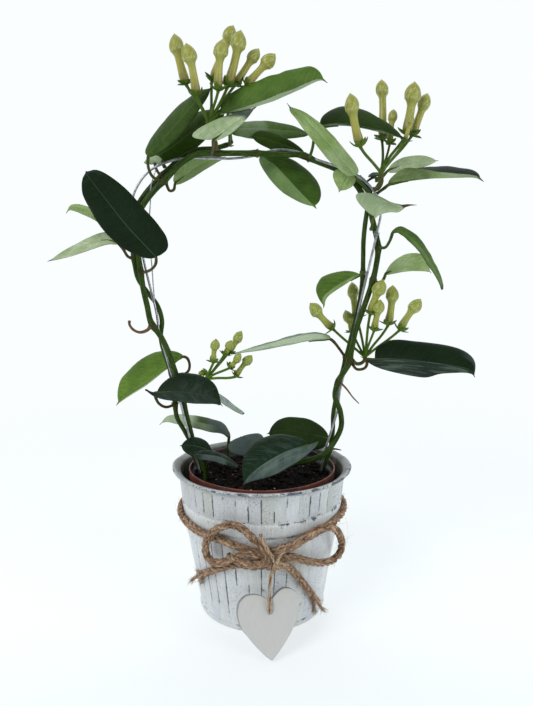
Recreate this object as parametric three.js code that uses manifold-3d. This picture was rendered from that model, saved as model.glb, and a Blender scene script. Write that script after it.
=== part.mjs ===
// Potted Madagascar jasmine (Stephanotis floribunda) trained round a wire hoop,
// in a plastic growing pot inside a painted zinc cachepot, with a jute rope tied
// in a bow and a wooden heart tag.
// Millimetres, +Z up. The origin is the centre of the flat underside of the cachepot,
// -Y is the front, the side with the bow.
import * as THREE from 'three';
import { mergeVertices } from 'three/addons/utils/BufferGeometryUtils.js';
import { ParametricGeometry } from 'three/addons/geometries/ParametricGeometry.js';
import Module from 'manifold-3d';

// ---------------------------------------------------------------- driving dimensions
const GAP = 0.35;              // clearance between touching pieces

const CACHEPOT_HEIGHT = 113.5; // floor to the top of the rolled rim
const CACHEPOT_RIM_R = 70;     // outer radius of the rolled rim
const CACHEPOT_BASE_R = 48.7;  // radius of the flat underside
const CACHEPOT_WALL = 1.2;     // sheet with its paint
const BAND_LOW = 78;           // raised plain band under the upper ribs
const BAND_HIGH = 88;

const GROW_POT_RIM_R = 57.5;   // 11.5 cm growing pot
const GROW_POT_TOP = 111.4;
const GROW_POT_BOTTOM = 2.0;
const GROW_POT_BASE_R = 41;
const GROW_POT_WALL = 1.3;

const SOIL_TOP = 104.2;        // at the pot's edge
const SOIL_CROWN = 1.0;        // rise towards the middle
const SOIL_BOTTOM = 4.0;

const BLADE_THICKNESS = 1.0;   // leathery leaf, at its midrib
const BLADE_ROWS = 6;          // steps from base to tip
const BLADE_HALF_COLUMNS = 2;  // steps from midrib to margin
const BLADE_ARCH = 0.06;       // how far each half bulges, in half widths
const PETIOLE_R = 1.05;

const PEDICEL_R = 1.1;
const BUD_HEAD_R = 5.1;        // swollen head of a bud of size 1
const BUD_HEAD_TOP = 6.2;      // from the head's centre to its point
const BUD_TUBE_R = 2.7;

const ROPE_R = 2.6;            // three-strand jute rope
const KNOT_CENTRE = [9, -66.5, 68.5];
const KNOT_HALF = [11.5, 5.8, 7.5];
const TWINE_R = 0.9;           // doubled jute twine

const HEART_THICKNESS = 3;
const HEART_HOLE_R = 1.6;
const HEART_TIP = [7.43, -84.44, 1.7];   // front edge of the tip
const HEART_LEAN_DEG = 58.201;           // slope of the tag from the floor

// ---------------------------------------------------------------- the plant, in millimetres
// Each leaf: points of the petiole and of the midrib, then the vectors from the midrib to
// the left and right margins at the widest place, which give the fold and the tilt. Where
// the blade twists, leftTip and rightTip take over between the two fractions in blend.
// form: place of the greatest width, fullness of the base and of the tip, and where the
// drip tip starts.
const LEAVES = {
  leaf_top_right_arching: {
    petiole: [[-24, 4, 356.9], [-23.5, -3, 362.9], [-24.6, -8, 368.7]],
    midrib: [[-24.5, -11, 375.2], [-11, -14, 376.8], [7.5, -18, 381.2], [26.9, -22, 387.7], [41.1, -26, 392.7], [45.3, -27, 390.5]],
    left: [-0.8, 7.5, 20.2], right: [-1.5, -12.6, 0.3],
    form: [0.46, 0.55, 0.6, 0.95], tone: 'light' },
  leaf_top_left_upper: {
    petiole: [[-73.1, -2, 329.2], [-79.7, -8, 331.9], [-81.9, -11, 337.4], [-82, -12, 342.8]],
    midrib: [[-82.3, -12, 345.9], [-73.1, -11, 356.2], [-60.2, -9, 370.2], [-46.5, -7, 385.6], [-34.6, -5, 395.8]],
    left: [-9.8, 13.9, 5.7], right: [3.6, -4.2, -7.1],
    form: [0.5, 0.5, 0.6, 0.95], tone: 'light' },
  leaf_top_left_lower: {
    petiole: [[-72.3, 5, 332.5], [-78, 8, 337], [-80.7, 9, 343.4]],
    midrib: [[-79.8, 9, 349.2], [-67.7, 10, 356.3], [-52.7, 12, 368.4], [-37.5, 13, 378.8], [-25.4, 13, 383.5]],
    left: [-9, 12.1, 9.7], right: [4.3, -2.4, -10.5],
    form: [0.5, 0.5, 0.6, 0.95], tone: 'dark' },
  leaf_top_front_small: {
    petiole: [[-36.6, -6, 348.5], [-34.5, -17, 350.2], [-33.7, -25, 351.9]],
    midrib: [[-33.7, -29, 353.3], [-25.6, -31, 358.6], [-17.3, -30, 365.1], [-9.9, -27, 371.1], [-3.5, -24, 376.4]],
    left: [1.8, 7.1, -1.9], right: [-21, -13, -4.4],
    form: [0.34, 0.6, 0.9, 0.95], tone: 'pale' },
  leaf_top_rear_right: {
    petiole: [[-22.6, 7, 359], [-23.3, 12, 364], [-23.8, 16, 367.8]],
    midrib: [[-23.7, 20, 371], [-9.1, 23, 372.8], [10.2, 26, 372.7], [28.2, 27, 371.1], [39.4, 26, 368.2]],
    left: [-3.1, 11.4, 9.4], right: [-3.1, -8.8, -9.6],
    form: [0.45, 0.5, 0.6, 0.95], tone: 'mid' },
  leaf_top_rear_dark: {
    petiole: [[30.6, -0.5, 347.2], [32.8, 6, 350.4]],
    midrib: [[32.3, 11, 352.3], [23, 13, 356.3], [10.8, 14, 360.8], [0.2, 14, 363.9], [-8.9, 13, 364.8]],
    left: [-1.5, -3.4, -7.2], right: [-2.9, 5.1, 8.6],
    form: [0.55, 0.5, 0.6, 0.95], tone: 'dark' },
  leaf_top_hanging_large: {
    petiole: [[-4.2, 2.5, 351.2], [-2.8, 9, 351.8]],
    midrib: [[0.6, 12, 350.9], [8.5, 9, 343.7], [22, 3, 328.9], [32.9, -3, 316.8], [40.6, -6, 309]],
    left: [17.8, 5.8, 4.1], right: [-9.6, 3.7, -2.6],
    form: [0.5, 0.5, 0.62, 0.95], tone: 'mid' },
  leaf_top_under_left: {
    petiole: [[-71.9, 2, 329.8], [-69.4, 4, 323.5], [-66.7, 8, 324.8]],
    midrib: [[-66.2, 11, 329.3], [-58.3, 16, 336.4], [-48.8, 21, 343.6], [-39, 25, 349.2], [-28.4, 28, 352.6]],
    left: [5.6, -7.9, -3.7], right: [-7.8, 10.3, 7.5],
    form: [0.45, 0.5, 0.6, 0.95], tone: 'pale' },
  leaf_right_top_dark: {
    petiole: [[35.3, -2, 346.1], [37.6, 0, 353.6], [39.3, -1, 362.6]],
    midrib: [[42.6, -2, 368.5], [57, -6, 368.1], [72.5, -9, 365.4], [88.4, -13, 361], [99.1, -17, 357.3], [102.5, -18, 356.5]],
    left: [1.2, 16.5, 18.7], right: [-2.1, -10.5, -1.2],
    form: [0.4, 0.42, 0.62, 0.95], tone: 'dark' },
  leaf_right_strap: {
    petiole: [[80.1, -2, 321.3], [75.7, -6, 325], [71.3, -10, 328.4]],
    midrib: [[67.9, -13, 331.6], [55.9, -18, 343.4], [42.6, -22, 356.6], [28.9, -26, 368.7], [20.8, -28, 373.9], [17.7, -29, 377.5]],
    left: [3.6, -6.7, 3.3], right: [-7.8, 4.9, -0.2],
    form: [0.35, 0.4, 0.62, 0.95], tone: 'pale' },
  leaf_right_small_rear: {
    petiole: [[79.1, 1, 322.4], [73.9, 2, 328], [69.4, 0, 332]],
    midrib: [[66.2, -1, 335.8], [62.6, -4, 331.8], [59, -7, 326], [56.4, -10, 320.4]],
    left: [-9.6, 3.7, 6.1], right: [6.4, -1.4, -5.4],
    form: [0.4, 0.5, 0.6, 0.95], tone: 'pale' },
  leaf_right_rear_pale: {
    petiole: [[85, 3, 323.8], [89.4, 7, 330.6], [93.2, 12, 336.1]],
    midrib: [[97.3, 16, 340.2], [108.9, 22, 344.3], [124.6, 29, 348.2], [140.8, 35, 350.9]],
    left: [-3.1, -4.4, -5.8], right: [0.6, 9.6, 7.7],
    form: [0.5, 0.5, 0.6, 0.95], tone: 'pale' },
  leaf_right_long: {
    petiole: [[84.6, -2, 319.8], [87.7, -5, 322], [90.4, -8, 324]],
    midrib: [[92.3, -9, 326.4], [101.8, -12, 327.7], [120.7, -17, 328.9], [138.9, -23, 328.5], [150.6, -28, 327.7], [154.9, -30, 325]],
    left: [5.8, 21.6, 11.8], right: [-0.6, -5, 10.6],
    leftTip: [9.4, 15.4, 11.7], rightTip: [-4.5, -14, 1.3], blend: [0.12, 0.6], form: [0.42, 0.5, 0.6, 0.95], tone: 'mid' },
  leaf_right_folded_pale: {
    petiole: [[81.7, -3, 294.6], [81.2, -9, 296.3], [81.1, -12, 299.3]],
    midrib: [[81.4, -14, 303], [83.9, -17, 309.8], [91, -21, 311.1], [97.4, -25, 308.2], [104.4, -28, 309.2], [108.7, -30, 309.1]],
    left: [1, 0, -6.5], right: [-17.1, -5, 7.3],
    form: [0.36, 0.6, 0.95, 0.8], tone: 'pale' },
  leaf_right_narrow_hanging: {
    petiole: [[88.5, 1, 281.1], [92.7, -2, 281], [95.3, -5, 285.3], [96.5, -6, 288.9]],
    midrib: [[96.4, -7, 292.1], [100.6, -9, 292.8], [108.6, -13, 288.1], [116.1, -16, 280.7], [123.3, -18, 269.2], [130, -19, 257.6], [132.9, -18, 250.4]],
    left: [2.2, 9.8, 7.4], right: [-3.9, -5.2, -3],
    form: [0.5, 0.5, 0.6, 0.95], tone: 'light' },
  leaf_right_mid_rear: {
    petiole: [[86.2, 3, 255.6], [91.4, 6, 254.8], [94.4, 8, 257.8]],
    midrib: [[95.9, 10, 261.3], [106.6, 15, 264.8], [120.5, 21, 266.8], [132.2, 26, 265.2], [136.3, 28, 261.9]],
    left: [-2.3, -6.2, -3.5], right: [4.1, 12.8, 11.3],
    form: [0.55, 0.5, 0.5, 0.95], tone: 'pale' },
  leaf_right_mid_left: {
    petiole: [[78.1, 4, 261.6], [76.8, 1, 262.2]],
    midrib: [[74, -1.5, 260.9], [64, -6, 254.6], [54.7, -10, 248.7], [48, -14, 242.9], [45.6, -17, 236.4]],
    left: [-5.4, -11.3, 1], right: [-11.7, 12.8, 8.1],
    form: [0.48, 0.5, 0.6, 0.95], tone: 'light' },
  leaf_right_low_dark: {
    petiole: [[69.2, -1, 193.5], [72.7, -4, 188.9], [77.8, -8, 189.9], [79.5, -11, 193.5]],
    midrib: [[78, -13, 197.8], [95.3, -18, 198.8], [116.1, -24, 197.6], [137.9, -30, 195.2], [149.7, -34, 192.6], [152.8, -36, 187.8]],
    left: [-0.6, 12.5, 13.7], right: [5.2, -3.5, -11.6],
    leftTip: [13.3, 11.5, 15.2], rightTip: [-7.5, -2.8, -7], blend: [0.42, 0.82], form: [0.45, 0.5, 0.55, 0.95], tone: 'dark' },
  leaf_right_low_level: {
    petiole: [[65.5, 3, 196.2], [60.2, 2.5, 203.6], [55.3, 2, 209.6]],
    midrib: [[53.2, 2, 212.2], [37.4, 4, 209.7], [18.1, 6, 205.9], [-3.1, 9, 201.6], [-24.3, 12, 198.7]],
    left: [-0.8, -13.9, 2.7], right: [1, 11.8, 6],
    form: [0.3, 0.5, 0.9, 0.95], tone: 'mid' },
  leaf_left_large_dark: {
    petiole: [[-90, -4, 262.4], [-84.3, -12, 263.2], [-78.7, -20, 265.6], [-75.5, -25, 269.4]],
    midrib: [[-74.7, -28, 273.3], [-83.4, -30, 282.6], [-95.3, -32, 295.9], [-106.8, -34, 311.7], [-118.7, -35, 327.6], [-120.5, -35, 331.2]],
    left: [-10.5, 2.6, -10], right: [16.6, -3.5, 6.5],
    form: [0.42, 0.42, 0.5, 0.99], tone: 'dark' },
  leaf_left_small_rear: {
    petiole: [[-93.2, -4, 296], [-100.1, -5, 294.8], [-111.7, -3, 296.4]],
    midrib: [[-117.9, -2, 298.7], [-126, -4, 305.4], [-134.9, -6, 309.2], [-140.9, -8, 309.2], [-143.5, -9, 305.4]],
    left: [-2.2, 8.1, 4.3], right: [0.3, -6.1, -3.4],
    form: [0.45, 0.5, 0.6, 0.95], tone: 'pale' },
  leaf_left_long_pale: {
    petiole: [[-97.5, 2, 272.9], [-101.6, 2, 274.4], [-105.6, 2, 280.8]],
    midrib: [[-109.1, 2, 284.4], [-120.7, 4, 286.5], [-135.9, 6, 282.1], [-150.6, 8, 276.5], [-160.3, 9, 272.7], [-165.8, 10, 270.8]],
    left: [0.5, 11.2, 7.7], right: [5.8, -10.7, -3.9],
    form: [0.38, 0.5, 0.75, 0.95], tone: 'pale' },
  leaf_left_low_green: {
    petiole: [[-70, 6.5, 182.5], [-63.6, 9, 182], [-58.5, 11, 184.9], [-57.6, 12.5, 190.3], [-59.7, 13.5, 195]],
    midrib: [[-62.5, 14, 196.7], [-77.1, 17, 187.6], [-93.1, 19, 175.4], [-109, 20, 164.5], [-118.9, 20, 155.1]],
    left: [-1.5, -3.8, -3.9], right: [-14.1, 15.2, 10.7],
    form: [0.5, 0.5, 0.6, 0.95], tone: 'light' },
  leaf_left_low_dark: {
    petiole: [[-67.9, 0, 160.2], [-73.9, -8, 160], [-78.3, -13, 164.2], [-80.3, -14, 169.1]],
    midrib: [[-81.2, -15, 173], [-64.9, -18, 174.1], [-48, -22, 173], [-35, -26, 170.4], [-28.5, -28, 165]],
    left: [-0.4, 12.2, 12.9], right: [2.6, -7.8, -6.1],
    form: [0.48, 0.5, 0.45, 0.95], tone: 'dark' },
  leaf_left_low_silver: {
    petiole: [[-65.8, 4, 175.7], [-59.3, 8, 176.2], [-50.8, 10, 174.6]],
    midrib: [[-44.5, 10, 171.8], [-34.9, 9, 165.5], [-23.9, 9, 157.4], [-14.1, 9, 150.6]],
    left: [-3, -4.9, -1.5], right: [1, 6.1, 0.1],
    form: [0.5, 0.5, 0.6, 0.95], tone: 'pale' },
  leaf_basal_arching: {
    petiole: [[-28.2, 25, 103.6], [-28.4, 24.5, 114.6], [-27.7, 22, 124.7]],
    midrib: [[-26.3, 20, 130.6], [-31.1, 19, 136.9], [-45, 19, 141.2], [-62.2, 20, 143.7], [-77.1, 21, 144.2], [-84.2, 21, 138.6]],
    left: [-0.5, -6.3, -4], right: [-1.4, 9.8, 0.7],
    form: [0.4, 0.45, 0.6, 0.95], tone: 'mid' },
  leaf_basal_left_dark: {
    petiole: [[-42.4, -18, 120.8], [-39.5, -16, 122.5]],
    midrib: [[-38.2, -15, 126.1], [-44.9, -14, 129.4], [-54.3, -12, 131.2], [-63.4, -10, 129.9]],
    left: [-1.4, -8.2, -6], right: [-1, 10, 4.4],
    form: [0.45, 0.5, 0.5, 0.95], tone: 'dark' },
  leaf_basal_left_sheen: {
    petiole: [[-44.1, -20, 120.6], [-45.8, -24, 123.5]],
    midrib: [[-47, -27, 126.5], [-36.7, -30, 126.5], [-25.4, -33, 124.8], [-15.7, -36, 120.1]],
    left: [-1.3, 9.6, 2.7], right: [-1.2, -10.5, -2.7],
    form: [0.5, 0.5, 0.6, 0.95], tone: 'dark' },
  leaf_basal_front_large: {
    petiole: [[28.8, -8, 118.8], [34.1, -10, 125.8]],
    midrib: [[36.1, -14, 132], [21.3, -22, 129.8], [3.2, -33, 123.3], [-9, -43, 116.8], [-13.4, -48, 111.3]],
    left: [4.6, -8.1, -7.6], right: [-14, 11.9, 10.1],
    form: [0.45, 0.45, 0.6, 0.95], tone: 'dark' },
  leaf_basal_rear_sheen: {
    petiole: [[0.8, 10, 103.6], [-1.6, 4, 113.4]],
    midrib: [[-6.3, 2, 118.9], [-10.3, 4, 124.9], [-13.5, 6, 130], [-17.6, 8, 132.3]],
    left: [-15.2, -2.6, -3.2], right: [12.1, 2.4, 6.1],
    form: [0.5, 0.5, 0.5, 0.95], tone: 'dark' },
  leaf_basal_rear_green: {
    petiole: [[53.9, 9, 121.7], [55.3, 12, 125]],
    midrib: [[54.1, 14, 129], [40.8, 18, 131.3], [24.6, 22, 133.1], [11.5, 24, 133], [3.7, 24, 129.9]],
    left: [0, -9.1, -11.2], right: [0.8, 9.1, 10.3],
    form: [0.45, 0.5, 0.45, 0.95], tone: 'green' },
};

const STEMS = {
  vine_stem_left_front: { radius: 2.0, path: [[-46.3, 3, 101.5], [-50.3, 3.2, 113.9], [-53.9, 3.4, 126.5], [-57, 3.4, 139.2], [-59.9, 3.5, 151.9], [-62.1, 3.5, 164.8], [-65.1, 2.4, 177.5], [-68.1, -1.2, 189.6], [-71.6, -3.2, 202], [-77.2, -2.6, 213.8], [-84.3, -3.1, 224.6], [-86.8, -3.9, 237.4], [-89.4, -4, 250.2], [-91.1, -3.5, 263.1], [-92.8, -3, 276], [-95, -3.1, 288.9], [-93.4, -3.3, 301.8], [-87.2, -3.1, 313.2], [-78.7, -3.1, 323.2], [-69.3, -2.4, 332.2], [-60.3, -1.7, 341.7], [-49.3, -1.6, 348.2], [-36.3, -1.5, 349.5], [-23.2, -1.5, 349.6], [-10.2, -1.5, 349.6], [2.9, -1.5, 349.3], [15.9, -1.5, 348.4], [28.4, -1.0, 348.6], [41.9, 2.6, 344.2], [52.5, 4.4, 340.6], [60.9, 4.8, 336.9], [67.7, 4.6, 331.6], [72.6, 3.4, 325.4], [76.6, 1.2, 318.6]] },
  vine_stem_left_rear: { radius: 1.7, path: [[-49.1, 10, 101.5], [-53.6, 8.3, 113.7], [-56.5, 7.1, 126.4], [-61.6, 4.9, 138.1], [-66.9, 2.3, 149.7], [-68.2, 2.3, 162.7], [-69.2, 5.1, 175.4], [-72.6, 7, 187.8], [-76.6, 7.1, 200.3], [-78.6, 4.9, 212.9], [-77.1, 2.9, 225.8], [-81, 5.5, 237.5], [-88.7, 6.2, 247.7], [-94.4, 1.2, 258.3], [-96.8, 1.6, 271.1], [-98.3, 2.5, 284.1], [-98.9, 3.4, 297.1], [-95.4, 3.9, 309.6], [-88.3, 4.1, 320.6], [-79.6, 4.5, 330.3], [-70.1, 5, 339.3], [-60.1, 5.6, 347.8], [-48.5, 6.3, 353.5], [-35.5, 6.6, 354.7], [-23, 6, 358]] },
  vine_stem_right_front: { radius: 2.0, path: [[0.1, -8, 103.6], [11.7, -7.5, 110.1], [24, -5.1, 114.4], [37, -3.4, 116.3], [49.2, -0.2, 120.3], [57.7, 2.8, 130], [62.5, 1.7, 142.2], [61.2, -0.9, 155.1], [56.8, -1.9, 167.5], [59.6, -3.1, 180.1], [66.2, -3.1, 191.6], [69.1, -3.1, 204.5], [71.5, -3.1, 217.6], [75.6, -2.8, 230.3], [80, -1.7, 242.8], [84.2, 0.4, 255.2], [87.1, 2, 268.1], [88.2, 1.7, 281.3], [85.4, 1.5, 294.3], [82.2, 0.9, 307.2], [82.9, -1, 320.3]] },
  vine_stem_right_rear: { radius: 1.7, path: [[46.7, 7.2, 101.1], [51.7, 8.4, 112.7], [55.3, 9, 124.8], [56.7, 9.2, 137.4], [56.7, 8.5, 150], [58.3, 7.4, 162.5], [60.1, 6.4, 175], [63.3, 3.6, 187], [66.2, 3.6, 199.3], [69.2, 4.8, 211.5], [72.4, 6.8, 223.7], [75.2, 7.5, 236], [76.9, 7, 248.6], [77.6, 5.4, 261.1], [77.5, 4.5, 273.8], [77.5, 4.5, 286.4], [78.6, 5.4, 299], [80.3, 6, 311.6], [80.8, 3.9, 324], [73.2, 3, 334]] },
  basal_shoot_left: { radius: 1.3, path: [[-43.5, -17, 101.5], [-43.3, -17.4, 107.9], [-43.2, -17.9, 114.3], [-43.4, -19, 120.7]] },
};

const WIRES = {
  hoop_wire: { radius: 1.05, path: [[-44.7, 0, 78.4], [-47.2, 0, 94.1], [-50.4, 0, 109.7], [-54.3, 0, 125.1], [-58.4, 0, 140.5], [-62.2, -0.5, 155.9], [-65.5, -1.7, 171.4], [-70.8, 1.5, 186], [-75.1, 2.6, 201.2], [-79, 0.9, 216.5], [-81, 1.1, 232.3], [-84.6, 2, 247.8], [-88.1, 2, 263.3], [-91.2, 2, 278.9], [-95.4, 1.6, 294.3], [-97.8, 0.1, 309.9], [-93.3, 0.2, 324.9], [-83.4, 0.9, 337.3], [-69.2, 1.6, 344.1], [-53.6, 2.3, 346.8], [-37.7, 2.3, 346.6], [-21.7, 2.3, 346.5], [-6.1, 2.3, 348.4], [9.3, 2.1, 352.5], [25, 1.3, 351.4], [39.9, 0.8, 345.8], [54.8, -0.9, 340.6], [69.2, -3.6, 334.3], [81.3, -4.3, 324.2], [88.6, -3.8, 310.4], [86.8, -3.2, 294.6], [83.6, -2.6, 279.1], [80.3, -1.9, 263.5], [77.1, -0.5, 248], [74.4, 2.2, 232.5], [71.3, 1.7, 216.9], [68.1, 0.4, 201.4], [64.3, 0.7, 186], [61.1, 2.2, 170.5], [59.4, 3.4, 154.7], [55.3, 4, 139.3], [50.7, 4, 124.1], [47.5, 4, 108.5], [46.2, 4, 92.6], [45.1, 4, 76.8]] },
  thin_wire: { radius: 0.5, path: [[-81.8, -0.4, 240.8], [-82.6, -0.1, 253.1], [-82.9, -1.1, 265.4], [-83.9, 0.1, 277.7], [-84.3, 0.3, 290], [-84.4, 1.3, 302.3], [-83.3, 1.2, 314.6], [-81.9, -2.3, 326.3], [-78.2, -1.2, 338]] },
};

const TWIGS = {
  cut_petiole_hook: { radius: 1.25, path: [[-84.5, -4.5, 221.7], [-87.2, -5, 218.9], [-92.6, -5, 217.3], [-97.5, -5, 219.2], [-100.3, -5, 223], [-100.4, -5, 226.1]] },
  dry_twig_right: { radius: 0.75, path: [[61.2, -6, 178], [65.2, -8, 173.7], [69.7, -9, 167.7], [74.2, -10, 163.2]] },
  dry_leaf_stub: { radius: 0.9, path: [[56.2, 12, 120.9], [59.6, 10, 121.4], [63.6, 8, 121.1]] },
};

const UMBELS = {
  umbel_top_left: {
    radius: 1.3, peduncle: [[-33.3, -5, 351.2], [-33, -8, 355.5], [-35.6, -11, 361.8], [-37.6, -13, 366.5], [-37.8, -13, 368.2]],
    buds: [
      [[-53.6, -12, 395.2], [-59.4, -15, 420.8], 1.06],
      [[-45.2, -22, 384.6], [-50.0, -25, 411.2], 1.02],
      [[-30.1, -20, 388.7], [-27.4, -22, 415], 1.0],
      [[-35.8, -3, 400.2], [-22.6, 0, 433.2], 1.0],
      [[-23.8, -14, 393.1], [-15.9, -16, 422.8], 1.08],
      [[-18.7, -6, 396.5], [-5.1, -5, 416.6], 0.92],
      [[-10.7, -9, 395.3], [5.6, -9, 412], 0.95],
    ] },
  umbel_top_right: {
    radius: 1.5, peduncle: [[82.9, -2.5, 323.4], [85.6, -8, 323.7], [87, -12, 327.4], [86.3, -14, 331.6], [86.1, -14, 333.7]],
    buds: [
      [[69, -26, 349.7], [62.1, -30, 376.9], 1.05],
      [[90.3, 8, 361.7], [90.1, 13, 399.7], 1.0],
      [[94.2, -2, 356.7], [96.9, 2, 377.1], 0.75],
      [[105.6, -5, 362.4], [108.8, -8, 390.4], 1.15],
      [[110.8, 0, 362.8], [119.8, 2, 387], 1.0],
      [[102.3, -14, 355.6], [105.7, -17, 370], 0.55],
    ] },
  umbel_right_mid: {
    radius: 1.4, peduncle: [[70.1, 0, 194.9], [74.1, 3.2, 191.9], [78, 5.2, 192.2], [80.5, 6, 194.6], [80.7, 6, 196.8]],
    buds: [
      [[55.9, 12, 218.4], [42, 14, 233.9], 0.98],
      [[75.3, 14, 226.8], [71.8, 16, 248.8], 0.98],
      [[72.3, 18, 215.7], [68.4, 20, 227.6], 0.85],
      [[82.6, -3, 231.2], [88.9, -6, 251.2], 1.0],
      [[85.5, -4, 218.6], [88.5, -6, 236.9], 0.85],
      [[97.8, 4, 222.5], [100.1, 4, 246.4], 1.0],
      [[107.8, 8, 218.1], [120.7, 11, 236.8], 1.0],
    ] },
  umbel_left_low: {
    radius: 1.1, peduncle: [[-64.2, 3, 171.9], [-58.4, 7, 169.6], [-50.7, 9, 171.6], [-45.9, 9, 176], [-43.9, 9, 178.8]],
    buds: [
      [[-37.9, 4, 193.2], [-36, 2, 207.2], 0.72],
      [[-29.4, 8, 198.5], [-25.4, 8, 206.1], 0.66],
      [[-26.6, 14, 199.3], [-18.8, 16, 211.9], 0.82],
      [[-25.2, 4, 188.8], [-18.7, 2, 197], 0.66],
      [[-20.6, 8, 181.4], [-10.8, 8, 194.2], 0.74],
      [[-44.7, 12, 184.4], [-48.7, 14, 182.8], 0.45],
    ] },
};

const ROPE = {
  ring: [[3.6, -63.7, 68.4], [-4.2, -63.4, 69.5], [-11.9, -62.4, 71.5], [-19, -60.5, 73], [-27, -57.7, 75], [-35.3, -53.2, 75.9], [-43.1, -47.1, 76.1], [-50, -39.9, 76.8], [-55.3, -32.5, 77.7], [-59.9, -23, 78.2], [-63.4, -10, 78.6], [-63.5, 10.1, 78.8], [-57.3, 29.2, 79.1], [-45.5, 45.5, 79.3], [-29.2, 57.4, 79.5], [-10.1, 63.6, 79.8], [10.1, 63.6, 80], [29.3, 57.4, 80.3], [45.6, 45.6, 80.5], [57.5, 29.3, 80.7], [63.8, 10.1, 81], [63.8, -10.1, 81.2], [60.6, -22.1, 80.6], [51.6, -38.6, 80], [44.7, -46.2, 79], [37, -52.3, 77.5], [28.8, -56.8, 75], [20.8, -60.1, 72.4], [13.7, -62, 69.7], [8.3, -63.2, 68.6]],
  left_loop: [[5.5, -68.5, 71.6], [0.9, -70, 75.3], [-3.8, -70.6, 80.4], [-8.9, -69.6, 85.5], [-14.3, -68.2, 89.4], [-20.5, -66.3, 90.6], [-26.8, -64.3, 88.6], [-32.7, -62.2, 84.3], [-37.2, -59.4, 78.3], [-39.7, -56, 71.2], [-39.5, -53.8, 63.9], [-37.1, -54.3, 59.2], [-32.3, -57.6, 58.6], [-26.9, -60.7, 60.6], [-21.3, -62.8, 63.9], [-16.2, -64.4, 67.1], [-10.3, -66.2, 69.4], [-4.1, -66.7, 68.2], [2.1, -66.8, 67.1]],
  right_loop: [[10.1, -67.6, 72.3], [14.4, -68, 73.3], [19.8, -67, 74.1], [25.2, -65.3, 76.5], [30.7, -63.3, 79.7], [36.3, -60.8, 82.6], [42.1, -57.2, 83.6], [48.5, -51.9, 82.5], [54, -46, 77.7], [58.1, -38.1, 69], [60.3, -29.9, 58.6], [58.6, -28.6, 50.9], [53.1, -36.2, 50.2], [46.5, -43.9, 51.9], [38.9, -51, 55.4], [31.3, -56.3, 59.4], [24.8, -59.9, 63.2], [19.2, -62.5, 65.8], [13.7, -64.8, 67.7]],
  left_tail: [[8.2, -66.1, 66.7], [4.8, -64.3, 62.6], [-0.7, -62.1, 58.8], [-7.4, -60.6, 57.7], [-13.7, -59.6, 58.1], [-20.1, -57.5, 57], [-25.8, -54.7, 54.2], [-31.8, -50.7, 50.5], [-38, -45.1, 45.6], [-43.7, -38, 39.7], [-48.6, -29.3, 32.6]],
  right_tail: [[12.1, -64.8, 66.1], [15.7, -62.2, 62.2], [19.4, -58.8, 56.7], [23.7, -54.7, 49.5], [27.8, -51.5, 42.8], [31.7, -47.7, 35.8], [35.6, -43.2, 28.5], [39.2, -38.2, 20.8], [41.8, -33.9, 14.3], [43.3, -30.8, 9.5]],
};

// Heart outline from the tip, in the plane of the tag.
const HEART_LEFT = [[-1, 37.3], [-3.4, 38.9], [-7.7, 40.9], [-13.1, 41.7], [-18.5, 40.5], [-22.4, 36.7], [-23.9, 31.1], [-23, 24.7], [-20.3, 19], [-14.9, 13.1], [-9.7, 7.6], [-4.4, 3], [0, 0]];
const HEART_RIGHT = [[0, 0], [4.9, 5.6], [10.2, 13], [14.5, 19.9], [17.9, 27.6], [19.3, 35.5], [18.7, 41], [16.1, 44.5], [11.8, 46.2], [7.4, 45.5], [3.6, 42.7], [0.7, 39.5], [-1, 37.3]];
const HEART_HOLE = [-1.6, 30.76];

// The twine hangs from the knot, passes in front of the tag and goes in at its hole.
const TWINE = [[8.2, -66.3, 60.0], [6.8, -65, 54], [5.9, -63.9, 46], [5.6, -63.8, 40], [5.7, -66.4, 34], [5.8, -68.7, 30.3], [5.8, -69.0, 28.6], [5.8, -67.4, 27.2], [5.8, -64.6, 25.6]];

// ---------------------------------------------------------------- solids
const wasm = await Module();
wasm.setup();

function toSolid(geometry) {
  let g = geometry.clone();
  g.deleteAttribute('normal');
  g.deleteAttribute('uv');
  g = mergeVertices(g, 1e-4);
  const p = g.getAttribute('position').array;
  const idx = g.index.array;
  const tri = [];
  for (let i = 0; i < idx.length; i += 3) {
    const [a, b, c] = [idx[i], idx[i + 1], idx[i + 2]];
    if (a !== b && b !== c && c !== a) tri.push(a, b, c);
  }
  const mesh = new wasm.Mesh({ numProp: 3, vertProperties: new Float32Array(p), triVerts: new Uint32Array(tri) });
  return new wasm.Manifold(mesh);
}

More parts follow.
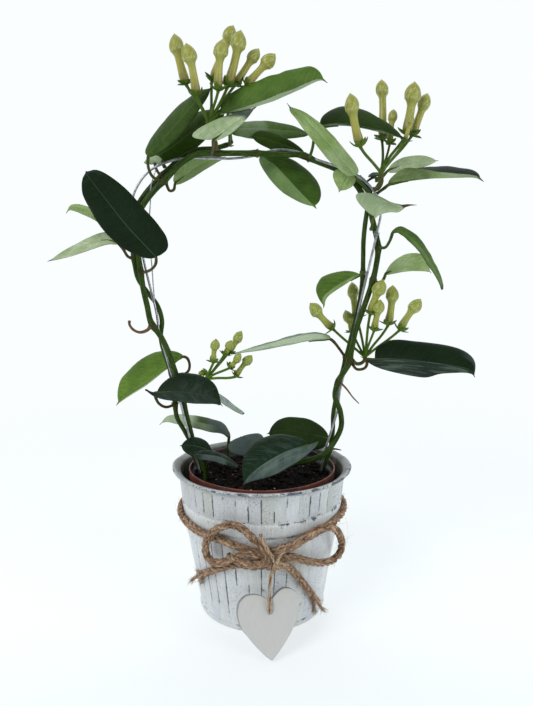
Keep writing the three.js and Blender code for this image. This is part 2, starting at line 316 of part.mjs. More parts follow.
// The largest closed shell of a solid, as a geometry.
function toGeometry(solid) {
  const m = solid.getMesh();
  let g = new THREE.BufferGeometry();
  g.setAttribute('position', new THREE.BufferAttribute(new Float32Array(m.vertProperties), 3));
  g.setIndex(new THREE.BufferAttribute(new Uint32Array(m.triVerts), 1));
  g = mergeVertices(g, 4e-3);
  const p = g.getAttribute('position').array;
  const idx = g.index.array;
  const parent = Array.from({ length: p.length / 3 }, (_, i) => i);
  const root = (i) => { while (parent[i] !== i) { parent[i] = parent[parent[i]]; i = parent[i]; } return i; };
  for (let i = 0; i < idx.length; i += 3) {
    parent[root(idx[i])] = root(idx[i + 1]);
    parent[root(idx[i + 1])] = root(idx[i + 2]);
  }
  const volume = new Map();
  const P = (i) => new THREE.Vector3(p[3 * i], p[3 * i + 1], p[3 * i + 2]);
  for (let i = 0; i < idx.length; i += 3) {
    const r = root(idx[i]);
    const v = P(idx[i]).dot(P(idx[i + 1]).cross(P(idx[i + 2]))) / 6;
    volume.set(r, (volume.get(r) || 0) + v);
  }
  let best = -1, most = -Infinity;
  for (const [r, v] of volume) if (v > most) { most = v; best = r; }
  const keep = [], used = new Map(), out = [];
  for (let i = 0; i < idx.length; i += 3) {
    const t = [idx[i], idx[i + 1], idx[i + 2]];
    if (root(t[0]) !== best || t[0] === t[1] || t[1] === t[2] || t[2] === t[0]) continue;
    for (const v of t) {
      if (!used.has(v)) { used.set(v, out.length / 3); out.push(p[3 * v], p[3 * v + 1], p[3 * v + 2]); }
      keep.push(used.get(v));
    }
  }
  const res = new THREE.BufferGeometry();
  res.setAttribute('position', new THREE.BufferAttribute(new Float32Array(out), 3));
  res.setIndex(keep);
  return res;
}

const vec = (p) => new THREE.Vector3(p[0], p[1], p[2]);

function curveOf(points) {
  return new THREE.CatmullRomCurve3(points.map(vec), false, 'centripetal');
}

function polygon(radius, sides, turn = 0) {
  const s = new THREE.Shape();
  for (let i = 0; i < sides; i++) {
    const a = turn + (2 * Math.PI * i) / sides;
    if (i === 0) s.moveTo(radius * Math.cos(a), radius * Math.sin(a));
    else s.lineTo(radius * Math.cos(a), radius * Math.sin(a));
  }
  s.closePath();
  return s;
}

// A round bar of the given radius along a smooth curve through the points.
function tube(points, radius, sides, step) {
  const curve = curveOf(points);
  const steps = Math.max(2, Math.round(curve.getLength() / step));
  return toSolid(new THREE.ExtrudeGeometry(polygon(radius, sides), { steps, extrudePath: curve, bevelEnabled: false, curveSegments: 1 }));
}

function lathe(profile, segments) {
  return toSolid(new THREE.LatheGeometry(profile.map(([r, z]) => new THREE.Vector2(r, z)), segments).rotateX(Math.PI / 2));
}

// Points past both ends of a path, so that a guard runs a little further than its bar.
function longer(points, by) {
  const n = points.length;
  const a = vec(points[0]).sub(vec(points[1])).setLength(by).add(vec(points[0]));
  const b = vec(points[n - 1]).sub(vec(points[n - 2])).setLength(by).add(vec(points[n - 1]));
  return [a.toArray(), ...points, b.toArray()];
}

// Width of a blade along its midrib, 1 at the widest place, with a small drip tip.
function bladeWidth(t, [widest, base, tip, end]) {
  const x = Math.min(Math.max(t / end, 0), 1);
  const w = x < widest
    ? Math.pow(Math.max(1 - (1 - x / widest) ** 2, 0), base)
    : Math.pow(Math.max(1 - ((x - widest) / (1 - widest)) ** 2, 0), tip);
  const drip = t > end - 0.06 ? 0.07 * Math.min(Math.max((1 - t) / (1 - end + 0.06), 0), 1) : 0;
  return Math.max(w, drip);
}

// A folded leathery blade: two curved halves that meet at the midrib.
function blade(leaf, thickness) {
  const curve = curveOf(leaf.midrib);
  curve.arcLengthDivisions = 400;
  const side = (t, a, b) => {
    const v = vec(a);
    if (!b) return v;
    const k = Math.min(Math.max((t - leaf.blend[0]) / (leaf.blend[1] - leaf.blend[0]), 0), 1);
    return v.lerp(vec(b), k * k * (3 - 2 * k));
  };
  const arch = leaf.arch ?? BLADE_ARCH;
  const middle = (t, u) => {
    const w = bladeWidth(t, leaf.form);
    const tangent = curve.getTangentAt(t);
    const v = u < 0 ? side(t, leaf.left, leaf.leftTip) : side(t, leaf.right, leaf.rightTip);
    const n = tangent.clone().cross(v).normalize().multiplyScalar(u < 0 ? 1 : -1);
    const a = Math.abs(u);
    return curve.getPointAt(t)
      .addScaledVector(v, w * a)
      .addScaledVector(n, w * v.length() * arch * 4 * a * (1 - a));
  };
  const up = (t) => {
    const tangent = curve.getTangentAt(t);
    const l = tangent.clone().cross(side(t, leaf.left, leaf.leftTip)).normalize();
    const r = side(t, leaf.right, leaf.rightTip).cross(tangent).normalize();
    return l.add(r).normalize();
  };
  const n = BLADE_HALF_COLUMNS;
  // u runs round the section: over the upper face from left to right, back under it.
  const closed = new ParametricGeometry((s, t, target) => {
    const k = s * 4 * n;
    const over = k <= 2 * n;
    const u = over ? k / n - 1 : 3 - k / n;
    const lens = (1 - Math.abs(u) ** 2.5) * Math.min(1, bladeWidth(t, leaf.form) * 3);
    target.copy(middle(t, u)).addScaledVector(up(t), (over ? 0.5 : -0.5) * thickness * lens);
  }, 4 * n, BLADE_ROWS);
  let solid = toSolid(closed);
  if (solid.volume() < 0) {
    const idx = closed.index.array;
    for (let i = 0; i < idx.length; i += 3) [idx[i], idx[i + 1]] = [idx[i + 1], idx[i]];
    solid = toSolid(closed);
  }
  return solid;
}

function leafSolid(leaf) {
  const curve = curveOf(leaf.midrib);
  const into = curve.getPointAt(Math.min(0.12, 3.5 / curve.getLength())).toArray();
  return blade(leaf, BLADE_THICKNESS).add(tube([...leaf.petiole, leaf.midrib[0], into], PETIOLE_R, 5, 5.5));
}

// One closed bud: calyx, slender tube and swollen head, from its foot to its head's centre.
function bud(foot, head, size, grow) {
  const a = vec(foot), b = vec(head);
  const d = a.distanceTo(b);
  const g = grow;
  const profile = [
    [0, -g], [1.12 * BUD_TUBE_R * size + g, 1.8 * size],
    [0.9 * BUD_TUBE_R * size + g, d - 7.2 * size], [BUD_HEAD_R * size + g, d - 2.6 * size],
    [0.84 * BUD_HEAD_R * size + g, d + 1.6 * size], [0, d + BUD_HEAD_TOP * size + g],
  ].map(([r, z]) => new THREE.Vector2(r, z));
  const geometry = new THREE.LatheGeometry(profile, 6);
  geometry.applyQuaternion(new THREE.Quaternion().setFromUnitVectors(new THREE.Vector3(0, 1, 0), b.clone().sub(a).normalize()));
  geometry.translate(a.x, a.y, a.z);
  return toSolid(geometry);
}

function umbelSolid(umbel, grow) {
  const hub = umbel.peduncle[umbel.peduncle.length - 1];
  let solid = tube(grow ? longer(umbel.peduncle, grow) : umbel.peduncle, umbel.radius + grow, 6, 7);
  for (const [foot, head, size] of umbel.buds) {
    const inside = vec(foot).lerp(vec(head), 0.08).toArray();
    const start = vec(hub).lerp(vec(foot), -0.03).toArray();
    solid = solid.add(tube([start, inside], PEDICEL_R * Math.sqrt(size) + grow, 5, 40));
    solid = solid.add(bud(foot, head, size, grow));
  }
  return solid;
}

// ---------------------------------------------------------------- assembly
const plant = new THREE.Group();
const placed = [];

function boxesMeet(a, b) {
  for (let k = 0; k < 3; k++) if (a.min[k] > b.max[k] || b.min[k] > a.max[k]) return false;
  return true;
}

// Trims a piece back from the guards of the pieces already placed and adds it.
function place(name, solid, guard, colour, roughness, metalness = 0) {
  const box = solid.boundingBox();
  for (const other of placed) if (other.guard && boxesMeet(box, other.box)) solid = solid.subtract(other.guard);
  if (guard) placed.push({ guard, box: guard.boundingBox() });
  const mesh = new THREE.Mesh(toGeometry(solid), new THREE.MeshStandardMaterial({ color: new THREE.Color(...colour), roughness, metalness }));
  mesh.name = name;
  plant.add(mesh);
}

for (const [name, w] of Object.entries(WIRES)) {
  const thick = w.radius > 0.8;
  place(name, tube(w.path, w.radius, 6, thick ? 15 : 12),
    tube(longer(w.path, GAP), w.radius + GAP, 8, thick ? 15 : 12), [0.32, 0.32, 0.36], 0.4, 0.8);
}
for (const [name, s] of Object.entries(STEMS)) {
  place(name, tube(s.path, s.radius, 6, 12), tube(longer(s.path, GAP), s.radius + GAP, 7, 12), [0.13, 0.22, 0.07], 0.6);
}

const UMBEL_TONE = [0.62, 0.64, 0.3];
for (const [name, u] of Object.entries(UMBELS)) {
  place(name, umbelSolid(u, 0), umbelSolid(u, GAP), UMBEL_TONE, 0.45);
}
for (const [name, t] of Object.entries(TWIGS)) {
  place(name, tube(t.path, t.radius, 6, 3.5), tube(longer(t.path, GAP), t.radius + GAP, 8, 3.5), [0.25, 0.2, 0.1], 0.7);
}

const LEAF_TONES = {
  light: [0.1, 0.22, 0.06], mid: [0.06, 0.14, 0.05], dark: [0.02, 0.06, 0.035],
  green: [0.03, 0.09, 0.02], pale: [0.2, 0.36, 0.14],
};
for (const [name, leaf] of Object.entries(LEAVES)) {
  const guard = blade(leaf, BLADE_THICKNESS + 2 * GAP)
    .add(tube(longer([...leaf.petiole, leaf.midrib[0]], GAP), PETIOLE_R + GAP, 6, 5));
  place(name, leafSolid(leaf), guard, LEAF_TONES[leaf.tone], 0.35);
}

const wallAt = (z) => {
  const table = [[0, 48.7], [6.2, 49.6], [25, 52.4], [43, 55.6], [62, 58.9], [78, 61.0], [88, 62.6], [104, 64.3], [108.5, 64.9]];
  for (let i = 1; i < table.length; i++) {
    if (z <= table[i][0]) {
      const [z0, r0] = table[i - 1], [z1, r1] = table[i];
      return r0 + ((r1 - r0) * (z - z0)) / (z1 - z0);
    }
  }
  return table[table.length - 1][1];
};
const H = CACHEPOT_HEIGHT;
place('cachepot', lathe([
  [0, 0], [CACHEPOT_BASE_R - 0.4, 0], [CACHEPOT_BASE_R + 1.2, 2.2], [wallAt(6.2), 5.4],
  [wallAt(43), 43], [wallAt(BAND_LOW - 1) - 0.4, BAND_LOW - 1],
  [wallAt(BAND_LOW), BAND_LOW], [wallAt(BAND_HIGH), BAND_HIGH], [wallAt(107), 107],
  [CACHEPOT_RIM_R - 2.2, H - 2.4], [CACHEPOT_RIM_R, H - 1.6], [CACHEPOT_RIM_R - 1.2, H],
  [CACHEPOT_RIM_R - 5, H - 1.2], [wallAt(106) - CACHEPOT_WALL, 106], [wallAt(50) - CACHEPOT_WALL, 50],
  [wallAt(6.2) - CACHEPOT_WALL, 4], [wallAt(3) - CACHEPOT_WALL - 1.2, 1.5], [0, 1.5],
], 48), null, [0.75, 0.77, 0.78], 0.7, 0.1);

const GR = GROW_POT_RIM_R, GT = GROW_POT_TOP, GB = GROW_POT_BOTTOM, GW = GROW_POT_WALL;
const growOuter = (z) => GROW_POT_BASE_R + ((54.6 - GROW_POT_BASE_R) * (z - GB)) / (103.5 - GB);
place('growing_pot', lathe([
  [0, GB], [growOuter(GB) - 0.8, GB], [growOuter(GB + 1), GB + 1], [54.6, 103.5], [GR - 0.4, 104.4], [GR, GT],
  [GR - GW, GT], [GR - GW - 0.5, 106], [54.6 - GW, 104.6], [growOuter(GB + 2) - GW, GB + GW], [0, GB + GW],
], 36), null, [0.35, 0.12, 0.06], 0.55);

const growInner = (z) => growOuter(z) - GW;
place('soil', lathe([
  [0, SOIL_BOTTOM], [growInner(SOIL_BOTTOM) - GAP, SOIL_BOTTOM], [growInner(SOIL_TOP - 0.8) - GAP, SOIL_TOP - 0.8],
  [48, SOIL_TOP], [20, SOIL_TOP + SOIL_CROWN], [0, SOIL_TOP + SOIL_CROWN],
], 32), null, [0.05, 0.035, 0.025], 0.95);

// Rope: a ring round the pot, a knot, two loops and two tails, one continuous length.
const into = KNOT_CENTRE;
const knot = toSolid(new THREE.SphereGeometry(1, 12, 8).scale(...KNOT_HALF).translate(...KNOT_CENTRE));
let rope = tube(ROPE.ring, ROPE_R, 8, 14).add(knot);
for (const part of ['left_loop', 'right_loop', 'left_tail', 'right_tail']) {
  rope = rope.add(tube([into, ...ROPE[part], ...(part.endsWith('loop') ? [into] : [])], ROPE_R, 8, 8.5));
}
place('jute_rope', rope, null, [0.33, 0.22, 0.12], 0.9);

const heart = new THREE.Shape();
heart.moveTo(...HEART_LEFT[0]);
heart.splineThru(HEART_LEFT.slice(1).map(([x, y]) => new THREE.Vector2(x, y)));
heart.splineThru(HEART_RIGHT.slice(1).map(([x, y]) => new THREE.Vector2(x, y)));
const hole = new THREE.Path();
hole.absarc(HEART_HOLE[0], HEART_HOLE[1], HEART_HOLE_R, 0, 2 * Math.PI, true);
heart.holes.push(hole);
const tag = new THREE.ExtrudeGeometry(heart, { depth: HEART_THICKNESS, bevelEnabled: false, curveSegments: 2, steps: 1 });
tag.translate(0, 0, -HEART_THICKNESS);
tag.rotateX(THREE.MathUtils.degToRad(HEART_LEAN_DEG));
tag.translate(...HEART_TIP);
place('heart_tag', toSolid(tag), null, [0.62, 0.61, 0.6], 0.75);
place('heart_twine', tube(TWINE, TWINE_R, 8, 3.6), null, [0.4, 0.28, 0.15], 0.9);

export default plant;
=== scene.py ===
# Potted Madagascar jasmine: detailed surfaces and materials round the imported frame.
import bpy
import bmesh
import math
import numpy as np
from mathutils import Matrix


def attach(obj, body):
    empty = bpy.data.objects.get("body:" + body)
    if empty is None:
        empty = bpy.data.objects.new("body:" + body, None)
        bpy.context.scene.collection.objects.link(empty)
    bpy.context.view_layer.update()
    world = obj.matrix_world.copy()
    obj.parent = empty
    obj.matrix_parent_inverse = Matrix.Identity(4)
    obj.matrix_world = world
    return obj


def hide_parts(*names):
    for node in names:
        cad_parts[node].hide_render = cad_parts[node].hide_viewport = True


for _name in ("Cube", "Light", "Camera"):
    _o = bpy.data.objects.get(_name)
    if _o is not None:
        bpy.data.objects.remove(_o, do_unlink=True)
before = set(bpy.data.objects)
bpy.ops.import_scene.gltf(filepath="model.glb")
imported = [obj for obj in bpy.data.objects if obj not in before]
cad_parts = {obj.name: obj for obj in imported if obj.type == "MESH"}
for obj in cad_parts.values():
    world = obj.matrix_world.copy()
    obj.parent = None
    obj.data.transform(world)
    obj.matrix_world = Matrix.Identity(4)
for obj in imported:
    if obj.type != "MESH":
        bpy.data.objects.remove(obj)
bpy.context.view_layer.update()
PI = math.pi


# ---------------------------------------------------------------- small maths
def A(p):
    return np.asarray(p, float)


def unit(v):
    v = np.asarray(v, float)
    return v / np.maximum(np.linalg.norm(v, axis=-1, keepdims=True), 1e-12)


def smooth(a, b, x):
    k = np.clip((np.asarray(x, float) - a) / (b - a), 0, 1)
    return k * k * (3 - 2 * k)


def lattice(i, j, k, seed):
    n = (i * 73856093) ^ (j * 19349663) ^ (k * 83492791) ^ (seed * 2654435761)
    n = n & 0xFFFFFFFF
    n = ((n ^ (n >> 13)) * 1274126177) & 0xFFFFFFFF
    n = (n ^ (n >> 16)) & 0xFFFFFFFF
    n = (n * 2246822519) & 0xFFFFFFFF
    n = (n ^ (n >> 15)) & 0xFFFFFFFF
    return n / 2147483648.0 - 1.0


def vnoise(P, seed=0):
    """Smooth noise from -1 to 1 at points (n, 3), one cell per unit."""
    P = np.asarray(P, float)
    i = np.floor(P).astype(np.int64)
    f = P - i
    u = f * f * f * (f * (6 * f - 15) + 10)
    out = 0
    for a in (0, 1):
        wa = u[..., 0] if a else 1 - u[..., 0]
        for b in (0, 1):
            wb = u[..., 1] if b else 1 - u[..., 1]
            for c in (0, 1):
                wc = u[..., 2] if c else 1 - u[..., 2]
                out = out + wa * wb * wc * lattice(i[..., 0] + a, i[..., 1] + b, i[..., 2] + c, seed)
    return out


def fbm(P, octaves=3, seed=0):
    out, amp, tot = 0, 1.0, 0.0
    P = np.asarray(P, float)
    for o in range(octaves):
        out = out + amp * vnoise(P * 2 ** o + 17.3 * o, seed + o)
        tot += amp
        amp *= 0.5
    return out / tot


def smooth_curve(pts, n=64):
    """Centripetal Catmull-Rom through the points, n + 1 samples even by arc length."""
    P = A(pts)
    if len(P) == 2:
        t = np.linspace(0, 1, n + 1)[:, None]
        return P[0] * (1 - t) + P[1] * t
    Q = np.vstack([2 * P[0] - P[1], P, 2 * P[-1] - P[-2]])
    out = []
    for i in range(len(P) - 1):
        p0, p1, p2, p3 = Q[i:i + 4]
        d0 = max(np.linalg.norm(p1 - p0) ** 0.5, 1e-6)
        d1 = max(np.linalg.norm(p2 - p1) ** 0.5, 1e-6)
        d2 = max(np.linalg.norm(p3 - p2) ** 0.5, 1e-6)
        t1 = ((p1 - p0) / d0 - (p2 - p0) / (d0 + d1) + (p2 - p1) / d1) * d1
        t2 = ((p2 - p1) / d1 - (p3 - p1) / (d1 + d2) + (p3 - p2) / d2) * d1
        s = np.linspace(0, 1, 25)[:-1][:, None]
        out.append((2 * p1 - 2 * p2 + t1 + t2) * s ** 3 + (-3 * p1 + 3 * p2 - 2 * t1 - t2) * s ** 2 + t1 * s + p1)
    out.append(P[-1][None])
    return resample(np.vstack(out), n)


def length_of(C):
    return float(np.linalg.norm(np.diff(C, axis=0), axis=1).sum())


def stations(C):
    return np.r_[0, np.cumsum(np.linalg.norm(np.diff(C, axis=0), axis=1))]


def resample(C, n):
    L = stations(C)
    s = np.linspace(0, L[-1], n + 1)
    return np.stack([np.interp(s, L, C[:, k]) for k in range(3)], 1)


def at_stations(C, s):
    L = stations(C)
    return np.stack([np.interp(s, L, C[:, k]) for k in range(3)], -1)


def frames_of(C, first=None):
    """Tangents and two normals carried along a curve without twist."""
    T = unit(np.gradient(C, axis=0))
    a = A(first) if first is not None else (A([0, 0, 1]) if abs(T[0][2]) < 0.9 else A([1, 0, 0]))
    n = unit(a - T[0] * np.dot(a, T[0]))
    N = np.zeros_like(C)
    N[0] = n
    for i in range(1, len(C)):
        n = N[i - 1] - T[i] * np.dot(N[i - 1], T[i])
        N[i] = n / max(np.linalg.norm(n), 1e-9)
    return T, N, np.cross(T, N)


# ---------------------------------------------------------------- meshes
class Geo:
    """Vertices in millimetres, faces, material numbers and point attributes of one piece."""

    def __init__(self):
        self.v, self.f, self.m, self.a, self.n = [], [], [], {}, 0

    def add(self, verts, faces, mat=0, **attrs):
        verts = np.asarray(verts, float).reshape(-1, 3)
        base, k = self.n, len(verts)
        self.v.append(verts)
        for fc in faces:
            self.f.append([int(i) + base for i in fc])
        self.m += list(mat) if hasattr(mat, "__len__") else [mat] * len(faces)
        for key, val in attrs.items():
            self.a.setdefault(key, []).append((base, np.broadcast_to(np.asarray(val, float).reshape(-1) if np.ndim(val) else float(val), (k,)).copy()))
        self.n += k
        return base

    def build(self, name, mats, node=None, sharp=None):
        me = bpy.data.meshes.new(name)
        V = np.vstack(self.v) * 0.001
        me.from_pydata(V.tolist(), [], self.f)
        me.polygons.foreach_set("material_index", self.m)
        me.polygons.foreach_set("use_smooth", [True] * len(self.f))
        for key, parts in self.a.items():
            arr = np.zeros(self.n)
            for base, val in parts:
                arr[base:base + len(val)] = val
            me.attributes.new(key, "FLOAT", "POINT").data.foreach_set("value", arr)
        for m in mats:
            me.materials.append(m)
        bm = bmesh.new()
        bm.from_mesh(me)
        bmesh.ops.recalc_face_normals(bm, faces=bm.faces)
        bm.to_mesh(me)
        bm.free()
        me.validate()
        me.update()
        if sharp is not None:
            me.set_sharp_from_angle(angle=math.radians(sharp))
        ob = bpy.data.objects.new(name, me)
        bpy.context.scene.collection.objects.link(ob)
        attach(ob, "root")
        if node:
            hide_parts(*([node] if isinstance(node, str) else node))
        return ob


def grid_faces(rows, cols, wrap=False, flip=False, base=0):
    """Quads between rows of vertices; wrap joins the last column to the first."""
    out = []
    m = cols if wrap else cols - 1
    for i in range(rows - 1):
        for j in range(m):
            a = base + i * cols + j
            b = base + i * cols + (j + 1) % cols
            q = (a, b, b + cols, a + cols)
            out.append(q[::-1] if flip else q)
    return out


def tube(C, radius, sides=12, turn=0.0, caps=True, section=None, first=None):
    """A bar along C. radius is a number or one per point; section(angle, i) scales it."""
    C = A(C)
    n = len(C)
    T, N, B = frames_of(C, first)
    r = np.broadcast_to(np.asarray(radius, float), (n,)).copy()
    ang = np.linspace(0, 2 * PI, sides, endpoint=False)
    th = ang[None, :] + np.broadcast_to(np.asarray(turn, float), (n,))[:, None]
    rr = r[:, None] * (section(ang[None, :], np.arange(n)[:, None]) if section else 1.0)
    V = C[:, None] + rr[..., None] * (np.cos(th)[..., None] * N[:, None] + np.sin(th)[..., None] * B[:, None])
    F = grid_faces(n, sides, wrap=True)
    V = V.reshape(-1, 3)
    s = np.repeat(stations(C), sides)
    a = np.tile(ang, n)
    if caps:
        k = len(V)
        V = np.vstack([V, C[0] - T[0] * r[0] * 0.35, C[-1] + T[-1] * r[-1] * 0.35])
        s = np.r_[s, s[0], s[-1]]
        a = np.r_[a, 0, 0]
        F += [(k, (j + 1) % sides, j) for j in range(sides)]
        e = (n - 1) * sides
        F += [(k + 1, e + j, e + (j + 1) % sides) for j in range(sides)]
    return V, F, s, a


def zipper(a0, na, pa, b0, nb, pb):
    """Triangles between two closed rings with different numbers of vertices, by their angles."""
    out, i, j = [], 0, 0
    pa = list(pa) + [pa[0] + 2 * PI]
    pb = list(pb) + [pb[0] + 2 * PI]
    while i < na or j < nb:
        if j >= nb or (i < na and pa[i + 1] <= pb[j + 1]):
            out.append((a0 + i % na, a0 + (i + 1) % na, b0 + j % nb))
            i += 1
        else:
            out.append((a0 + i % na, b0 + (j + 1) % nb, b0 + j % nb))
            j += 1
    return out


# ---------------------------------------------------------------- node materials
class Sock:
    def __init__(self, g, o):
        self.g, self.o = g, o

    def __add__(self, b): return self.g.math("ADD", self, b)
    def __radd__(self, b): return self.g.math("ADD", b, self)
    def __sub__(self, b): return self.g.math("SUBTRACT", self, b)
    def __rsub__(self, b): return self.g.math("SUBTRACT", b, self)
    def __mul__(self, b): return self.g.math("MULTIPLY", self, b)
    def __rmul__(self, b): return self.g.math("MULTIPLY", b, self)
    def __truediv__(self, b): return self.g.math("DIVIDE", self, b)
    def __neg__(self): return self.g.math("MULTIPLY", self, -1.0)


class Mat:
    """One material: a Principled shader and short calls for the nodes that feed it."""

    def __init__(self, name, **fixed):
        self.m = bpy.data.materials.new(name)
        self.m.use_nodes = True
        self.nt = self.m.node_tree
        self.nt.nodes.clear()
        self.out = self.nt.nodes.new("ShaderNodeOutputMaterial")
        self.b = self.nt.nodes.new("ShaderNodeBsdfPrincipled")
        self.nt.links.new(self.b.outputs[0], self.out.inputs[0])
        self._a = {}
        for k, v in fixed.items():
            self.b.inputs[k.replace("_", " ")].default_value = v

    def node(self, kind, **props):
        n = self.nt.nodes.new("ShaderNode" + kind)
        for k, v in props.items():
            setattr(n, k, v)
        return n

    def put(self, socket, v):
        if isinstance(v, Sock):
            self.nt.links.new(v.o, socket)
        elif v is not None:
            if hasattr(v, "__len__") and len(v) == 3 and socket.type == "RGBA":
                v = (*v, 1.0)
            socket.default_value = v

    def math(self, op, a, b=None, c=None, clamp=False):
        n = self.node("Math", operation=op, use_clamp=clamp)
        self.put(n.inputs[0], a)
        self.put(n.inputs[1], b)
        self.put(n.inputs[2], c)
        return Sock(self, n.outputs[0])

    def abs(self, a): return self.math("ABSOLUTE", a)
    def pow(self, a, b): return self.math("POWER", a, b)
    def min(self, a, b): return self.math("MINIMUM", a, b)
    def max(self, a, b): return self.math("MAXIMUM", a, b)
    def fract(self, a): return self.math("FRACT", a)
    def floor(self, a): return self.math("FLOOR", a)
    def sin(self, a): return self.math("SINE", a)
    def cos(self, a): return self.math("COSINE", a)

    def step(self, a, b, x):
        """0 below a, 1 above b, smooth between. a may be above b."""
        n = self.node("MapRange", interpolation_type="SMOOTHSTEP")
        rev = not isinstance(a, Sock) and not isinstance(b, Sock) and a > b
        if rev:
            a, b = b, a
        self.put(n.inputs["Value"], x)
        self.put(n.inputs["From Min"], a)
        self.put(n.inputs["From Max"], b)
        n.inputs["To Min"].default_value = 1.0 if rev else 0.0
        n.inputs["To Max"].default_value = 0.0 if rev else 1.0
        return Sock(self, n.outputs["Result"])

    def map(self, x, a, b, c, d):
        n = self.node("MapRange", clamp=True)
        self.put(n.inputs["Value"], x)
        for key, v in zip(("From Min", "From Max", "To Min", "To Max"), (a, b, c, d)):
            self.put(n.inputs[key], v)
        return Sock(self, n.outputs["Result"])

    def attr(self, name):
        if name not in self._a:
            n = self.node("Attribute", attribute_name=name, attribute_type="GEOMETRY")
            self._a[name] = Sock(self, n.outputs["Fac"])
        return self._a[name]

    def place(self):
        if "place" not in self._a:
            self._a["place"] = Sock(self, self.node("TexCoord").outputs["Object"])
        return self._a["place"]

    def split(self, v):
        n = self.node("SeparateXYZ")
        self.put(n.inputs[0], v)
        return [Sock(self, o) for o in n.outputs]

    def join(self, x, y, z):
        n = self.node("CombineXYZ")
        for s, v in zip(n.inputs, (x, y, z)):
            self.put(s, v)
        return Sock(self, n.outputs[0])

    def vscale(self, v, s):
        n = self.node("VectorMath", operation="MULTIPLY")
        self.put(n.inputs[0], v)
        n.inputs[1].default_value = s if hasattr(s, "__len__") else (s, s, s)
        return Sock(self, n.outputs[0])

    def vadd(self, a, b):
        n = self.node("VectorMath", operation="ADD")
        self.put(n.inputs[0], a)
        self.put(n.inputs[1], b)
        return Sock(self, n.outputs[0])

    def noise(self, scale, detail=3.0, rough=0.55, vec=None, warp=0.0, out="Fac"):
        n = self.node("TexNoise")
        self.put(n.inputs["Vector"], vec if vec is not None else self.place())
        self.put(n.inputs["Scale"], scale)
        n.inputs["Detail"].default_value = detail
        n.inputs["Roughness"].default_value = rough
        n.inputs["Distortion"].default_value = warp
        return Sock(self, n.outputs[out])

    def cells(self, scale, vec=None, feature="F1", out="Distance", jitter=1.0):
        n = self.node("TexVoronoi", feature=feature)
        self.put(n.inputs["Vector"], vec if vec is not None else self.place())
        self.put(n.inputs["Scale"], scale)
        n.inputs["Randomness"].default_value = jitter
        return Sock(self, n.outputs[out])

    def mix(self, fac, a, b, kind="MIX"):
        n = self.node("Mix", data_type="RGBA", blend_type=kind)
        self.put(n.inputs[0], fac)
        self.put(n.inputs[6], a)
        self.put(n.inputs[7], b)
        return Sock(self, n.outputs[2])

    def ramp(self, fac, *stops):
        n = self.node("ValToRGB")
        self.put(n.inputs[0], fac)
        e = n.color_ramp.elements
        while len(e) > 1:
            e.remove(e[-1])
        e[0].position, e[0].color = stops[0][0], (*stops[0][1], 1)
        for pos, col in stops[1:]:
            x = e.new(pos)
            x.color = (*col, 1)
        return Sock(self, n.outputs[0])

    def shade(self, colour, k):
        """The colour times a number that may be a socket."""
        n = self.node("VectorMath", operation="SCALE")
        self.put(n.inputs[0], colour)
        self.put(n.inputs["Scale"], k)
        return Sock(self, n.outputs[0])

    def bump(self, height, distance, strength=1.0, normal=None):
        n = self.node("Bump")
        n.inputs["Strength"].default_value = strength
        n.inputs["Distance"].default_value = distance
        self.put(n.inputs["Height"], height)
        if normal is not None:
            self.put(n.inputs["Normal"], normal)
        return Sock(self, n.outputs[0])

    def finish(self, colour, rough, normal=None, metal=None):
        self.put(self.b.inputs["Base Color"], colour)
        self.put(self.b.inputs["Roughness"], rough)
        if metal is not None:
            self.put(self.b.inputs["Metallic"], metal)
        if normal is not None:
            self.put(self.b.inputs["Normal"], normal)
        return self.m


def rgb(r, g, b):
    """A colour given in screen values from 0 to 255, as linear light."""
    return tuple((c / 255 / 12.92) if c / 255 <= 0.04045 else ((c / 255 + 0.055) / 1.055) ** 2.4 for c in (r, g, b))


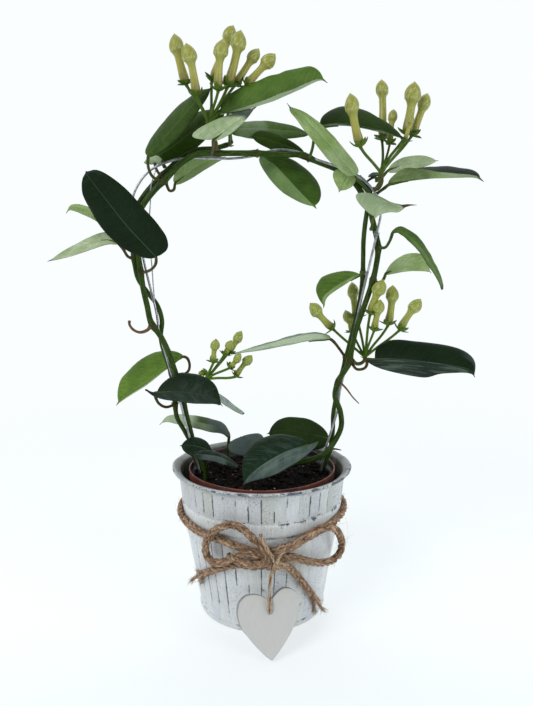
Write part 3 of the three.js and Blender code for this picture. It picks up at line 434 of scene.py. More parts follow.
# ---------------------------------------------------------------- the routes and outlines of the frame, in millimetres
LEAVES = {
  "leaf_top_right_arching": {
    "petiole": [[-24, 4, 356.9], [-23.5, -3, 362.9], [-24.6, -8, 368.7]],
    "midrib": [[-24.5, -11, 375.2], [-11, -14, 376.8], [7.5, -18, 381.2], [26.9, -22, 387.7], [41.1, -26, 392.7], [45.3, -27, 390.5]],
    "left": [-0.8, 7.5, 20.2], "right": [-1.5, -12.6, 0.3],
    "form": [0.46, 0.55, 0.6, 0.95], "tone": "light" },
  "leaf_top_left_upper": {
    "petiole": [[-73.1, -2, 329.2], [-79.7, -8, 331.9], [-81.9, -11, 337.4], [-82, -12, 342.8]],
    "midrib": [[-82.3, -12, 345.9], [-73.1, -11, 356.2], [-60.2, -9, 370.2], [-46.5, -7, 385.6], [-34.6, -5, 395.8]],
    "left": [-9.8, 13.9, 5.7], "right": [3.6, -4.2, -7.1],
    "form": [0.5, 0.5, 0.6, 0.95], "tone": "light" },
  "leaf_top_left_lower": {
    "petiole": [[-72.3, 5, 332.5], [-78, 8, 337], [-80.7, 9, 343.4]],
    "midrib": [[-79.8, 9, 349.2], [-67.7, 10, 356.3], [-52.7, 12, 368.4], [-37.5, 13, 378.8], [-25.4, 13, 383.5]],
    "left": [-9, 12.1, 9.7], "right": [4.3, -2.4, -10.5],
    "form": [0.5, 0.5, 0.6, 0.95], "tone": "dark" },
  "leaf_top_front_small": {
    "petiole": [[-36.6, -6, 348.5], [-34.5, -17, 350.2], [-33.7, -25, 351.9]],
    "midrib": [[-33.7, -29, 353.3], [-25.6, -31, 358.6], [-17.3, -30, 365.1], [-9.9, -27, 371.1], [-3.5, -24, 376.4]],
    "left": [1.8, 7.1, -1.9], "right": [-21, -13, -4.4],
    "form": [0.34, 0.6, 0.9, 0.95], "tone": "pale" },
  "leaf_top_rear_right": {
    "petiole": [[-22.6, 7, 359], [-23.3, 12, 364], [-23.8, 16, 367.8]],
    "midrib": [[-23.7, 20, 371], [-9.1, 23, 372.8], [10.2, 26, 372.7], [28.2, 27, 371.1], [39.4, 26, 368.2]],
    "left": [-3.1, 11.4, 9.4], "right": [-3.1, -8.8, -9.6],
    "form": [0.45, 0.5, 0.6, 0.95], "tone": "mid" },
  "leaf_top_rear_dark": {
    "petiole": [[30.6, -0.5, 347.2], [32.8, 6, 350.4]],
    "midrib": [[32.3, 11, 352.3], [23, 13, 356.3], [10.8, 14, 360.8], [0.2, 14, 363.9], [-8.9, 13, 364.8]],
    "left": [-1.5, -3.4, -7.2], "right": [-2.9, 5.1, 8.6],
    "form": [0.55, 0.5, 0.6, 0.95], "tone": "dark" },
  "leaf_top_hanging_large": {
    "petiole": [[-4.2, 2.5, 351.2], [-2.8, 9, 351.8]],
    "midrib": [[0.6, 12, 350.9], [8.5, 9, 343.7], [22, 3, 328.9], [32.9, -3, 316.8], [40.6, -6, 309]],
    "left": [17.8, 5.8, 4.1], "right": [-9.6, 3.7, -2.6],
    "form": [0.5, 0.5, 0.62, 0.95], "tone": "mid" },
  "leaf_top_under_left": {
    "petiole": [[-71.9, 2, 329.8], [-69.4, 4, 323.5], [-66.7, 8, 324.8]],
    "midrib": [[-66.2, 11, 329.3], [-58.3, 16, 336.4], [-48.8, 21, 343.6], [-39, 25, 349.2], [-28.4, 28, 352.6]],
    "left": [5.6, -7.9, -3.7], "right": [-7.8, 10.3, 7.5],
    "form": [0.45, 0.5, 0.6, 0.95], "tone": "pale" },
  "leaf_right_top_dark": {
    "petiole": [[35.3, -2, 346.1], [37.6, 0, 353.6], [39.3, -1, 362.6]],
    "midrib": [[42.6, -2, 368.5], [57, -6, 368.1], [72.5, -9, 365.4], [88.4, -13, 361], [99.1, -17, 357.3], [102.5, -18, 356.5]],
    "left": [1.2, 16.5, 18.7], "right": [-2.1, -10.5, -1.2],
    "form": [0.4, 0.42, 0.62, 0.95], "tone": "dark" },
  "leaf_right_strap": {
    "petiole": [[80.1, -2, 321.3], [75.7, -6, 325], [71.3, -10, 328.4]],
    "midrib": [[67.9, -13, 331.6], [55.9, -18, 343.4], [42.6, -22, 356.6], [28.9, -26, 368.7], [20.8, -28, 373.9], [17.7, -29, 377.5]],
    "left": [3.6, -6.7, 3.3], "right": [-7.8, 4.9, -0.2],
    "form": [0.35, 0.4, 0.62, 0.95], "tone": "pale" },
  "leaf_right_small_rear": {
    "petiole": [[79.1, 1, 322.4], [73.9, 2, 328], [69.4, 0, 332]],
    "midrib": [[66.2, -1, 335.8], [62.6, -4, 331.8], [59, -7, 326], [56.4, -10, 320.4]],
    "left": [-9.6, 3.7, 6.1], "right": [6.4, -1.4, -5.4],
    "form": [0.4, 0.5, 0.6, 0.95], "tone": "pale" },
  "leaf_right_rear_pale": {
    "petiole": [[85, 3, 323.8], [89.4, 7, 330.6], [93.2, 12, 336.1]],
    "midrib": [[97.3, 16, 340.2], [108.9, 22, 344.3], [124.6, 29, 348.2], [140.8, 35, 350.9]],
    "left": [-3.1, -4.4, -5.8], "right": [0.6, 9.6, 7.7],
    "form": [0.5, 0.5, 0.6, 0.95], "tone": "pale" },
  "leaf_right_long": {
    "petiole": [[84.6, -2, 319.8], [87.7, -5, 322], [90.4, -8, 324]],
    "midrib": [[92.3, -9, 326.4], [101.8, -12, 327.7], [120.7, -17, 328.9], [138.9, -23, 328.5], [150.6, -28, 327.7], [154.9, -30, 325]],
    "left": [5.8, 21.6, 11.8], "right": [-0.6, -5, 10.6],
    "leftTip": [9.4, 15.4, 11.7], "rightTip": [-4.5, -14, 1.3], "blend": [0.12, 0.6], "form": [0.42, 0.5, 0.6, 0.95], "tone": "mid" },
  "leaf_right_folded_pale": {
    "petiole": [[81.7, -3, 294.6], [81.2, -9, 296.3], [81.1, -12, 299.3]],
    "midrib": [[81.4, -14, 303], [83.9, -17, 309.8], [91, -21, 311.1], [97.4, -25, 308.2], [104.4, -28, 309.2], [108.7, -30, 309.1]],
    "left": [1, 0, -6.5], "right": [-17.1, -5, 7.3],
    "form": [0.36, 0.6, 0.95, 0.8], "tone": "pale" },
  "leaf_right_narrow_hanging": {
    "petiole": [[88.5, 1, 281.1], [92.7, -2, 281], [95.3, -5, 285.3], [96.5, -6, 288.9]],
    "midrib": [[96.4, -7, 292.1], [100.6, -9, 292.8], [108.6, -13, 288.1], [116.1, -16, 280.7], [123.3, -18, 269.2], [130, -19, 257.6], [132.9, -18, 250.4]],
    "left": [2.2, 9.8, 7.4], "right": [-3.9, -5.2, -3],
    "form": [0.5, 0.5, 0.6, 0.95], "tone": "light" },
  "leaf_right_mid_rear": {
    "petiole": [[86.2, 3, 255.6], [91.4, 6, 254.8], [94.4, 8, 257.8]],
    "midrib": [[95.9, 10, 261.3], [106.6, 15, 264.8], [120.5, 21, 266.8], [132.2, 26, 265.2], [136.3, 28, 261.9]],
    "left": [-2.3, -6.2, -3.5], "right": [4.1, 12.8, 11.3],
    "form": [0.55, 0.5, 0.5, 0.95], "tone": "pale" },
  "leaf_right_mid_left": {
    "petiole": [[78.1, 4, 261.6], [76.8, 1, 262.2]],
    "midrib": [[74, -1.5, 260.9], [64, -6, 254.6], [54.7, -10, 248.7], [48, -14, 242.9], [45.6, -17, 236.4]],
    "left": [-5.4, -11.3, 1], "right": [-11.7, 12.8, 8.1],
    "form": [0.48, 0.5, 0.6, 0.95], "tone": "light" },
  "leaf_right_low_dark": {
    "petiole": [[69.2, -1, 193.5], [72.7, -4, 188.9], [77.8, -8, 189.9], [79.5, -11, 193.5]],
    "midrib": [[78, -13, 197.8], [95.3, -18, 198.8], [116.1, -24, 197.6], [137.9, -30, 195.2], [149.7, -34, 192.6], [152.8, -36, 187.8]],
    "left": [-0.6, 12.5, 13.7], "right": [5.2, -3.5, -11.6],
    "leftTip": [13.3, 11.5, 15.2], "rightTip": [-7.5, -2.8, -7], "blend": [0.42, 0.82], "form": [0.45, 0.5, 0.55, 0.95], "tone": "dark" },
  "leaf_right_low_level": {
    "petiole": [[65.5, 3, 196.2], [60.2, 2.5, 203.6], [55.3, 2, 209.6]],
    "midrib": [[53.2, 2, 212.2], [37.4, 4, 209.7], [18.1, 6, 205.9], [-3.1, 9, 201.6], [-24.3, 12, 198.7]],
    "left": [-0.8, -13.9, 2.7], "right": [1, 11.8, 6],
    "form": [0.3, 0.5, 0.9, 0.95], "tone": "mid" },
  "leaf_left_large_dark": {
    "petiole": [[-90, -4, 262.4], [-84.3, -12, 263.2], [-78.7, -20, 265.6], [-75.5, -25, 269.4]],
    "midrib": [[-74.7, -28, 273.3], [-83.4, -30, 282.6], [-95.3, -32, 295.9], [-106.8, -34, 311.7], [-118.7, -35, 327.6], [-120.5, -35, 331.2]],
    "left": [-10.5, 2.6, -10], "right": [16.6, -3.5, 6.5],
    "form": [0.42, 0.42, 0.5, 0.99], "tone": "dark" },
  "leaf_left_small_rear": {
    "petiole": [[-93.2, -4, 296], [-100.1, -5, 294.8], [-111.7, -3, 296.4]],
    "midrib": [[-117.9, -2, 298.7], [-126, -4, 305.4], [-134.9, -6, 309.2], [-140.9, -8, 309.2], [-143.5, -9, 305.4]],
    "left": [-2.2, 8.1, 4.3], "right": [0.3, -6.1, -3.4],
    "form": [0.45, 0.5, 0.6, 0.95], "tone": "pale" },
  "leaf_left_long_pale": {
    "petiole": [[-97.5, 2, 272.9], [-101.6, 2, 274.4], [-105.6, 2, 280.8]],
    "midrib": [[-109.1, 2, 284.4], [-120.7, 4, 286.5], [-135.9, 6, 282.1], [-150.6, 8, 276.5], [-160.3, 9, 272.7], [-165.8, 10, 270.8]],
    "left": [0.5, 11.2, 7.7], "right": [5.8, -10.7, -3.9],
    "form": [0.38, 0.5, 0.75, 0.95], "tone": "pale" },
  "leaf_left_low_green": {
    "petiole": [[-70, 6.5, 182.5], [-63.6, 9, 182], [-58.5, 11, 184.9], [-57.6, 12.5, 190.3], [-59.7, 13.5, 195]],
    "midrib": [[-62.5, 14, 196.7], [-77.1, 17, 187.6], [-93.1, 19, 175.4], [-109, 20, 164.5], [-118.9, 20, 155.1]],
    "left": [-1.5, -3.8, -3.9], "right": [-14.1, 15.2, 10.7],
    "form": [0.5, 0.5, 0.6, 0.95], "tone": "light" },
  "leaf_left_low_dark": {
    "petiole": [[-67.9, 0, 160.2], [-73.9, -8, 160], [-78.3, -13, 164.2], [-80.3, -14, 169.1]],
    "midrib": [[-81.2, -15, 173], [-64.9, -18, 174.1], [-48, -22, 173], [-35, -26, 170.4], [-28.5, -28, 165]],
    "left": [-0.4, 12.2, 12.9], "right": [2.6, -7.8, -6.1],
    "form": [0.48, 0.5, 0.45, 0.95], "tone": "dark" },
  "leaf_left_low_silver": {
    "petiole": [[-65.8, 4, 175.7], [-59.3, 8, 176.2], [-50.8, 10, 174.6]],
    "midrib": [[-44.5, 10, 171.8], [-34.9, 9, 165.5], [-23.9, 9, 157.4], [-14.1, 9, 150.6]],
    "left": [-3, -4.9, -1.5], "right": [1, 6.1, 0.1],
    "form": [0.5, 0.5, 0.6, 0.95], "tone": "pale" },
  "leaf_basal_arching": {
    "petiole": [[-28.2, 25, 103.6], [-28.4, 24.5, 114.6], [-27.7, 22, 124.7]],
    "midrib": [[-26.3, 20, 130.6], [-31.1, 19, 136.9], [-45, 19, 141.2], [-62.2, 20, 143.7], [-77.1, 21, 144.2], [-84.2, 21, 138.6]],
    "left": [-0.5, -6.3, -4], "right": [-1.4, 9.8, 0.7],
    "form": [0.4, 0.45, 0.6, 0.95], "tone": "mid" },
  "leaf_basal_left_dark": {
    "petiole": [[-42.4, -18, 120.8], [-39.5, -16, 122.5]],
    "midrib": [[-38.2, -15, 126.1], [-44.9, -14, 129.4], [-54.3, -12, 131.2], [-63.4, -10, 129.9]],
    "left": [-1.4, -8.2, -6], "right": [-1, 10, 4.4],
    "form": [0.45, 0.5, 0.5, 0.95], "tone": "dark" },
  "leaf_basal_left_sheen": {
    "petiole": [[-44.1, -20, 120.6], [-45.8, -24, 123.5]],
    "midrib": [[-47, -27, 126.5], [-36.7, -30, 126.5], [-25.4, -33, 124.8], [-15.7, -36, 120.1]],
    "left": [-1.3, 9.6, 2.7], "right": [-1.2, -10.5, -2.7],
    "form": [0.5, 0.5, 0.6, 0.95], "tone": "dark" },
  "leaf_basal_front_large": {
    "petiole": [[28.8, -8, 118.8], [34.1, -10, 125.8]],
    "midrib": [[36.1, -14, 132], [21.3, -22, 129.8], [3.2, -33, 123.3], [-9, -43, 116.8], [-13.4, -48, 111.3]],
    "left": [4.6, -8.1, -7.6], "right": [-14, 11.9, 10.1],
    "form": [0.45, 0.45, 0.6, 0.95], "tone": "dark" },
  "leaf_basal_rear_sheen": {
    "petiole": [[0.8, 10, 103.6], [-1.6, 4, 113.4]],
    "midrib": [[-6.3, 2, 118.9], [-10.3, 4, 124.9], [-13.5, 6, 130], [-17.6, 8, 132.3]],
    "left": [-15.2, -2.6, -3.2], "right": [12.1, 2.4, 6.1],
    "form": [0.5, 0.5, 0.5, 0.95], "tone": "dark" },
  "leaf_basal_rear_green": {
    "petiole": [[53.9, 9, 121.7], [55.3, 12, 125]],
    "midrib": [[54.1, 14, 129], [40.8, 18, 131.3], [24.6, 22, 133.1], [11.5, 24, 133], [3.7, 24, 129.9]],
    "left": [0, -9.1, -11.2], "right": [0.8, 9.1, 10.3],
    "form": [0.45, 0.5, 0.45, 0.95], "tone": "green" },
}

STEMS = {
  "vine_stem_left_front": { "radius": 2.0, "path": [[-46.3, 3, 101.5], [-50.3, 3.2, 113.9], [-53.9, 3.4, 126.5], [-57, 3.4, 139.2], [-59.9, 3.5, 151.9], [-62.1, 3.5, 164.8], [-65.1, 2.4, 177.5], [-68.1, -1.2, 189.6], [-71.6, -3.2, 202], [-77.2, -2.6, 213.8], [-84.3, -3.1, 224.6], [-86.8, -3.9, 237.4], [-89.4, -4, 250.2], [-91.1, -3.5, 263.1], [-92.8, -3, 276], [-95, -3.1, 288.9], [-93.4, -3.3, 301.8], [-87.2, -3.1, 313.2], [-78.7, -3.1, 323.2], [-69.3, -2.4, 332.2], [-60.3, -1.7, 341.7], [-49.3, -1.6, 348.2], [-36.3, -1.5, 349.5], [-23.2, -1.5, 349.6], [-10.2, -1.5, 349.6], [2.9, -1.5, 349.3], [15.9, -1.5, 348.4], [28.4, -1.0, 348.6], [41.9, 2.6, 344.2], [52.5, 4.4, 340.6], [60.9, 4.8, 336.9], [67.7, 4.6, 331.6], [72.6, 3.4, 325.4], [76.6, 1.2, 318.6]] },
  "vine_stem_left_rear": { "radius": 1.7, "path": [[-49.1, 10, 101.5], [-53.6, 8.3, 113.7], [-56.5, 7.1, 126.4], [-61.6, 4.9, 138.1], [-66.9, 2.3, 149.7], [-68.2, 2.3, 162.7], [-69.2, 5.1, 175.4], [-72.6, 7, 187.8], [-76.6, 7.1, 200.3], [-78.6, 4.9, 212.9], [-77.1, 2.9, 225.8], [-81, 5.5, 237.5], [-88.7, 6.2, 247.7], [-94.4, 1.2, 258.3], [-96.8, 1.6, 271.1], [-98.3, 2.5, 284.1], [-98.9, 3.4, 297.1], [-95.4, 3.9, 309.6], [-88.3, 4.1, 320.6], [-79.6, 4.5, 330.3], [-70.1, 5, 339.3], [-60.1, 5.6, 347.8], [-48.5, 6.3, 353.5], [-35.5, 6.6, 354.7], [-23, 6, 358]] },
  "vine_stem_right_front": { "radius": 2.0, "path": [[0.1, -8, 103.6], [11.7, -7.5, 110.1], [24, -5.1, 114.4], [37, -3.4, 116.3], [49.2, -0.2, 120.3], [57.7, 2.8, 130], [62.5, 1.7, 142.2], [61.2, -0.9, 155.1], [56.8, -1.9, 167.5], [59.6, -3.1, 180.1], [66.2, -3.1, 191.6], [69.1, -3.1, 204.5], [71.5, -3.1, 217.6], [75.6, -2.8, 230.3], [80, -1.7, 242.8], [84.2, 0.4, 255.2], [87.1, 2, 268.1], [88.2, 1.7, 281.3], [85.4, 1.5, 294.3], [82.2, 0.9, 307.2], [82.9, -1, 320.3]] },
  "vine_stem_right_rear": { "radius": 1.7, "path": [[46.7, 7.2, 101.1], [51.7, 8.4, 112.7], [55.3, 9, 124.8], [56.7, 9.2, 137.4], [56.7, 8.5, 150], [58.3, 7.4, 162.5], [60.1, 6.4, 175], [63.3, 3.6, 187], [66.2, 3.6, 199.3], [69.2, 4.8, 211.5], [72.4, 6.8, 223.7], [75.2, 7.5, 236], [76.9, 7, 248.6], [77.6, 5.4, 261.1], [77.5, 4.5, 273.8], [77.5, 4.5, 286.4], [78.6, 5.4, 299], [80.3, 6, 311.6], [80.8, 3.9, 324], [73.2, 3, 334]] },
  "basal_shoot_left": { "radius": 1.3, "path": [[-43.5, -17, 101.5], [-43.3, -17.4, 107.9], [-43.2, -17.9, 114.3], [-43.4, -19, 120.7]] },
}

WIRES = {
  "hoop_wire": { "radius": 1.05, "path": [[-44.7, 0, 78.4], [-47.2, 0, 94.1], [-50.4, 0, 109.7], [-54.3, 0, 125.1], [-58.4, 0, 140.5], [-62.2, -0.5, 155.9], [-65.5, -1.7, 171.4], [-70.8, 1.5, 186], [-75.1, 2.6, 201.2], [-79, 0.9, 216.5], [-81, 1.1, 232.3], [-84.6, 2, 247.8], [-88.1, 2, 263.3], [-91.2, 2, 278.9], [-95.4, 1.6, 294.3], [-97.8, 0.1, 309.9], [-93.3, 0.2, 324.9], [-83.4, 0.9, 337.3], [-69.2, 1.6, 344.1], [-53.6, 2.3, 346.8], [-37.7, 2.3, 346.6], [-21.7, 2.3, 346.5], [-6.1, 2.3, 348.4], [9.3, 2.1, 352.5], [25, 1.3, 351.4], [39.9, 0.8, 345.8], [54.8, -0.9, 340.6], [69.2, -3.6, 334.3], [81.3, -4.3, 324.2], [88.6, -3.8, 310.4], [86.8, -3.2, 294.6], [83.6, -2.6, 279.1], [80.3, -1.9, 263.5], [77.1, -0.5, 248], [74.4, 2.2, 232.5], [71.3, 1.7, 216.9], [68.1, 0.4, 201.4], [64.3, 0.7, 186], [61.1, 2.2, 170.5], [59.4, 3.4, 154.7], [55.3, 4, 139.3], [50.7, 4, 124.1], [47.5, 4, 108.5], [46.2, 4, 92.6], [45.1, 4, 76.8]] },
  "thin_wire": { "radius": 0.5, "path": [[-81.8, -0.4, 240.8], [-82.6, -0.1, 253.1], [-82.9, -1.1, 265.4], [-83.9, 0.1, 277.7], [-84.3, 0.3, 290], [-84.4, 1.3, 302.3], [-83.3, 1.2, 314.6], [-81.9, -2.3, 326.3], [-78.2, -1.2, 338]] },
}

TWIGS = {
  "cut_petiole_hook": { "radius": 1.25, "tip": 1.0, "path": [[-84.5, -4.5, 221.7], [-87.2, -5, 218.9], [-92.6, -5, 217.3], [-97.5, -5, 219.2], [-100.3, -5, 223], [-100.4, -5, 226.1]] },
  "dry_twig_right": { "radius": 0.75, "tip": 0.45, "path": [[61.2, -6, 178], [65.2, -8, 173.7], [69.7, -9, 167.7], [74.2, -10, 163.2]] },
  "dry_leaf_stub": { "radius": 0.9, "tip": 0.4, "path": [[56.2, 12, 120.9], [59.6, 10, 121.4], [63.6, 8, 121.1]] },
}

UMBELS = {
  "umbel_top_left": {
    "radius": 1.3, "peduncle": [[-33.3, -5, 351.2], [-33, -8, 355.5], [-35.6, -11, 361.8], [-37.6, -13, 366.5], [-37.8, -13, 368.2]],
    "buds": [
      [[-53.6, -12, 395.2], [-59.4, -15, 420.8], 1.06],
      [[-45.2, -22, 384.6], [-50.0, -25, 411.2], 1.02],
      [[-30.1, -20, 388.7], [-27.4, -22, 415], 1.0],
      [[-35.8, -3, 400.2], [-22.6, 0, 433.2], 1.0],
      [[-23.8, -14, 393.1], [-15.9, -16, 422.8], 1.08],
      [[-18.7, -6, 396.5], [-5.1, -5, 416.6], 0.92],
      [[-10.7, -9, 395.3], [5.6, -9, 412], 0.95],
    ] },
  "umbel_top_right": {
    "radius": 1.5, "peduncle": [[82.9, -2.5, 323.4], [85.6, -8, 323.7], [87, -12, 327.4], [86.3, -14, 331.6], [86.1, -14, 333.7]],
    "buds": [
      [[69, -26, 349.7], [62.1, -30, 376.9], 1.05],
      [[90.3, 8, 361.7], [90.1, 13, 399.7], 1.0],
      [[94.2, -2, 356.7], [96.9, 2, 377.1], 0.75],
      [[105.6, -5, 362.4], [108.8, -8, 390.4], 1.15],
      [[110.8, 0, 362.8], [119.8, 2, 387], 1.0],
      [[102.3, -14, 355.6], [105.7, -17, 370], 0.55],
    ] },
  "umbel_right_mid": {
    "radius": 1.4, "peduncle": [[70.1, 0, 194.9], [74.1, 3.2, 191.9], [78, 5.2, 192.2], [80.5, 6, 194.6], [80.7, 6, 196.8]],
    "buds": [
      [[55.9, 12, 218.4], [42, 14, 233.9], 0.98],
      [[75.3, 14, 226.8], [71.8, 16, 248.8], 0.98],
      [[72.3, 18, 215.7], [68.4, 20, 227.6], 0.85],
      [[82.6, -3, 231.2], [88.9, -6, 251.2], 1.0],
      [[85.5, -4, 218.6], [88.5, -6, 236.9], 0.85],
      [[97.8, 4, 222.5], [100.1, 4, 246.4], 1.0],
      [[107.8, 8, 218.1], [120.7, 11, 236.8], 1.0],
    ] },
  "umbel_left_low": {
    "radius": 1.1, "peduncle": [[-64.2, 3, 171.9], [-58.4, 7, 169.6], [-50.7, 9, 171.6], [-45.9, 9, 176], [-43.9, 9, 178.8]],
    "buds": [
      [[-37.9, 4, 193.2], [-36, 2, 207.2], 0.72],
      [[-29.4, 8, 198.5], [-25.4, 8, 206.1], 0.66],
      [[-26.6, 14, 199.3], [-18.8, 16, 211.9], 0.82],
      [[-25.2, 4, 188.8], [-18.7, 2, 197], 0.66],
      [[-20.6, 8, 181.4], [-10.8, 8, 194.2], 0.74],
      [[-44.7, 12, 184.4], [-48.7, 14, 182.8], 0.45],
    ] },
}

ROPE = {
  "ring": [[3.6, -63.7, 68.4], [-4.2, -63.4, 69.5], [-11.9, -62.4, 71.5], [-19, -60.5, 73], [-27, -57.7, 75], [-35.3, -53.2, 75.9], [-43.1, -47.1, 76.1], [-50, -39.9, 76.8], [-55.3, -32.5, 77.7], [-59.9, -23, 78.2], [-63.4, -10, 78.6], [-63.5, 10.1, 78.8], [-57.3, 29.2, 79.1], [-45.5, 45.5, 79.3], [-29.2, 57.4, 79.5], [-10.1, 63.6, 79.8], [10.1, 63.6, 80], [29.3, 57.4, 80.3], [45.6, 45.6, 80.5], [57.5, 29.3, 80.7], [63.8, 10.1, 81], [63.8, -10.1, 81.2], [60.6, -22.1, 80.6], [51.6, -38.6, 80], [44.7, -46.2, 79], [37, -52.3, 77.5], [28.8, -56.8, 75], [20.8, -60.1, 72.4], [13.7, -62, 69.7], [8.3, -63.2, 68.6]],
  "left_loop": [[5.5, -68.5, 71.6], [0.9, -70, 75.3], [-3.8, -70.6, 80.4], [-8.9, -69.6, 85.5], [-14.3, -68.2, 89.4], [-20.5, -66.3, 90.6], [-26.8, -64.3, 88.6], [-32.7, -62.2, 84.3], [-37.2, -59.4, 78.3], [-39.7, -56, 71.2], [-39.5, -53.8, 63.9], [-37.1, -54.3, 59.2], [-32.3, -57.6, 58.6], [-26.9, -60.7, 60.6], [-21.3, -62.8, 63.9], [-16.2, -64.4, 67.1], [-10.3, -66.2, 69.4], [-4.1, -66.7, 68.2], [2.1, -66.8, 67.1]],
  "right_loop": [[10.1, -67.6, 72.3], [14.4, -68, 73.3], [19.8, -67, 74.1], [25.2, -65.3, 76.5], [30.7, -63.3, 79.7], [36.3, -60.8, 82.6], [42.1, -57.2, 83.6], [48.5, -51.9, 82.5], [54, -46, 77.7], [58.1, -38.1, 69], [60.3, -29.9, 58.6], [58.6, -28.6, 50.9], [53.1, -36.2, 50.2], [46.5, -43.9, 51.9], [38.9, -51, 55.4], [31.3, -56.3, 59.4], [24.8, -59.9, 63.2], [19.2, -62.5, 65.8], [13.7, -64.8, 67.7]],
  "left_tail": [[8.2, -66.1, 66.7], [4.8, -64.3, 62.6], [-0.7, -62.1, 58.8], [-7.4, -60.6, 57.7], [-13.7, -59.6, 58.1], [-20.1, -57.5, 57], [-25.8, -54.7, 54.2], [-31.8, -50.7, 50.5], [-38, -45.1, 45.6], [-43.7, -38, 39.7], [-48.6, -29.3, 32.6]],
  "right_tail": [[12.1, -64.8, 66.1], [15.7, -62.2, 62.2], [19.4, -58.8, 56.7], [23.7, -54.7, 49.5], [27.8, -51.5, 42.8], [31.7, -47.7, 35.8], [35.6, -43.2, 28.5], [39.2, -38.2, 20.8], [41.8, -33.9, 14.3], [43.3, -30.8, 9.5]],
}
# ---------------------------------------------------------------- light levels
WORLD_FRONT, WORLD_BACK, WORLD_TOP, WORLD_LEFT = 0.05, 0.98, 0.30, 0.10
SOFTBOXES = [
    ("key", (-0.95, -1.05, 1.25), (0.0, 0.0, 0.15), (0.9, 0.9), 16.5, (1.0, 0.99, 0.97)),
    ("fill", (1.25, -0.9, 0.7), (0.0, 0.0, 0.15), (0.9, 1.1), 11.5, (0.95, 0.98, 1.0)),
]

# ---------------------------------------------------------------- camera, floor and light
cam_data = bpy.data.cameras.new("camera")
cam_data.lens = 30.59
cam_data.sensor_width = 36
cam_data.clip_start = 0.01
cam_data.clip_end = 60
camera = bpy.data.objects.new("camera", cam_data)
camera.location = (0.0036034, -0.459356, 0.260953)
camera.rotation_euler = (math.radians(82.537), 0, 0)
bpy.context.scene.collection.objects.link(camera)
bpy.context.scene.camera = camera
bpy.context.scene.view_settings.view_transform = "Standard"
bpy.context.scene.view_settings.look = "None"

_me = bpy.data.meshes.new("floor")
_n, _r = 96, 7.0
_me.from_pydata([(_r * math.cos(2 * PI * i / _n), _r * math.sin(2 * PI * i / _n), -0.0002) for i in range(_n)], [], [list(range(_n))])
# pale paper that turns into the bright sheet behind as it goes away from the pot; near the pot it also glows, which
# lifts its shadows as painted light, and it glows a little less in front as painted shade
_fm = Mat("floor_paper", Specular_IOR_Level=0.0)
_tex = _fm.noise(35.0, 3.0)
_fx, _fy, _fz = _fm.split(_fm.place())
_far = _fm.step(0.22, 0.95, _fm.pow(_fx * _fx + _fy * _fy, 0.5))
_near = _fm.mix(_tex, rgb(166, 172, 173), rgb(169, 175, 176))
_fm.finish(_fm.mix(_far, _near, (0.0, 0.0, 0.0)), 1.0)
_fm.put(_fm.b.inputs["Emission Color"], _fm.mix(_far, _fm.mix(_fm.step(-0.035, -0.15, _fy), (0.59, 0.605, 0.615), (0.535, 0.553, 0.553)), rgb(250, 254, 255)))
_fm.b.inputs["Emission Strength"].default_value = 1.0
_me.materials.append(_fm.m)
floor = bpy.data.objects.new("floor", _me)
bpy.context.scene.collection.objects.link(floor)

world = bpy.data.worlds.new("studio")
bpy.context.scene.world = world
world.use_nodes = True
_wt = world.node_tree
_wt.nodes.clear()
_wo = _wt.nodes.new("ShaderNodeOutputWorld")
_bg = _wt.nodes.new("ShaderNodeBackground")
_see = _wt.nodes.new("ShaderNodeBackground")
_see.inputs[0].default_value = (*rgb(250, 254, 255), 1)
_see.inputs[1].default_value = 1.0
_mixw = _wt.nodes.new("ShaderNodeMixShader")
_lp = _wt.nodes.new("ShaderNodeLightPath")
_tc = _wt.nodes.new("ShaderNodeTexCoord")
_sx = _wt.nodes.new("ShaderNodeSeparateXYZ")
_wt.links.new(_tc.outputs["Generated"], _sx.inputs[0])


def _wmap(sock, a, b, c, d):
    n = _wt.nodes.new("ShaderNodeMapRange")
    n.interpolation_type = "SMOOTHSTEP"
    _wt.links.new(sock, n.inputs["Value"])
    for k, v in zip(("From Min", "From Max", "To Min", "To Max"), (a, b, c, d)):
        n.inputs[k].default_value = v
    return n.outputs["Result"]


def _wmath(op, a, b):
    n = _wt.nodes.new("ShaderNodeMath")
    n.operation = op
    for s, v in zip(n.inputs, (a, b)):
        if isinstance(v, (int, float)):
            s.default_value = v
        else:
            _wt.links.new(v, s)
    return n.outputs[0]


# a bright sheet behind and above the plant, a dimmer room in front of it
_back = _wmap(_sx.outputs[1], -0.35, 0.55, WORLD_FRONT, WORLD_BACK)
_top = _wmap(_sx.outputs[2], 0.35, 0.95, 0.0, WORLD_TOP)
_left = _wmap(_sx.outputs[0], -0.9, 0.2, WORLD_LEFT, 0.0)
_level = _wmath("ADD", _wmath("ADD", _back, _top), _left)
_bg.inputs[0].default_value = (0.93, 0.97, 1.0, 1)
_wt.links.new(_level, _bg.inputs[1])
_wt.links.new(_lp.outputs["Is Camera Ray"], _mixw.inputs[0])
_wt.links.new(_bg.outputs[0], _mixw.inputs[1])
_wt.links.new(_see.outputs[0], _mixw.inputs[2])
_wt.links.new(_mixw.outputs[0], _wo.inputs[0])


def softbox(name, where, target, size, power, colour=(1, 1, 1)):
    d = bpy.data.lights.new(name, "AREA")
    d.shape = "RECTANGLE"
    d.size, d.size_y = size
    d.energy = power
    d.color = colour
    o = bpy.data.objects.new(name, d)
    o.location = where
    v = A(target) - A(where)
    o.rotation_euler = (math.acos(-v[2] / np.linalg.norm(v)), 0, math.atan2(v[0], -v[1]) + PI)
    bpy.context.scene.collection.objects.link(o)
    return o


for _args in SOFTBOXES:
    softbox(*_args)
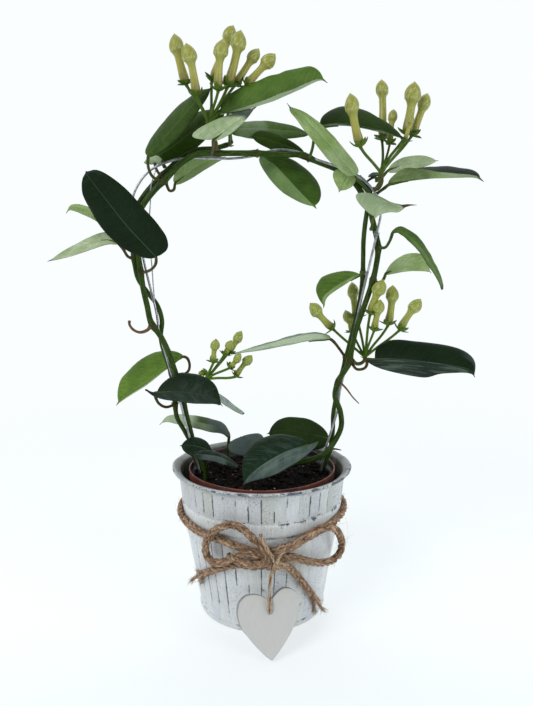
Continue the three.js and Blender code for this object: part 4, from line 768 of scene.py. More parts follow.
# ---------------------------------------------------------------- materials
def jute(name, dark, mid, light, gap_shade_and_fleck):
    g = Mat(name, Specular_IOR_Level=0.12)
    fs, fa, core = g.attr("fs"), g.attr("fa"), g.attr("core")
    ph = fa + fs * 0.42                                        # the lay of the fibres in a strand
    fine = g.noise(2.4, 3.0, 0.7, vec=g.join(g.cos(ph) * 2.4, g.sin(ph) * 2.4, fs * 0.18))
    clump = g.noise(1.0, 3.0, 0.65, vec=g.join(g.cos(ph) * 1.7, g.sin(ph) * 1.7, fs * 0.30))
    broad = g.noise(0.5, 2.0, 0.5, vec=g.join(g.cos(ph), g.sin(ph), fs * 0.2 + 31.0))
    thread = g.pow(g.abs(g.sin(ph * 4.0 + fs * 0.3 + clump * 4.0)), 0.6)
    tone = clump * 0.85 + fine * 0.35 + broad * 0.35 + thread * 0.14 - 0.40
    col = g.ramp(tone, (0.26, dark), (0.44, mid), (0.62, light))
    # the deep parts between and under the strands take the dark gap colour as painted shade; the same colour also marks
    # random dark fibre flecks
    col = g.mix(g.step(0.85, 0.05, core), col, gap_shade_and_fleck)
    fleck = g.step(0.60, 0.68, g.noise(700.0, 2.0, 0.6))
    col = g.mix(fleck * 0.5, col, light)
    dark_fleck = g.step(0.60, 0.70, g.noise(620.0, 2.0, 0.6, vec=g.vadd(g.place(), (3.1, 0.2, 0.7))))
    col = g.mix(dark_fleck * 0.55, col, gap_shade_and_fleck)
    return g.finish(col, g.map(fine, 0.3, 0.7, 0.74, 0.92), g.bump(fine * 0.6 + thread * 0.4 + clump * 0.8, 0.00035, 0.9))


M_JUTE = jute("jute_rope", rgb(58, 38, 27), rgb(120, 92, 72), rgb(200, 172, 144), rgb(34, 21, 15))
M_JUTE_PALE = jute("jute_fibre", rgb(112, 86, 64), rgb(172, 144, 114), rgb(216, 194, 164), rgb(84, 62, 46))


def paint():
    g = Mat("white_worn_paint", Specular_IOR_Level=0.3)
    wear, dirt = g.attr("wear"), g.attr("dirt")
    inner, th, z = g.attr("inner"), g.attr("th"), g.attr("zz")
    # brush strokes run up and down the wall
    stroke = g.noise(2.2, 4.0, 0.65, vec=g.join(th * 60.0, z * 0.035, 0.0))
    stroke_f = g.noise(7.0, 3.0, 0.6, vec=g.join(th * 60.0, z * 0.05, 3.0))
    level = g.noise(1.0, 4.0, 0.7, vec=g.join(th * 5.0, z * 1.9, 9.0))
    cloud = g.noise(34.0, 4.0, 0.55)
    clump = g.noise(310.0, 4.0, 0.6)
    fine = g.noise(800.0, 4.0, 0.70)
    grit = g.noise(1500.0, 2.0, 0.6)
    # every stave between two grooves took the paint a little differently
    up = g.step(88.2, 88.3, z)
    stave = g.floor(th * (38.0 / (2 * PI)) + up * th * (6.0 / (2 * PI)) + 0.001) + up * 60.0
    wn = g.node("TexWhiteNoise", noise_dimensions="1D")
    g.put(wn.inputs["W"], stave)
    r1, r2, r3 = g.split(Sock(g, wn.outputs["Color"]))
    flat_ = g.step(77.5, 79.0, z) * g.step(88.2, 87.0, z)
    white = g.mix(g.step(0.35, 0.68, stroke), rgb(198, 202, 202), rgb(222, 225, 225))
    white = g.mix(g.step(0.50, 0.72, stroke_f) * 0.42, white, rgb(176, 182, 187))
    white = g.mix(g.step(0.44, 0.72, cloud) * 0.45, white, rgb(194, 197, 193))
    white = g.mix(g.step(0.50, 0.70, level) * 0.30, white, rgb(184, 188, 188))
    white = g.mix((1.0 - flat_) * r2 * 0.42, white, rgb(200, 205, 218))
    lav = g.step(0.52, 0.70, g.noise(60.0, 3.0, 0.6, vec=g.vadd(g.place(), (4.0, 1.0, 0.3))))
    white = g.mix(lav * 0.28, white, rgb(198, 200, 214))
    white = g.mix((1.0 - flat_) * g.step(0.5, 1.0, r3) * 0.5, white, rgb(186, 190, 181))
    # each stave a little lighter or darker at random, the upper band a shade darker, and the lower wall painted lighter
    # towards its sides as painted light
    white = g.shade(white, ((r1 - 0.5) * 0.13 * (1.0 - flat_) + 1.0) * (1.0 - 0.075 * up) * (1.0 + g.abs(g.sin(th)) * (1.0 - up) * 0.11))
    # thin grey rubbing where the metal shows through the film; dirt makes it heavier just under the rolled rim as
    # painted shade
    rub = g.step(0.42, 0.68, dirt + (fine - 0.5) * 1.0 + (stroke_f - 0.5) * 0.5 + (clump - 0.5) * 0.5)
    col = g.mix(rub * 0.60, white, rgb(132, 137, 141))
    # short level scuffs and pin-prick flecks, in patches
    patchy = g.step(0.40, 0.62, g.noise(46.0, 3.0, 0.6, vec=g.vadd(g.place(), (0.3, 0.1, 0.9))))
    scuff = g.step(0.58, 0.66, g.noise(1.0, 4.0, 0.75, vec=g.join(th * 38.0, z * 1.6, 4.0)))
    fleck = g.step(0.575, 0.64, g.noise(860.0, 3.0, 0.7))
    speck = g.step(0.615, 0.65, g.noise(640.0, 3.0, 0.75, vec=g.vadd(g.place(), (2.2, 0.6, 1.4))))
    col = g.mix((patchy * 0.75 + 0.25) * scuff * 0.42, col, rgb(142, 148, 154))
    col = g.mix((patchy * 0.8 + 0.2) * fleck * 0.62, col, rgb(112, 118, 126))
    col = g.mix(g.step(0.60, 0.70, g.noise(420.0, 3.0, 0.7, vec=g.vadd(g.place(), (1.3, 2.1, 0.2)))) * 0.45, col, rgb(226, 231, 234))
    col = g.mix(speck * (patchy * 0.85 + 0.15) * 0.75, col, rgb(92, 98, 108))
    # inside: a dull grey-green sheet with darker lines at the ribs, painted lighter near the rim than deeper down as
    # painted light and shade
    inside = g.mix(g.step(0.3, 0.7, cloud), rgb(84, 90, 82), rgb(128, 132, 120))
    inside = g.mix(g.step(0.45, 0.7, stroke), inside, rgb(100, 104, 94))
    rib_in = g.abs(g.fract(th * (44.0 / (2 * PI)) + 0.5) - 0.5) * 2.0
    inside = g.mix(g.step(0.34, 0.0, rib_in) * 0.75, inside, rgb(58, 62, 58))
    inside = g.mix(g.step(0.50, 0.64, clump) * 0.45, inside, rgb(70, 74, 70))
    inside = g.mix(g.step(108.5, 113.0, z) * 0.55, inside, rgb(158, 163, 160))
    col = g.mix(inner, col, inside)
    # bare dark metal in the grooves, in flakes along the band and on the rim
    mid_n = g.noise(150.0, 3.0, 0.6, vec=g.vadd(g.place(), (0.7, 0.2, 0.4)))
    flake = wear + (mid_n - 0.5) * 0.80 + (clump - 0.5) * 0.70 + (fine - 0.5) * 1.30 + (grit - 0.5) * 0.35
    dark = g.step(0.60, 0.70, flake)
    metal = g.mix(g.step(0.4, 0.65, grit), rgb(52, 57, 66), rgb(92, 97, 106))
    edge = g.step(0.42, 0.62, flake)
    col = g.mix(edge * 0.32, col, rgb(116, 121, 128))
    col = g.mix(dark * 0.92, col, metal)
    rough = g.map(dark, 0.0, 1.0, 0.62, 0.5) + (fine - 0.5) * 0.12
    h = (1.0 - dark) * 0.9 + stroke_f * 0.35 + fine * 0.25 + level * 0.3
    return g.finish(col, rough, g.bump(h, 0.00022, 0.8))


M_PAINT = paint()


def terracotta():
    g = Mat("terracotta_plastic", Specular_IOR_Level=0.45)
    n = g.noise(60.0, 4.0, 0.6)
    f = g.noise(700.0, 3.0, 0.6)
    col = g.mix(g.step(0.3, 0.7, n), rgb(80, 35, 25), rgb(116, 54, 40))
    dust = g.step(0.52, 0.70, g.noise(120.0, 5.0, 0.7)) * 0.5
    col = g.mix(dust * 0.6, col, rgb(132, 100, 88))
    col = g.mix(g.attr("dusty") * g.step(0.35, 0.65, g.noise(90.0, 4.0, 0.65)), col, rgb(136, 116, 108))
    # random dirt and dark lines, and on the inner wall a painted shade, darker deeper in and towards the back
    dirt = g.attr("dirt")
    col = g.mix(g.step(0.35, 0.72, dirt + (f - 0.5) * 0.8), col, rgb(34, 22, 17))
    return g.finish(col, g.map(f, 0.3, 0.7, 0.42, 0.6), g.bump(f, 0.0001, 0.5))


M_TERRA = terracotta()


def soil():
    g = Mat("potting_soil", Specular_IOR_Level=0.08)
    n = g.noise(160.0, 6.0, 0.7)
    f = g.noise(1500.0, 4.0, 0.7)
    c = g.cells(620.0, out="Color")
    r, gg, b = g.split(c)
    col = g.ramp(n * 0.6 + f * 0.4, (0.3, rgb(7, 6, 6)), (0.5, rgb(15, 11, 11)), (0.66, rgb(30, 20, 17)), (0.8, rgb(54, 36, 28)))
    col = g.mix(g.step(0.965, 0.985, r), col, rgb(54, 38, 30))
    col = g.mix(g.step(0.985, 0.99, gg), col, rgb(108, 92, 78))
    tone = g.attr("tone")
    col = g.mix(tone * 0.72, col, rgb(104, 80, 58))
    return g.finish(col, g.map(f, 0.3, 0.7, 0.8, 0.98), g.bump(n + f, 0.0008, 0.9))


M_SOIL = soil()


def perlite():
    g = Mat("pale_grit", Specular_IOR_Level=0.3)
    f = g.noise(1100.0, 4.0, 0.6)
    return g.finish(g.mix(f, rgb(132, 124, 108), rgb(186, 180, 164)), 0.85, g.bump(f, 0.0003, 0.7))


M_GRIT = perlite()


def wood_paint():
    g = Mat("painted_wood", Specular_IOR_Level=0.3)
    hx, hy, edge = g.attr("hx"), g.attr("hy"), g.attr("edge")
    grain = g.noise(3.4, 5.0, 0.62, vec=g.join(hx * 0.55 + hy * 0.05, hy * 0.045, 2.0), warp=0.35)
    line = g.noise(9.0, 3.0, 0.6, vec=g.join(hx * 0.8, hy * 0.05, 6.0))
    fine = g.noise(900.0, 3.0, 0.6)
    col = g.mix(g.step(0.3, 0.7, grain), rgb(188, 189, 187), rgb(194, 195, 193))
    col = g.mix(g.step(0.56, 0.7, line) * 0.16, col, rgb(178, 177, 173))
    col = g.mix(g.step(0.6, 0.75, g.noise(180.0, 4.0, 0.6)) * 0.2, col, rgb(166, 164, 158))
    worn = g.step(0.40, 0.62, edge + (fine - 0.5) * 0.8)
    col = g.mix(worn * 0.7, col, rgb(124, 125, 124))
    ply = g.attr("ply")
    col = g.mix(ply, col, g.mix(g.step(0.4, 0.6, fine), rgb(108, 110, 111), rgb(146, 148, 148)))
    return g.finish(col, g.map(fine, 0.3, 0.7, 0.6, 0.76), g.bump(grain * 0.8 + fine * 0.3, 0.00016, 0.6))


M_WOOD = wood_paint()


def steel():
    g = Mat("galvanised_wire", Specular_IOR_Level=0.5)
    n = g.noise(240.0, 4.0, 0.6)
    f = g.noise(1800.0, 2.0, 0.6)
    col = g.mix(g.step(0.35, 0.7, n), rgb(134, 138, 142), rgb(186, 190, 194))
    col = g.mix(g.step(0.62, 0.72, f) * 0.4, col, rgb(92, 94, 100))
    return g.finish(col, g.map(n, 0.3, 0.7, 0.26, 0.42), g.bump(f, 0.00006, 0.5), metal=0.85)


M_STEEL = steel()


def stem_skin():
    g = Mat("green_stem", Specular_IOR_Level=0.12)
    s, a, nd = g.attr("fs"), g.attr("fa"), g.attr("node")
    lines = g.noise(2.4, 3.0, 0.6, vec=g.join(g.cos(a) * 2.4, g.sin(a) * 2.4, s * 0.06))
    patch = g.noise(0.6, 3.0, 0.6, vec=g.join(g.cos(a) * 0.5, g.sin(a) * 0.5, s * 0.09))
    dots = g.step(0.30, 0.18, g.cells(1.0, vec=g.join(g.cos(a) * 2.2, g.sin(a) * 2.2, s * 0.55)))
    col = g.mix(g.step(0.38, 0.62, lines), rgb(24, 42, 8), rgb(54, 80, 19))
    col = g.mix(g.step(0.55, 0.75, patch) * 0.40, col, rgb(52, 60, 26))
    col = g.mix(g.step(0.45, 1.0, nd + (lines - 0.5) * 0.6) * 0.5, col, rgb(60, 48, 30))
    col = g.mix(dots * 0.20, col, rgb(118, 130, 78))
    h = lines * 0.7 + dots * 0.5
    return g.finish(col, g.map(lines, 0.3, 0.7, 0.30, 0.44), g.bump(h, 0.00016, 0.7))


M_STEM = stem_skin()


def petiole_skin():
    g = Mat("petiole", Specular_IOR_Level=0.14)
    s, a, br = g.attr("fs"), g.attr("fa"), g.attr("brown")
    lines = g.noise(2.4, 3.0, 0.6, vec=g.join(g.cos(a) * 2.2, g.sin(a) * 2.2, s * 0.1))
    green = g.mix(g.step(0.35, 0.65, lines), rgb(40, 62, 18), rgb(72, 96, 34))
    brown = g.mix(g.step(0.3, 0.7, lines), rgb(44, 36, 18), rgb(82, 70, 36))
    col = g.mix(g.step(0.2, 0.8, br + (lines - 0.5) * 0.5), green, brown)
    return g.finish(col, g.map(lines, 0.3, 0.7, 0.38, 0.52), g.bump(lines, 0.00012, 0.6))


M_PETIOLE = petiole_skin()


def dry():
    g = Mat("dry_twig", Specular_IOR_Level=0.25)
    s, a = g.attr("fs"), g.attr("fa")
    lines = g.noise(2.6, 4.0, 0.65, vec=g.join(g.cos(a) * 2.4, g.sin(a) * 2.4, s * 0.14))
    col = g.ramp(lines, (0.3, rgb(58, 38, 26)), (0.5, rgb(92, 66, 42)), (0.72, rgb(136, 112, 74)))
    return g.finish(col, 0.7, g.bump(lines, 0.0002, 0.8))


M_DRY = dry()


TIP = rgb(40, 48, 56)
BROWN_TIP = rgb(72, 58, 50)


def leaf_marks(g, col, p, ax):
    """Shares painted per leaf: darker and paler parts, some of them painted shade and painted light, a painted sheen,
    streaks of painted sheen and of painted gloss highlight, and the dry tip.
    """
    var = g.noise(110.0, 4.0, 0.6)
    k = (var - 0.5) * 0.9 + 1.0
    # darker and paler shares, partly the leaf's own tone and partly painted shade and painted light on a half; the
    # blue-grey share is a painted sheen
    for key, tone in (("dk", rgb(17, 34, 12)), ("pl", rgb(172, 189, 160)), ("painted_sheen", rgb(86, 100, 99))):
        col = g.mix(g.min(g.attr(key) * k, 1.0), col, tone)
    # streaks of painted sheen following the side veins
    streak = g.noise(1.0, 4.0, 0.6, vec=g.join(p * 1.9, ax * 0.10, 11.0))
    fine = g.noise(1.0, 3.0, 0.6, vec=g.join(p * 7.0, ax * 0.16, 5.0))
    col = g.mix(g.attr("sh") * (g.step(0.46, 0.64, streak) * 0.8 + g.step(0.48, 0.60, fine) * 0.35), col, rgb(88, 108, 102))
    lx, ly = g.attr("lx"), g.attr("ly")
    # streaks of painted gloss highlight along the blade
    gloss_highlight = g.noise(1.0, 3.0, 0.55, vec=g.join(lx * 0.55, ly * 0.035, 3.0))
    col = g.mix(g.attr("gl") * g.step(0.46, 0.66, gloss_highlight), col, rgb(120, 138, 122))
    tip = g.step(0.25, 0.75, g.attr("tipm") + (var - 0.5) * 0.5 * g.attr("tipm"))
    return g.mix(tip, col, g.mix(g.attr("tipb"), TIP, BROWN_TIP))


def leaf_upper(name, deep, mid, vein, rough, vk, spec=0.42):
    """Leathery upper face: midrib, looping side veins, a fine net between them and mottled green."""
    g = Mat(name, Specular_IOR_Level=spec)
    lx, ly, lt, lw = g.attr("lx"), g.attr("ly"), g.attr("lt"), g.attr("lw")
    ax = g.abs(lx)
    across = ax / g.max(lw, 0.5)
    patch = g.noise(52.0, 3.0, 0.55)
    fine = g.noise(650.0, 3.0, 0.6)
    wob = g.noise(75.0, 2.0, 0.5)
    seen = g.step(0.36, 0.62, g.noise(46.0, 2.0, 0.5, vec=g.vadd(g.place(), (0.4, 1.3, 0.2))))
    # side veins leave the midrib steeply and bend forward near the margin
    p = (ly - ax * 0.36 - ax * ax * 0.022) / 5.6 + (wob - 0.5) * 1.3 + g.step(-0.01, 0.01, lx) * 0.45
    tri = g.abs(g.fract(p) - 0.5) * 2.0
    veins = g.step(0.80, 1.0, tri) * g.step(0.02, 0.2, across) * g.step(0.98, 0.55, across)
    brush = g.noise(1.0, 4.0, 0.65, vec=g.join(p * 4.0, ax * 0.10, ly * 0.03))
    net = g.step(0.10, 0.0, g.cells(560.0, feature="DISTANCE_TO_EDGE"))
    rib = g.step(0.60, 0.18, ax + lt * 0.22)
    col = g.mix(g.step(0.30, 0.70, patch), deep, mid)
    col = g.mix(g.step(0.42, 0.66, brush) * 0.45, col, mid)
    col = g.mix(g.step(0.45, 0.75, fine) * 0.16, col, mid)
    band = g.noise(1.0, 3.0, 0.7, vec=g.join(p * 2.2, ax * 0.16, 7.0))
    col = g.mix(g.step(0.40, 0.66, band) * 0.50, col, deep)
    # a dark line beside each side vein, painted shade along its ridge
    beside_vein_shade = g.abs(g.fract(p + 0.13) - 0.5) * 2.0
    col = g.mix(g.step(0.84, 1.0, beside_vein_shade) * g.step(0.05, 0.25, across) * vk * 1.5, col, g.shade(deep, 0.62))
    col = g.mix(veins * (seen * 0.7 + 0.3) * vk * 1.5, col, vein)
    col = g.mix(net * 0.10, col, vein)
    col = g.mix(rib * 0.6, col, vein)
    rim = g.step(0.55, 0.15, lw - ax) * g.step(0.02, 0.08, lt)
    col = g.mix(rim * 0.40, col, g.shade(deep, 0.55))
    col = g.shade(col, g.attr("tint") * 0.8 + 0.6)
    col = leaf_marks(g, col, p, ax)
    h = patch * 0.3 - veins * 0.55 * (seen * 0.6 + 0.4) - net * 0.14 + fine * 0.10 - rib * 0.4 + brush * 0.35 + band * 0.25
    return g.finish(col, rough + (fine - 0.5) * 0.10 + (brush - 0.5) * 0.16, g.bump(h, 0.00024, 0.6))


def leaf_under(name, pale, mid, vein):
    """Matt pale underside with a raised midrib, brushed texture and a net of veins."""
    g = Mat(name, Specular_IOR_Level=0.14)
    lx, ly, lt, lw = g.attr("lx"), g.attr("ly"), g.attr("lt"), g.attr("lw")
    ax = g.abs(lx)
    across = ax / g.max(lw, 0.5)
    patch = g.noise(60.0, 4.0, 0.6)
    fine = g.noise(800.0, 3.0, 0.65)
    wob = g.noise(75.0, 2.0, 0.5)
    p = (ly - ax * 0.36 - ax * ax * 0.022) / 5.6 + (wob - 0.5) * 1.3 + g.step(-0.01, 0.01, lx) * 0.45
    tri = g.abs(g.fract(p) - 0.5) * 2.0
    veins = g.step(0.78, 1.0, tri) * g.step(1.0, 0.6, across)
    brush = g.noise(1.0, 4.0, 0.7, vec=g.join(lx * 0.85, ly * 0.07, p * 0.4))
    net = g.step(0.12, 0.0, g.cells(480.0, feature="DISTANCE_TO_EDGE"))
    rib = g.step(0.75, 0.28, ax + lt * 0.3)
    col = g.mix(g.step(0.3, 0.7, patch), mid, pale)
    col = g.mix(g.step(0.44, 0.60, brush) * 0.75, col, mid)
    col = g.mix(veins * 0.20, col, vein)
    col = g.mix(net * 0.12, col, vein)
    col = g.mix(rib * 0.4, col, vein)
    streak = g.noise(1.0, 3.0, 0.7, vec=g.join(p * 1.8, ax * 0.22, 3.0))
    col = g.mix(g.step(0.46, 0.64, streak) * 0.35, col, vein)
    rim = g.step(0.50, 0.12, lw - ax) * g.step(0.02, 0.08, lt)
    col = g.mix(rim * 0.55, col, g.shade(vein, 0.55))
    col = g.shade(col, g.attr("tint") * 0.8 + 0.6)
    col = leaf_marks(g, col, p, ax)
    h = veins * 0.5 + net * 0.22 + fine * 0.15 + brush * 0.35 + rib * 0.4
    return g.finish(col, g.map(fine, 0.3, 0.7, 0.50, 0.64), g.bump(h, 0.0002, 0.6))


UPPER = {
    "light": leaf_upper("leaf_upper_light", rgb(68, 98, 28), rgb(92, 124, 44), rgb(124, 150, 76), 0.50, 0.24, 0.12),
    "mid": leaf_upper("leaf_upper_mid", rgb(54, 84, 24), rgb(78, 108, 38), rgb(108, 134, 66), 0.50, 0.22, 0.11),
    "green": leaf_upper("leaf_upper_green", rgb(38, 62, 14), rgb(58, 84, 24), rgb(86, 112, 48), 0.50, 0.20, 0.08),
    "dark": leaf_upper("leaf_upper_dark", rgb(9, 24, 11), rgb(26, 46, 30), rgb(74, 100, 74), 0.44, 0.12, 0.08),
    "pale": leaf_upper("leaf_upper_pale", rgb(80, 106, 56), rgb(104, 130, 76), rgb(130, 150, 98), 0.50, 0.22, 0.12),
}
UNDER = {
    "grey": leaf_under("leaf_under_grey", rgb(184, 199, 164), rgb(146, 166, 122), rgb(122, 142, 94)),
    "green": leaf_under("leaf_under_green", rgb(160, 182, 124), rgb(122, 148, 84), rgb(100, 124, 64)),
    "silver": leaf_under("leaf_under_silver", rgb(172, 186, 182), rgb(132, 148, 144), rgb(100, 116, 108)),
}


def bud_skin():
    g = Mat("bud_skin", Specular_IOR_Level=0.5, Subsurface_Weight=0.12, Subsurface_Scale=0.003, Coat_Weight=0.14, Coat_Roughness=0.35)
    bt, crease, gr, s, a = g.attr("bt"), g.attr("crease"), g.attr("green"), g.attr("fs"), g.attr("fa")
    lip = g.attr("lip")
    streak = g.noise(2.0, 3.0, 0.6, vec=g.join(g.cos(a) * 3.0, g.sin(a) * 3.0, s * 0.08 + bt))
    soft = g.noise(110.0, 3.0, 0.6)
    pores = g.noise(900.0, 2.0, 0.6)
    tube_c = g.mix(gr, rgb(154, 149, 62), rgb(140, 156, 58))
    foot_c = g.mix(gr, rgb(112, 100, 44), rgb(110, 124, 46))
    head_c = g.mix(gr, rgb(139, 141, 54), rgb(132, 150, 54))
    col = g.mix(g.step(0.0, 0.42, bt), foot_c, tube_c)
    col = g.mix(g.step(0.45, 0.70, bt), col, head_c)
    col = g.mix(g.step(0.90, 1.0, bt) * 0.45, col, rgb(150, 144, 70))
    col = g.mix(g.step(0.42, 0.72, streak) * 0.20, col, rgb(182, 184, 100))
    col = g.mix(g.step(0.55, 0.28, streak) * 0.22, col, rgb(116, 116, 42))
    col = g.mix(g.step(0.46, 0.70, soft) * 0.35, col, rgb(132, 134, 52))
    col = g.mix(g.step(0.56, 0.66, pores) * 0.18, col, rgb(200, 202, 140))
    # the lobe edges and lip painted paler as a painted highlight, the creases between lobes painted darker as a painted
    # shade
    col = g.mix(lip * 0.30, col, rgb(206, 210, 146))
    col = g.mix(crease * 0.32, col, rgb(114, 118, 42))
    col = g.mix(g.step(0.05, 0.015, bt), col, rgb(70, 96, 30))
    return g.finish(col, g.map(soft, 0.3, 0.7, 0.34, 0.46), g.bump(streak + pores * 0.25, 0.00014, 0.45))


def green_part(name, a_, b_, c_, fresh):
    g = Mat(name, Specular_IOR_Level=0.14)
    s, a = g.attr("fs"), g.attr("fa")
    lines = g.noise(2.0, 3.0, 0.6, vec=g.join(g.cos(a) * 2.2, g.sin(a) * 2.2, s * 0.12))
    patch = g.noise(300.0, 3.0, 0.6)
    col = g.mix(g.step(0.35, 0.65, lines), a_, b_)
    col = g.mix(g.step(0.5, 0.75, patch) * 0.4, col, c_)
    col = g.mix(g.attr("green") * 0.75, col, g.mix(g.step(0.35, 0.65, lines), fresh, b_))
    return g.finish(col, g.map(lines, 0.3, 0.7, 0.38, 0.5), g.bump(lines, 0.00012, 0.6))


M_BUD = bud_skin()
M_PEDICEL = green_part("pedicel", rgb(48, 70, 14), rgb(78, 104, 28), rgb(98, 132, 44), rgb(96, 140, 36))
M_CALYX = green_part("calyx", rgb(50, 74, 16), rgb(84, 112, 30), rgb(112, 140, 50), rgb(104, 144, 40))
M_HUB = green_part("peduncle", rgb(70, 54, 34), rgb(74, 84, 32), rgb(76, 50, 42), rgb(82, 112, 36))
# ---------------------------------------------------------------- the two cords
KNOT = A([9, -66.5, 68.5])
_ring, _rl, _ll = ROPE["ring"], ROPE["right_loop"], ROPE["left_loop"]
_lt, _rt = ROPE["left_tail"], ROPE["right_tail"]
ROPE_ROUTE = (
    _lt[::-1][:-2]                                   # left tail, from its frayed end to the knot
    + [[4.8, -64.0, 61.6], [9.6, -64.0, 64.6], [13.9, -63.4, 66.4]]
    + _rl[::-1][1:-2]                                # right loop, from below to above
    + [[14.4, -68.0, 73.3], [10.1, -67.6, 72.3], [6.0, -65.6, 70.6], [0.6, -63.9, 69.4]]
    + _ring[1:-2]                                    # round the pot
    + [[13.7, -62.3, 69.3], [10.4, -62.2, 66.3], [8.0, -62.8, 62.6], [6.3, -66.2, 60.3], [5.3, -70.2, 62.6],
       [5.0, -71.9, 67.2], [4.4, -72.0, 71.6], [2.0, -71.2, 75.4]]
    + _ll[2:-2]                                      # left loop, from above to below
    + [[-4.1, -66.7, 68.2], [2.1, -67.4, 67.6], [8.0, -68.9, 67.6], [12.4, -68.4, 65.0], [16.2, -65.2, 60.9], [20.3, -60.2, 55.0]]
    + _rt[3:]                                        # right tail, to its frayed end
)
ROPE_D = 5.2
_C = smooth_curve(ROPE_ROUTE, 1400)
for _ in range(6):                                   # ease the small corners
    _C[1:-1] = 0.25 * _C[:-2] + 0.5 * _C[1:-1] + 0.25 * _C[2:]
ROPE_LEN = length_of(_C)
ROPE_N = int(ROPE_LEN / 1.15)
ROPE_C = resample(_C, ROPE_N)


def strands(geo, C, count, offset, r, pitch, sides, phase=0.0, splay=None, squash=0.9, wobble=0.05, mat=0, seed=0, ends=True, first=None, fray=0.0):
    """count bars wound round C. splay(s, length) widens the helix near the ends."""
    T, N, B = frames_of(C, first)
    s = stations(C)
    Ltot = s[-1]
    made = []
    for k in range(count):
        q = s if not fray else np.where(s < fray, fray - (fray - s) * (0.35 + 0.65 * s / fray), np.where(s > Ltot - fray, Ltot - fray + (s - Ltot + fray) * (0.35 + 0.65 * (Ltot - s) / fray), s))
        a = phase + 2 * PI * k / count + 2 * PI * q / pitch + 0.25 * vnoise(np.stack([s / 14, s * 0 + k * 9.1 + seed, s * 0], 1), 5)
        off = np.full(len(s), offset)
        if splay is not None:
            off = off + splay(s, Ltot, k)
        P = C + off[:, None] * (np.cos(a)[:, None] * N + np.sin(a)[:, None] * B)
        rr = r * (1 + wobble * vnoise(np.stack([s / 3.0, s * 0 + k * 3.7 + seed, s * 0], 1), 8))
        if ends:
            rr = rr * (1 - 0.42 * smooth(Ltot - 9, Ltot, s)) * (1 - 0.42 * smooth(9, 0, s))
        V, F, ss, aa = tube(P, rr, sides, section=lambda an, i: 1 + 0 * an)
        m = len(P)
        VV = V[:m * sides].reshape(m, sides, 3)
        VV = VV + 0.055 * r * fbm(np.stack([VV[..., 0] * 0 + ss[:m * sides].reshape(m, sides) * 0.9, np.cos(aa[:m * sides].reshape(m, sides) + ss[:m * sides].reshape(m, sides) * 0.5) * 2.2 + k * 5, np.sin(aa[:m * sides].reshape(m, sides) + ss[:m * sides].reshape(m, sides) * 0.5) * 2.2], -1), 2, 11)[..., None] * unit(VV - P[:, None])
        V[:m * sides] = VV.reshape(-1, 3)
        ax = np.vstack([np.repeat(C, sides, 0), C[0], C[-1]])
        # how far each point stands out from the rope's axis; the jute material paints the deep parts in its dark gap
        # colour as painted shade
        deep = np.linalg.norm(V - ax, axis=1)
        deep = smooth(offset * 0.75 + r * 0.1, offset + r * 0.72, deep)
        geo.add(V, F, mat, fs=ss + k * 211.0, fa=aa, core=deep)
        made.append(P)
    return made


def hair(geo, start, way, length, r, seed, curl=0.5, mat=0, n=7, droop=0.0):
    """One loose fibre: a thin three-sided bar that bends as it goes."""
    rs = np.random.RandomState(seed)
    d = unit(A(way))
    P = [A(start)]
    bend = unit(rs.normal(size=3)) * curl
    for i in range(n):
        d = unit(d + bend / n + rs.normal(size=3) * 0.12 * curl - A([0, 0, droop / n]))
        P.append(P[-1] + d * length / n)
    P = A(P)
    rr = r * np.linspace(1, 0.55, len(P))
    V, F, s, a = tube(P, rr, 3)
    geo.add(V, F, mat, fs=s + seed * 3.1, fa=a, core=1.0)


def rope_splay(s, L, k):
    return (2.2 + 0.4 * (k == 1)) * smooth(L - 15, L, s) ** 1.3 + (2.1 + 0.5 * (k == 2)) * smooth(15, 0, s) ** 1.3


rope = Geo()
ROPE_STRANDS = strands(rope, ROPE_C, 3, 1.36, 1.54, 16.5, 12, splay=rope_splay, seed=2, fray=15.0)
rope_ob = rope.build("jute_rope_laid", [M_JUTE], node="jute_rope")

fibres = Geo()
_rs = np.random.RandomState(41)
_T, _N, _B = frames_of(ROPE_C)
_near = np.where(np.linalg.norm(ROPE_C - KNOT, axis=1) < 21)[0]
for i in range(1350):
    k = _rs.randint(6, ROPE_N - 6) if i < 1000 else int(_rs.choice(_near))
    a = _rs.uniform(0, 2 * PI)
    out = math.cos(a) * _N[k] + math.sin(a) * _B[k]
    p = ROPE_C[k] + out * 2.6
    rad = math.hypot(p[0], p[1])
    if rad < 59.0 + 0.19 * (p[2] - 62) + 1.4:
        continue
    hair(fibres, p, out * _rs.uniform(0.15, 0.8) + _T[k] * _rs.choice([-1, 1]) * _rs.uniform(0.5, 1.4), _rs.uniform(1.5, 6.0) * (1.9 if _rs.rand() < 0.08 else 1), _rs.uniform(0.05, 0.10), 900 + i, _rs.uniform(0.3, 1.3))
# the two frayed ends: each strand opens into a brush of cut fibres
for end in (0, -1):
    for k, P in enumerate(ROPE_STRANDS):
        tip = P[end]
        way = unit(P[0] - P[3]) if end == 0 else unit(P[-1] - P[-4])
        side = unit(tip - ROPE_C[end])
        for j in range(54):
            jit = _rs.normal(size=3)
            base = tip - way * _rs.uniform(0.5, 4.5) + unit(jit) * _rs.uniform(0.1, 0.85)
            hair(fibres, base, way + side * _rs.uniform(-0.1, 0.5) + jit * 0.22, _rs.uniform(3.2, 7.2), _rs.uniform(0.09, 0.2), 4000 + 100 * k + j + (50 if end else 0) * 7, 0.5, n=5)
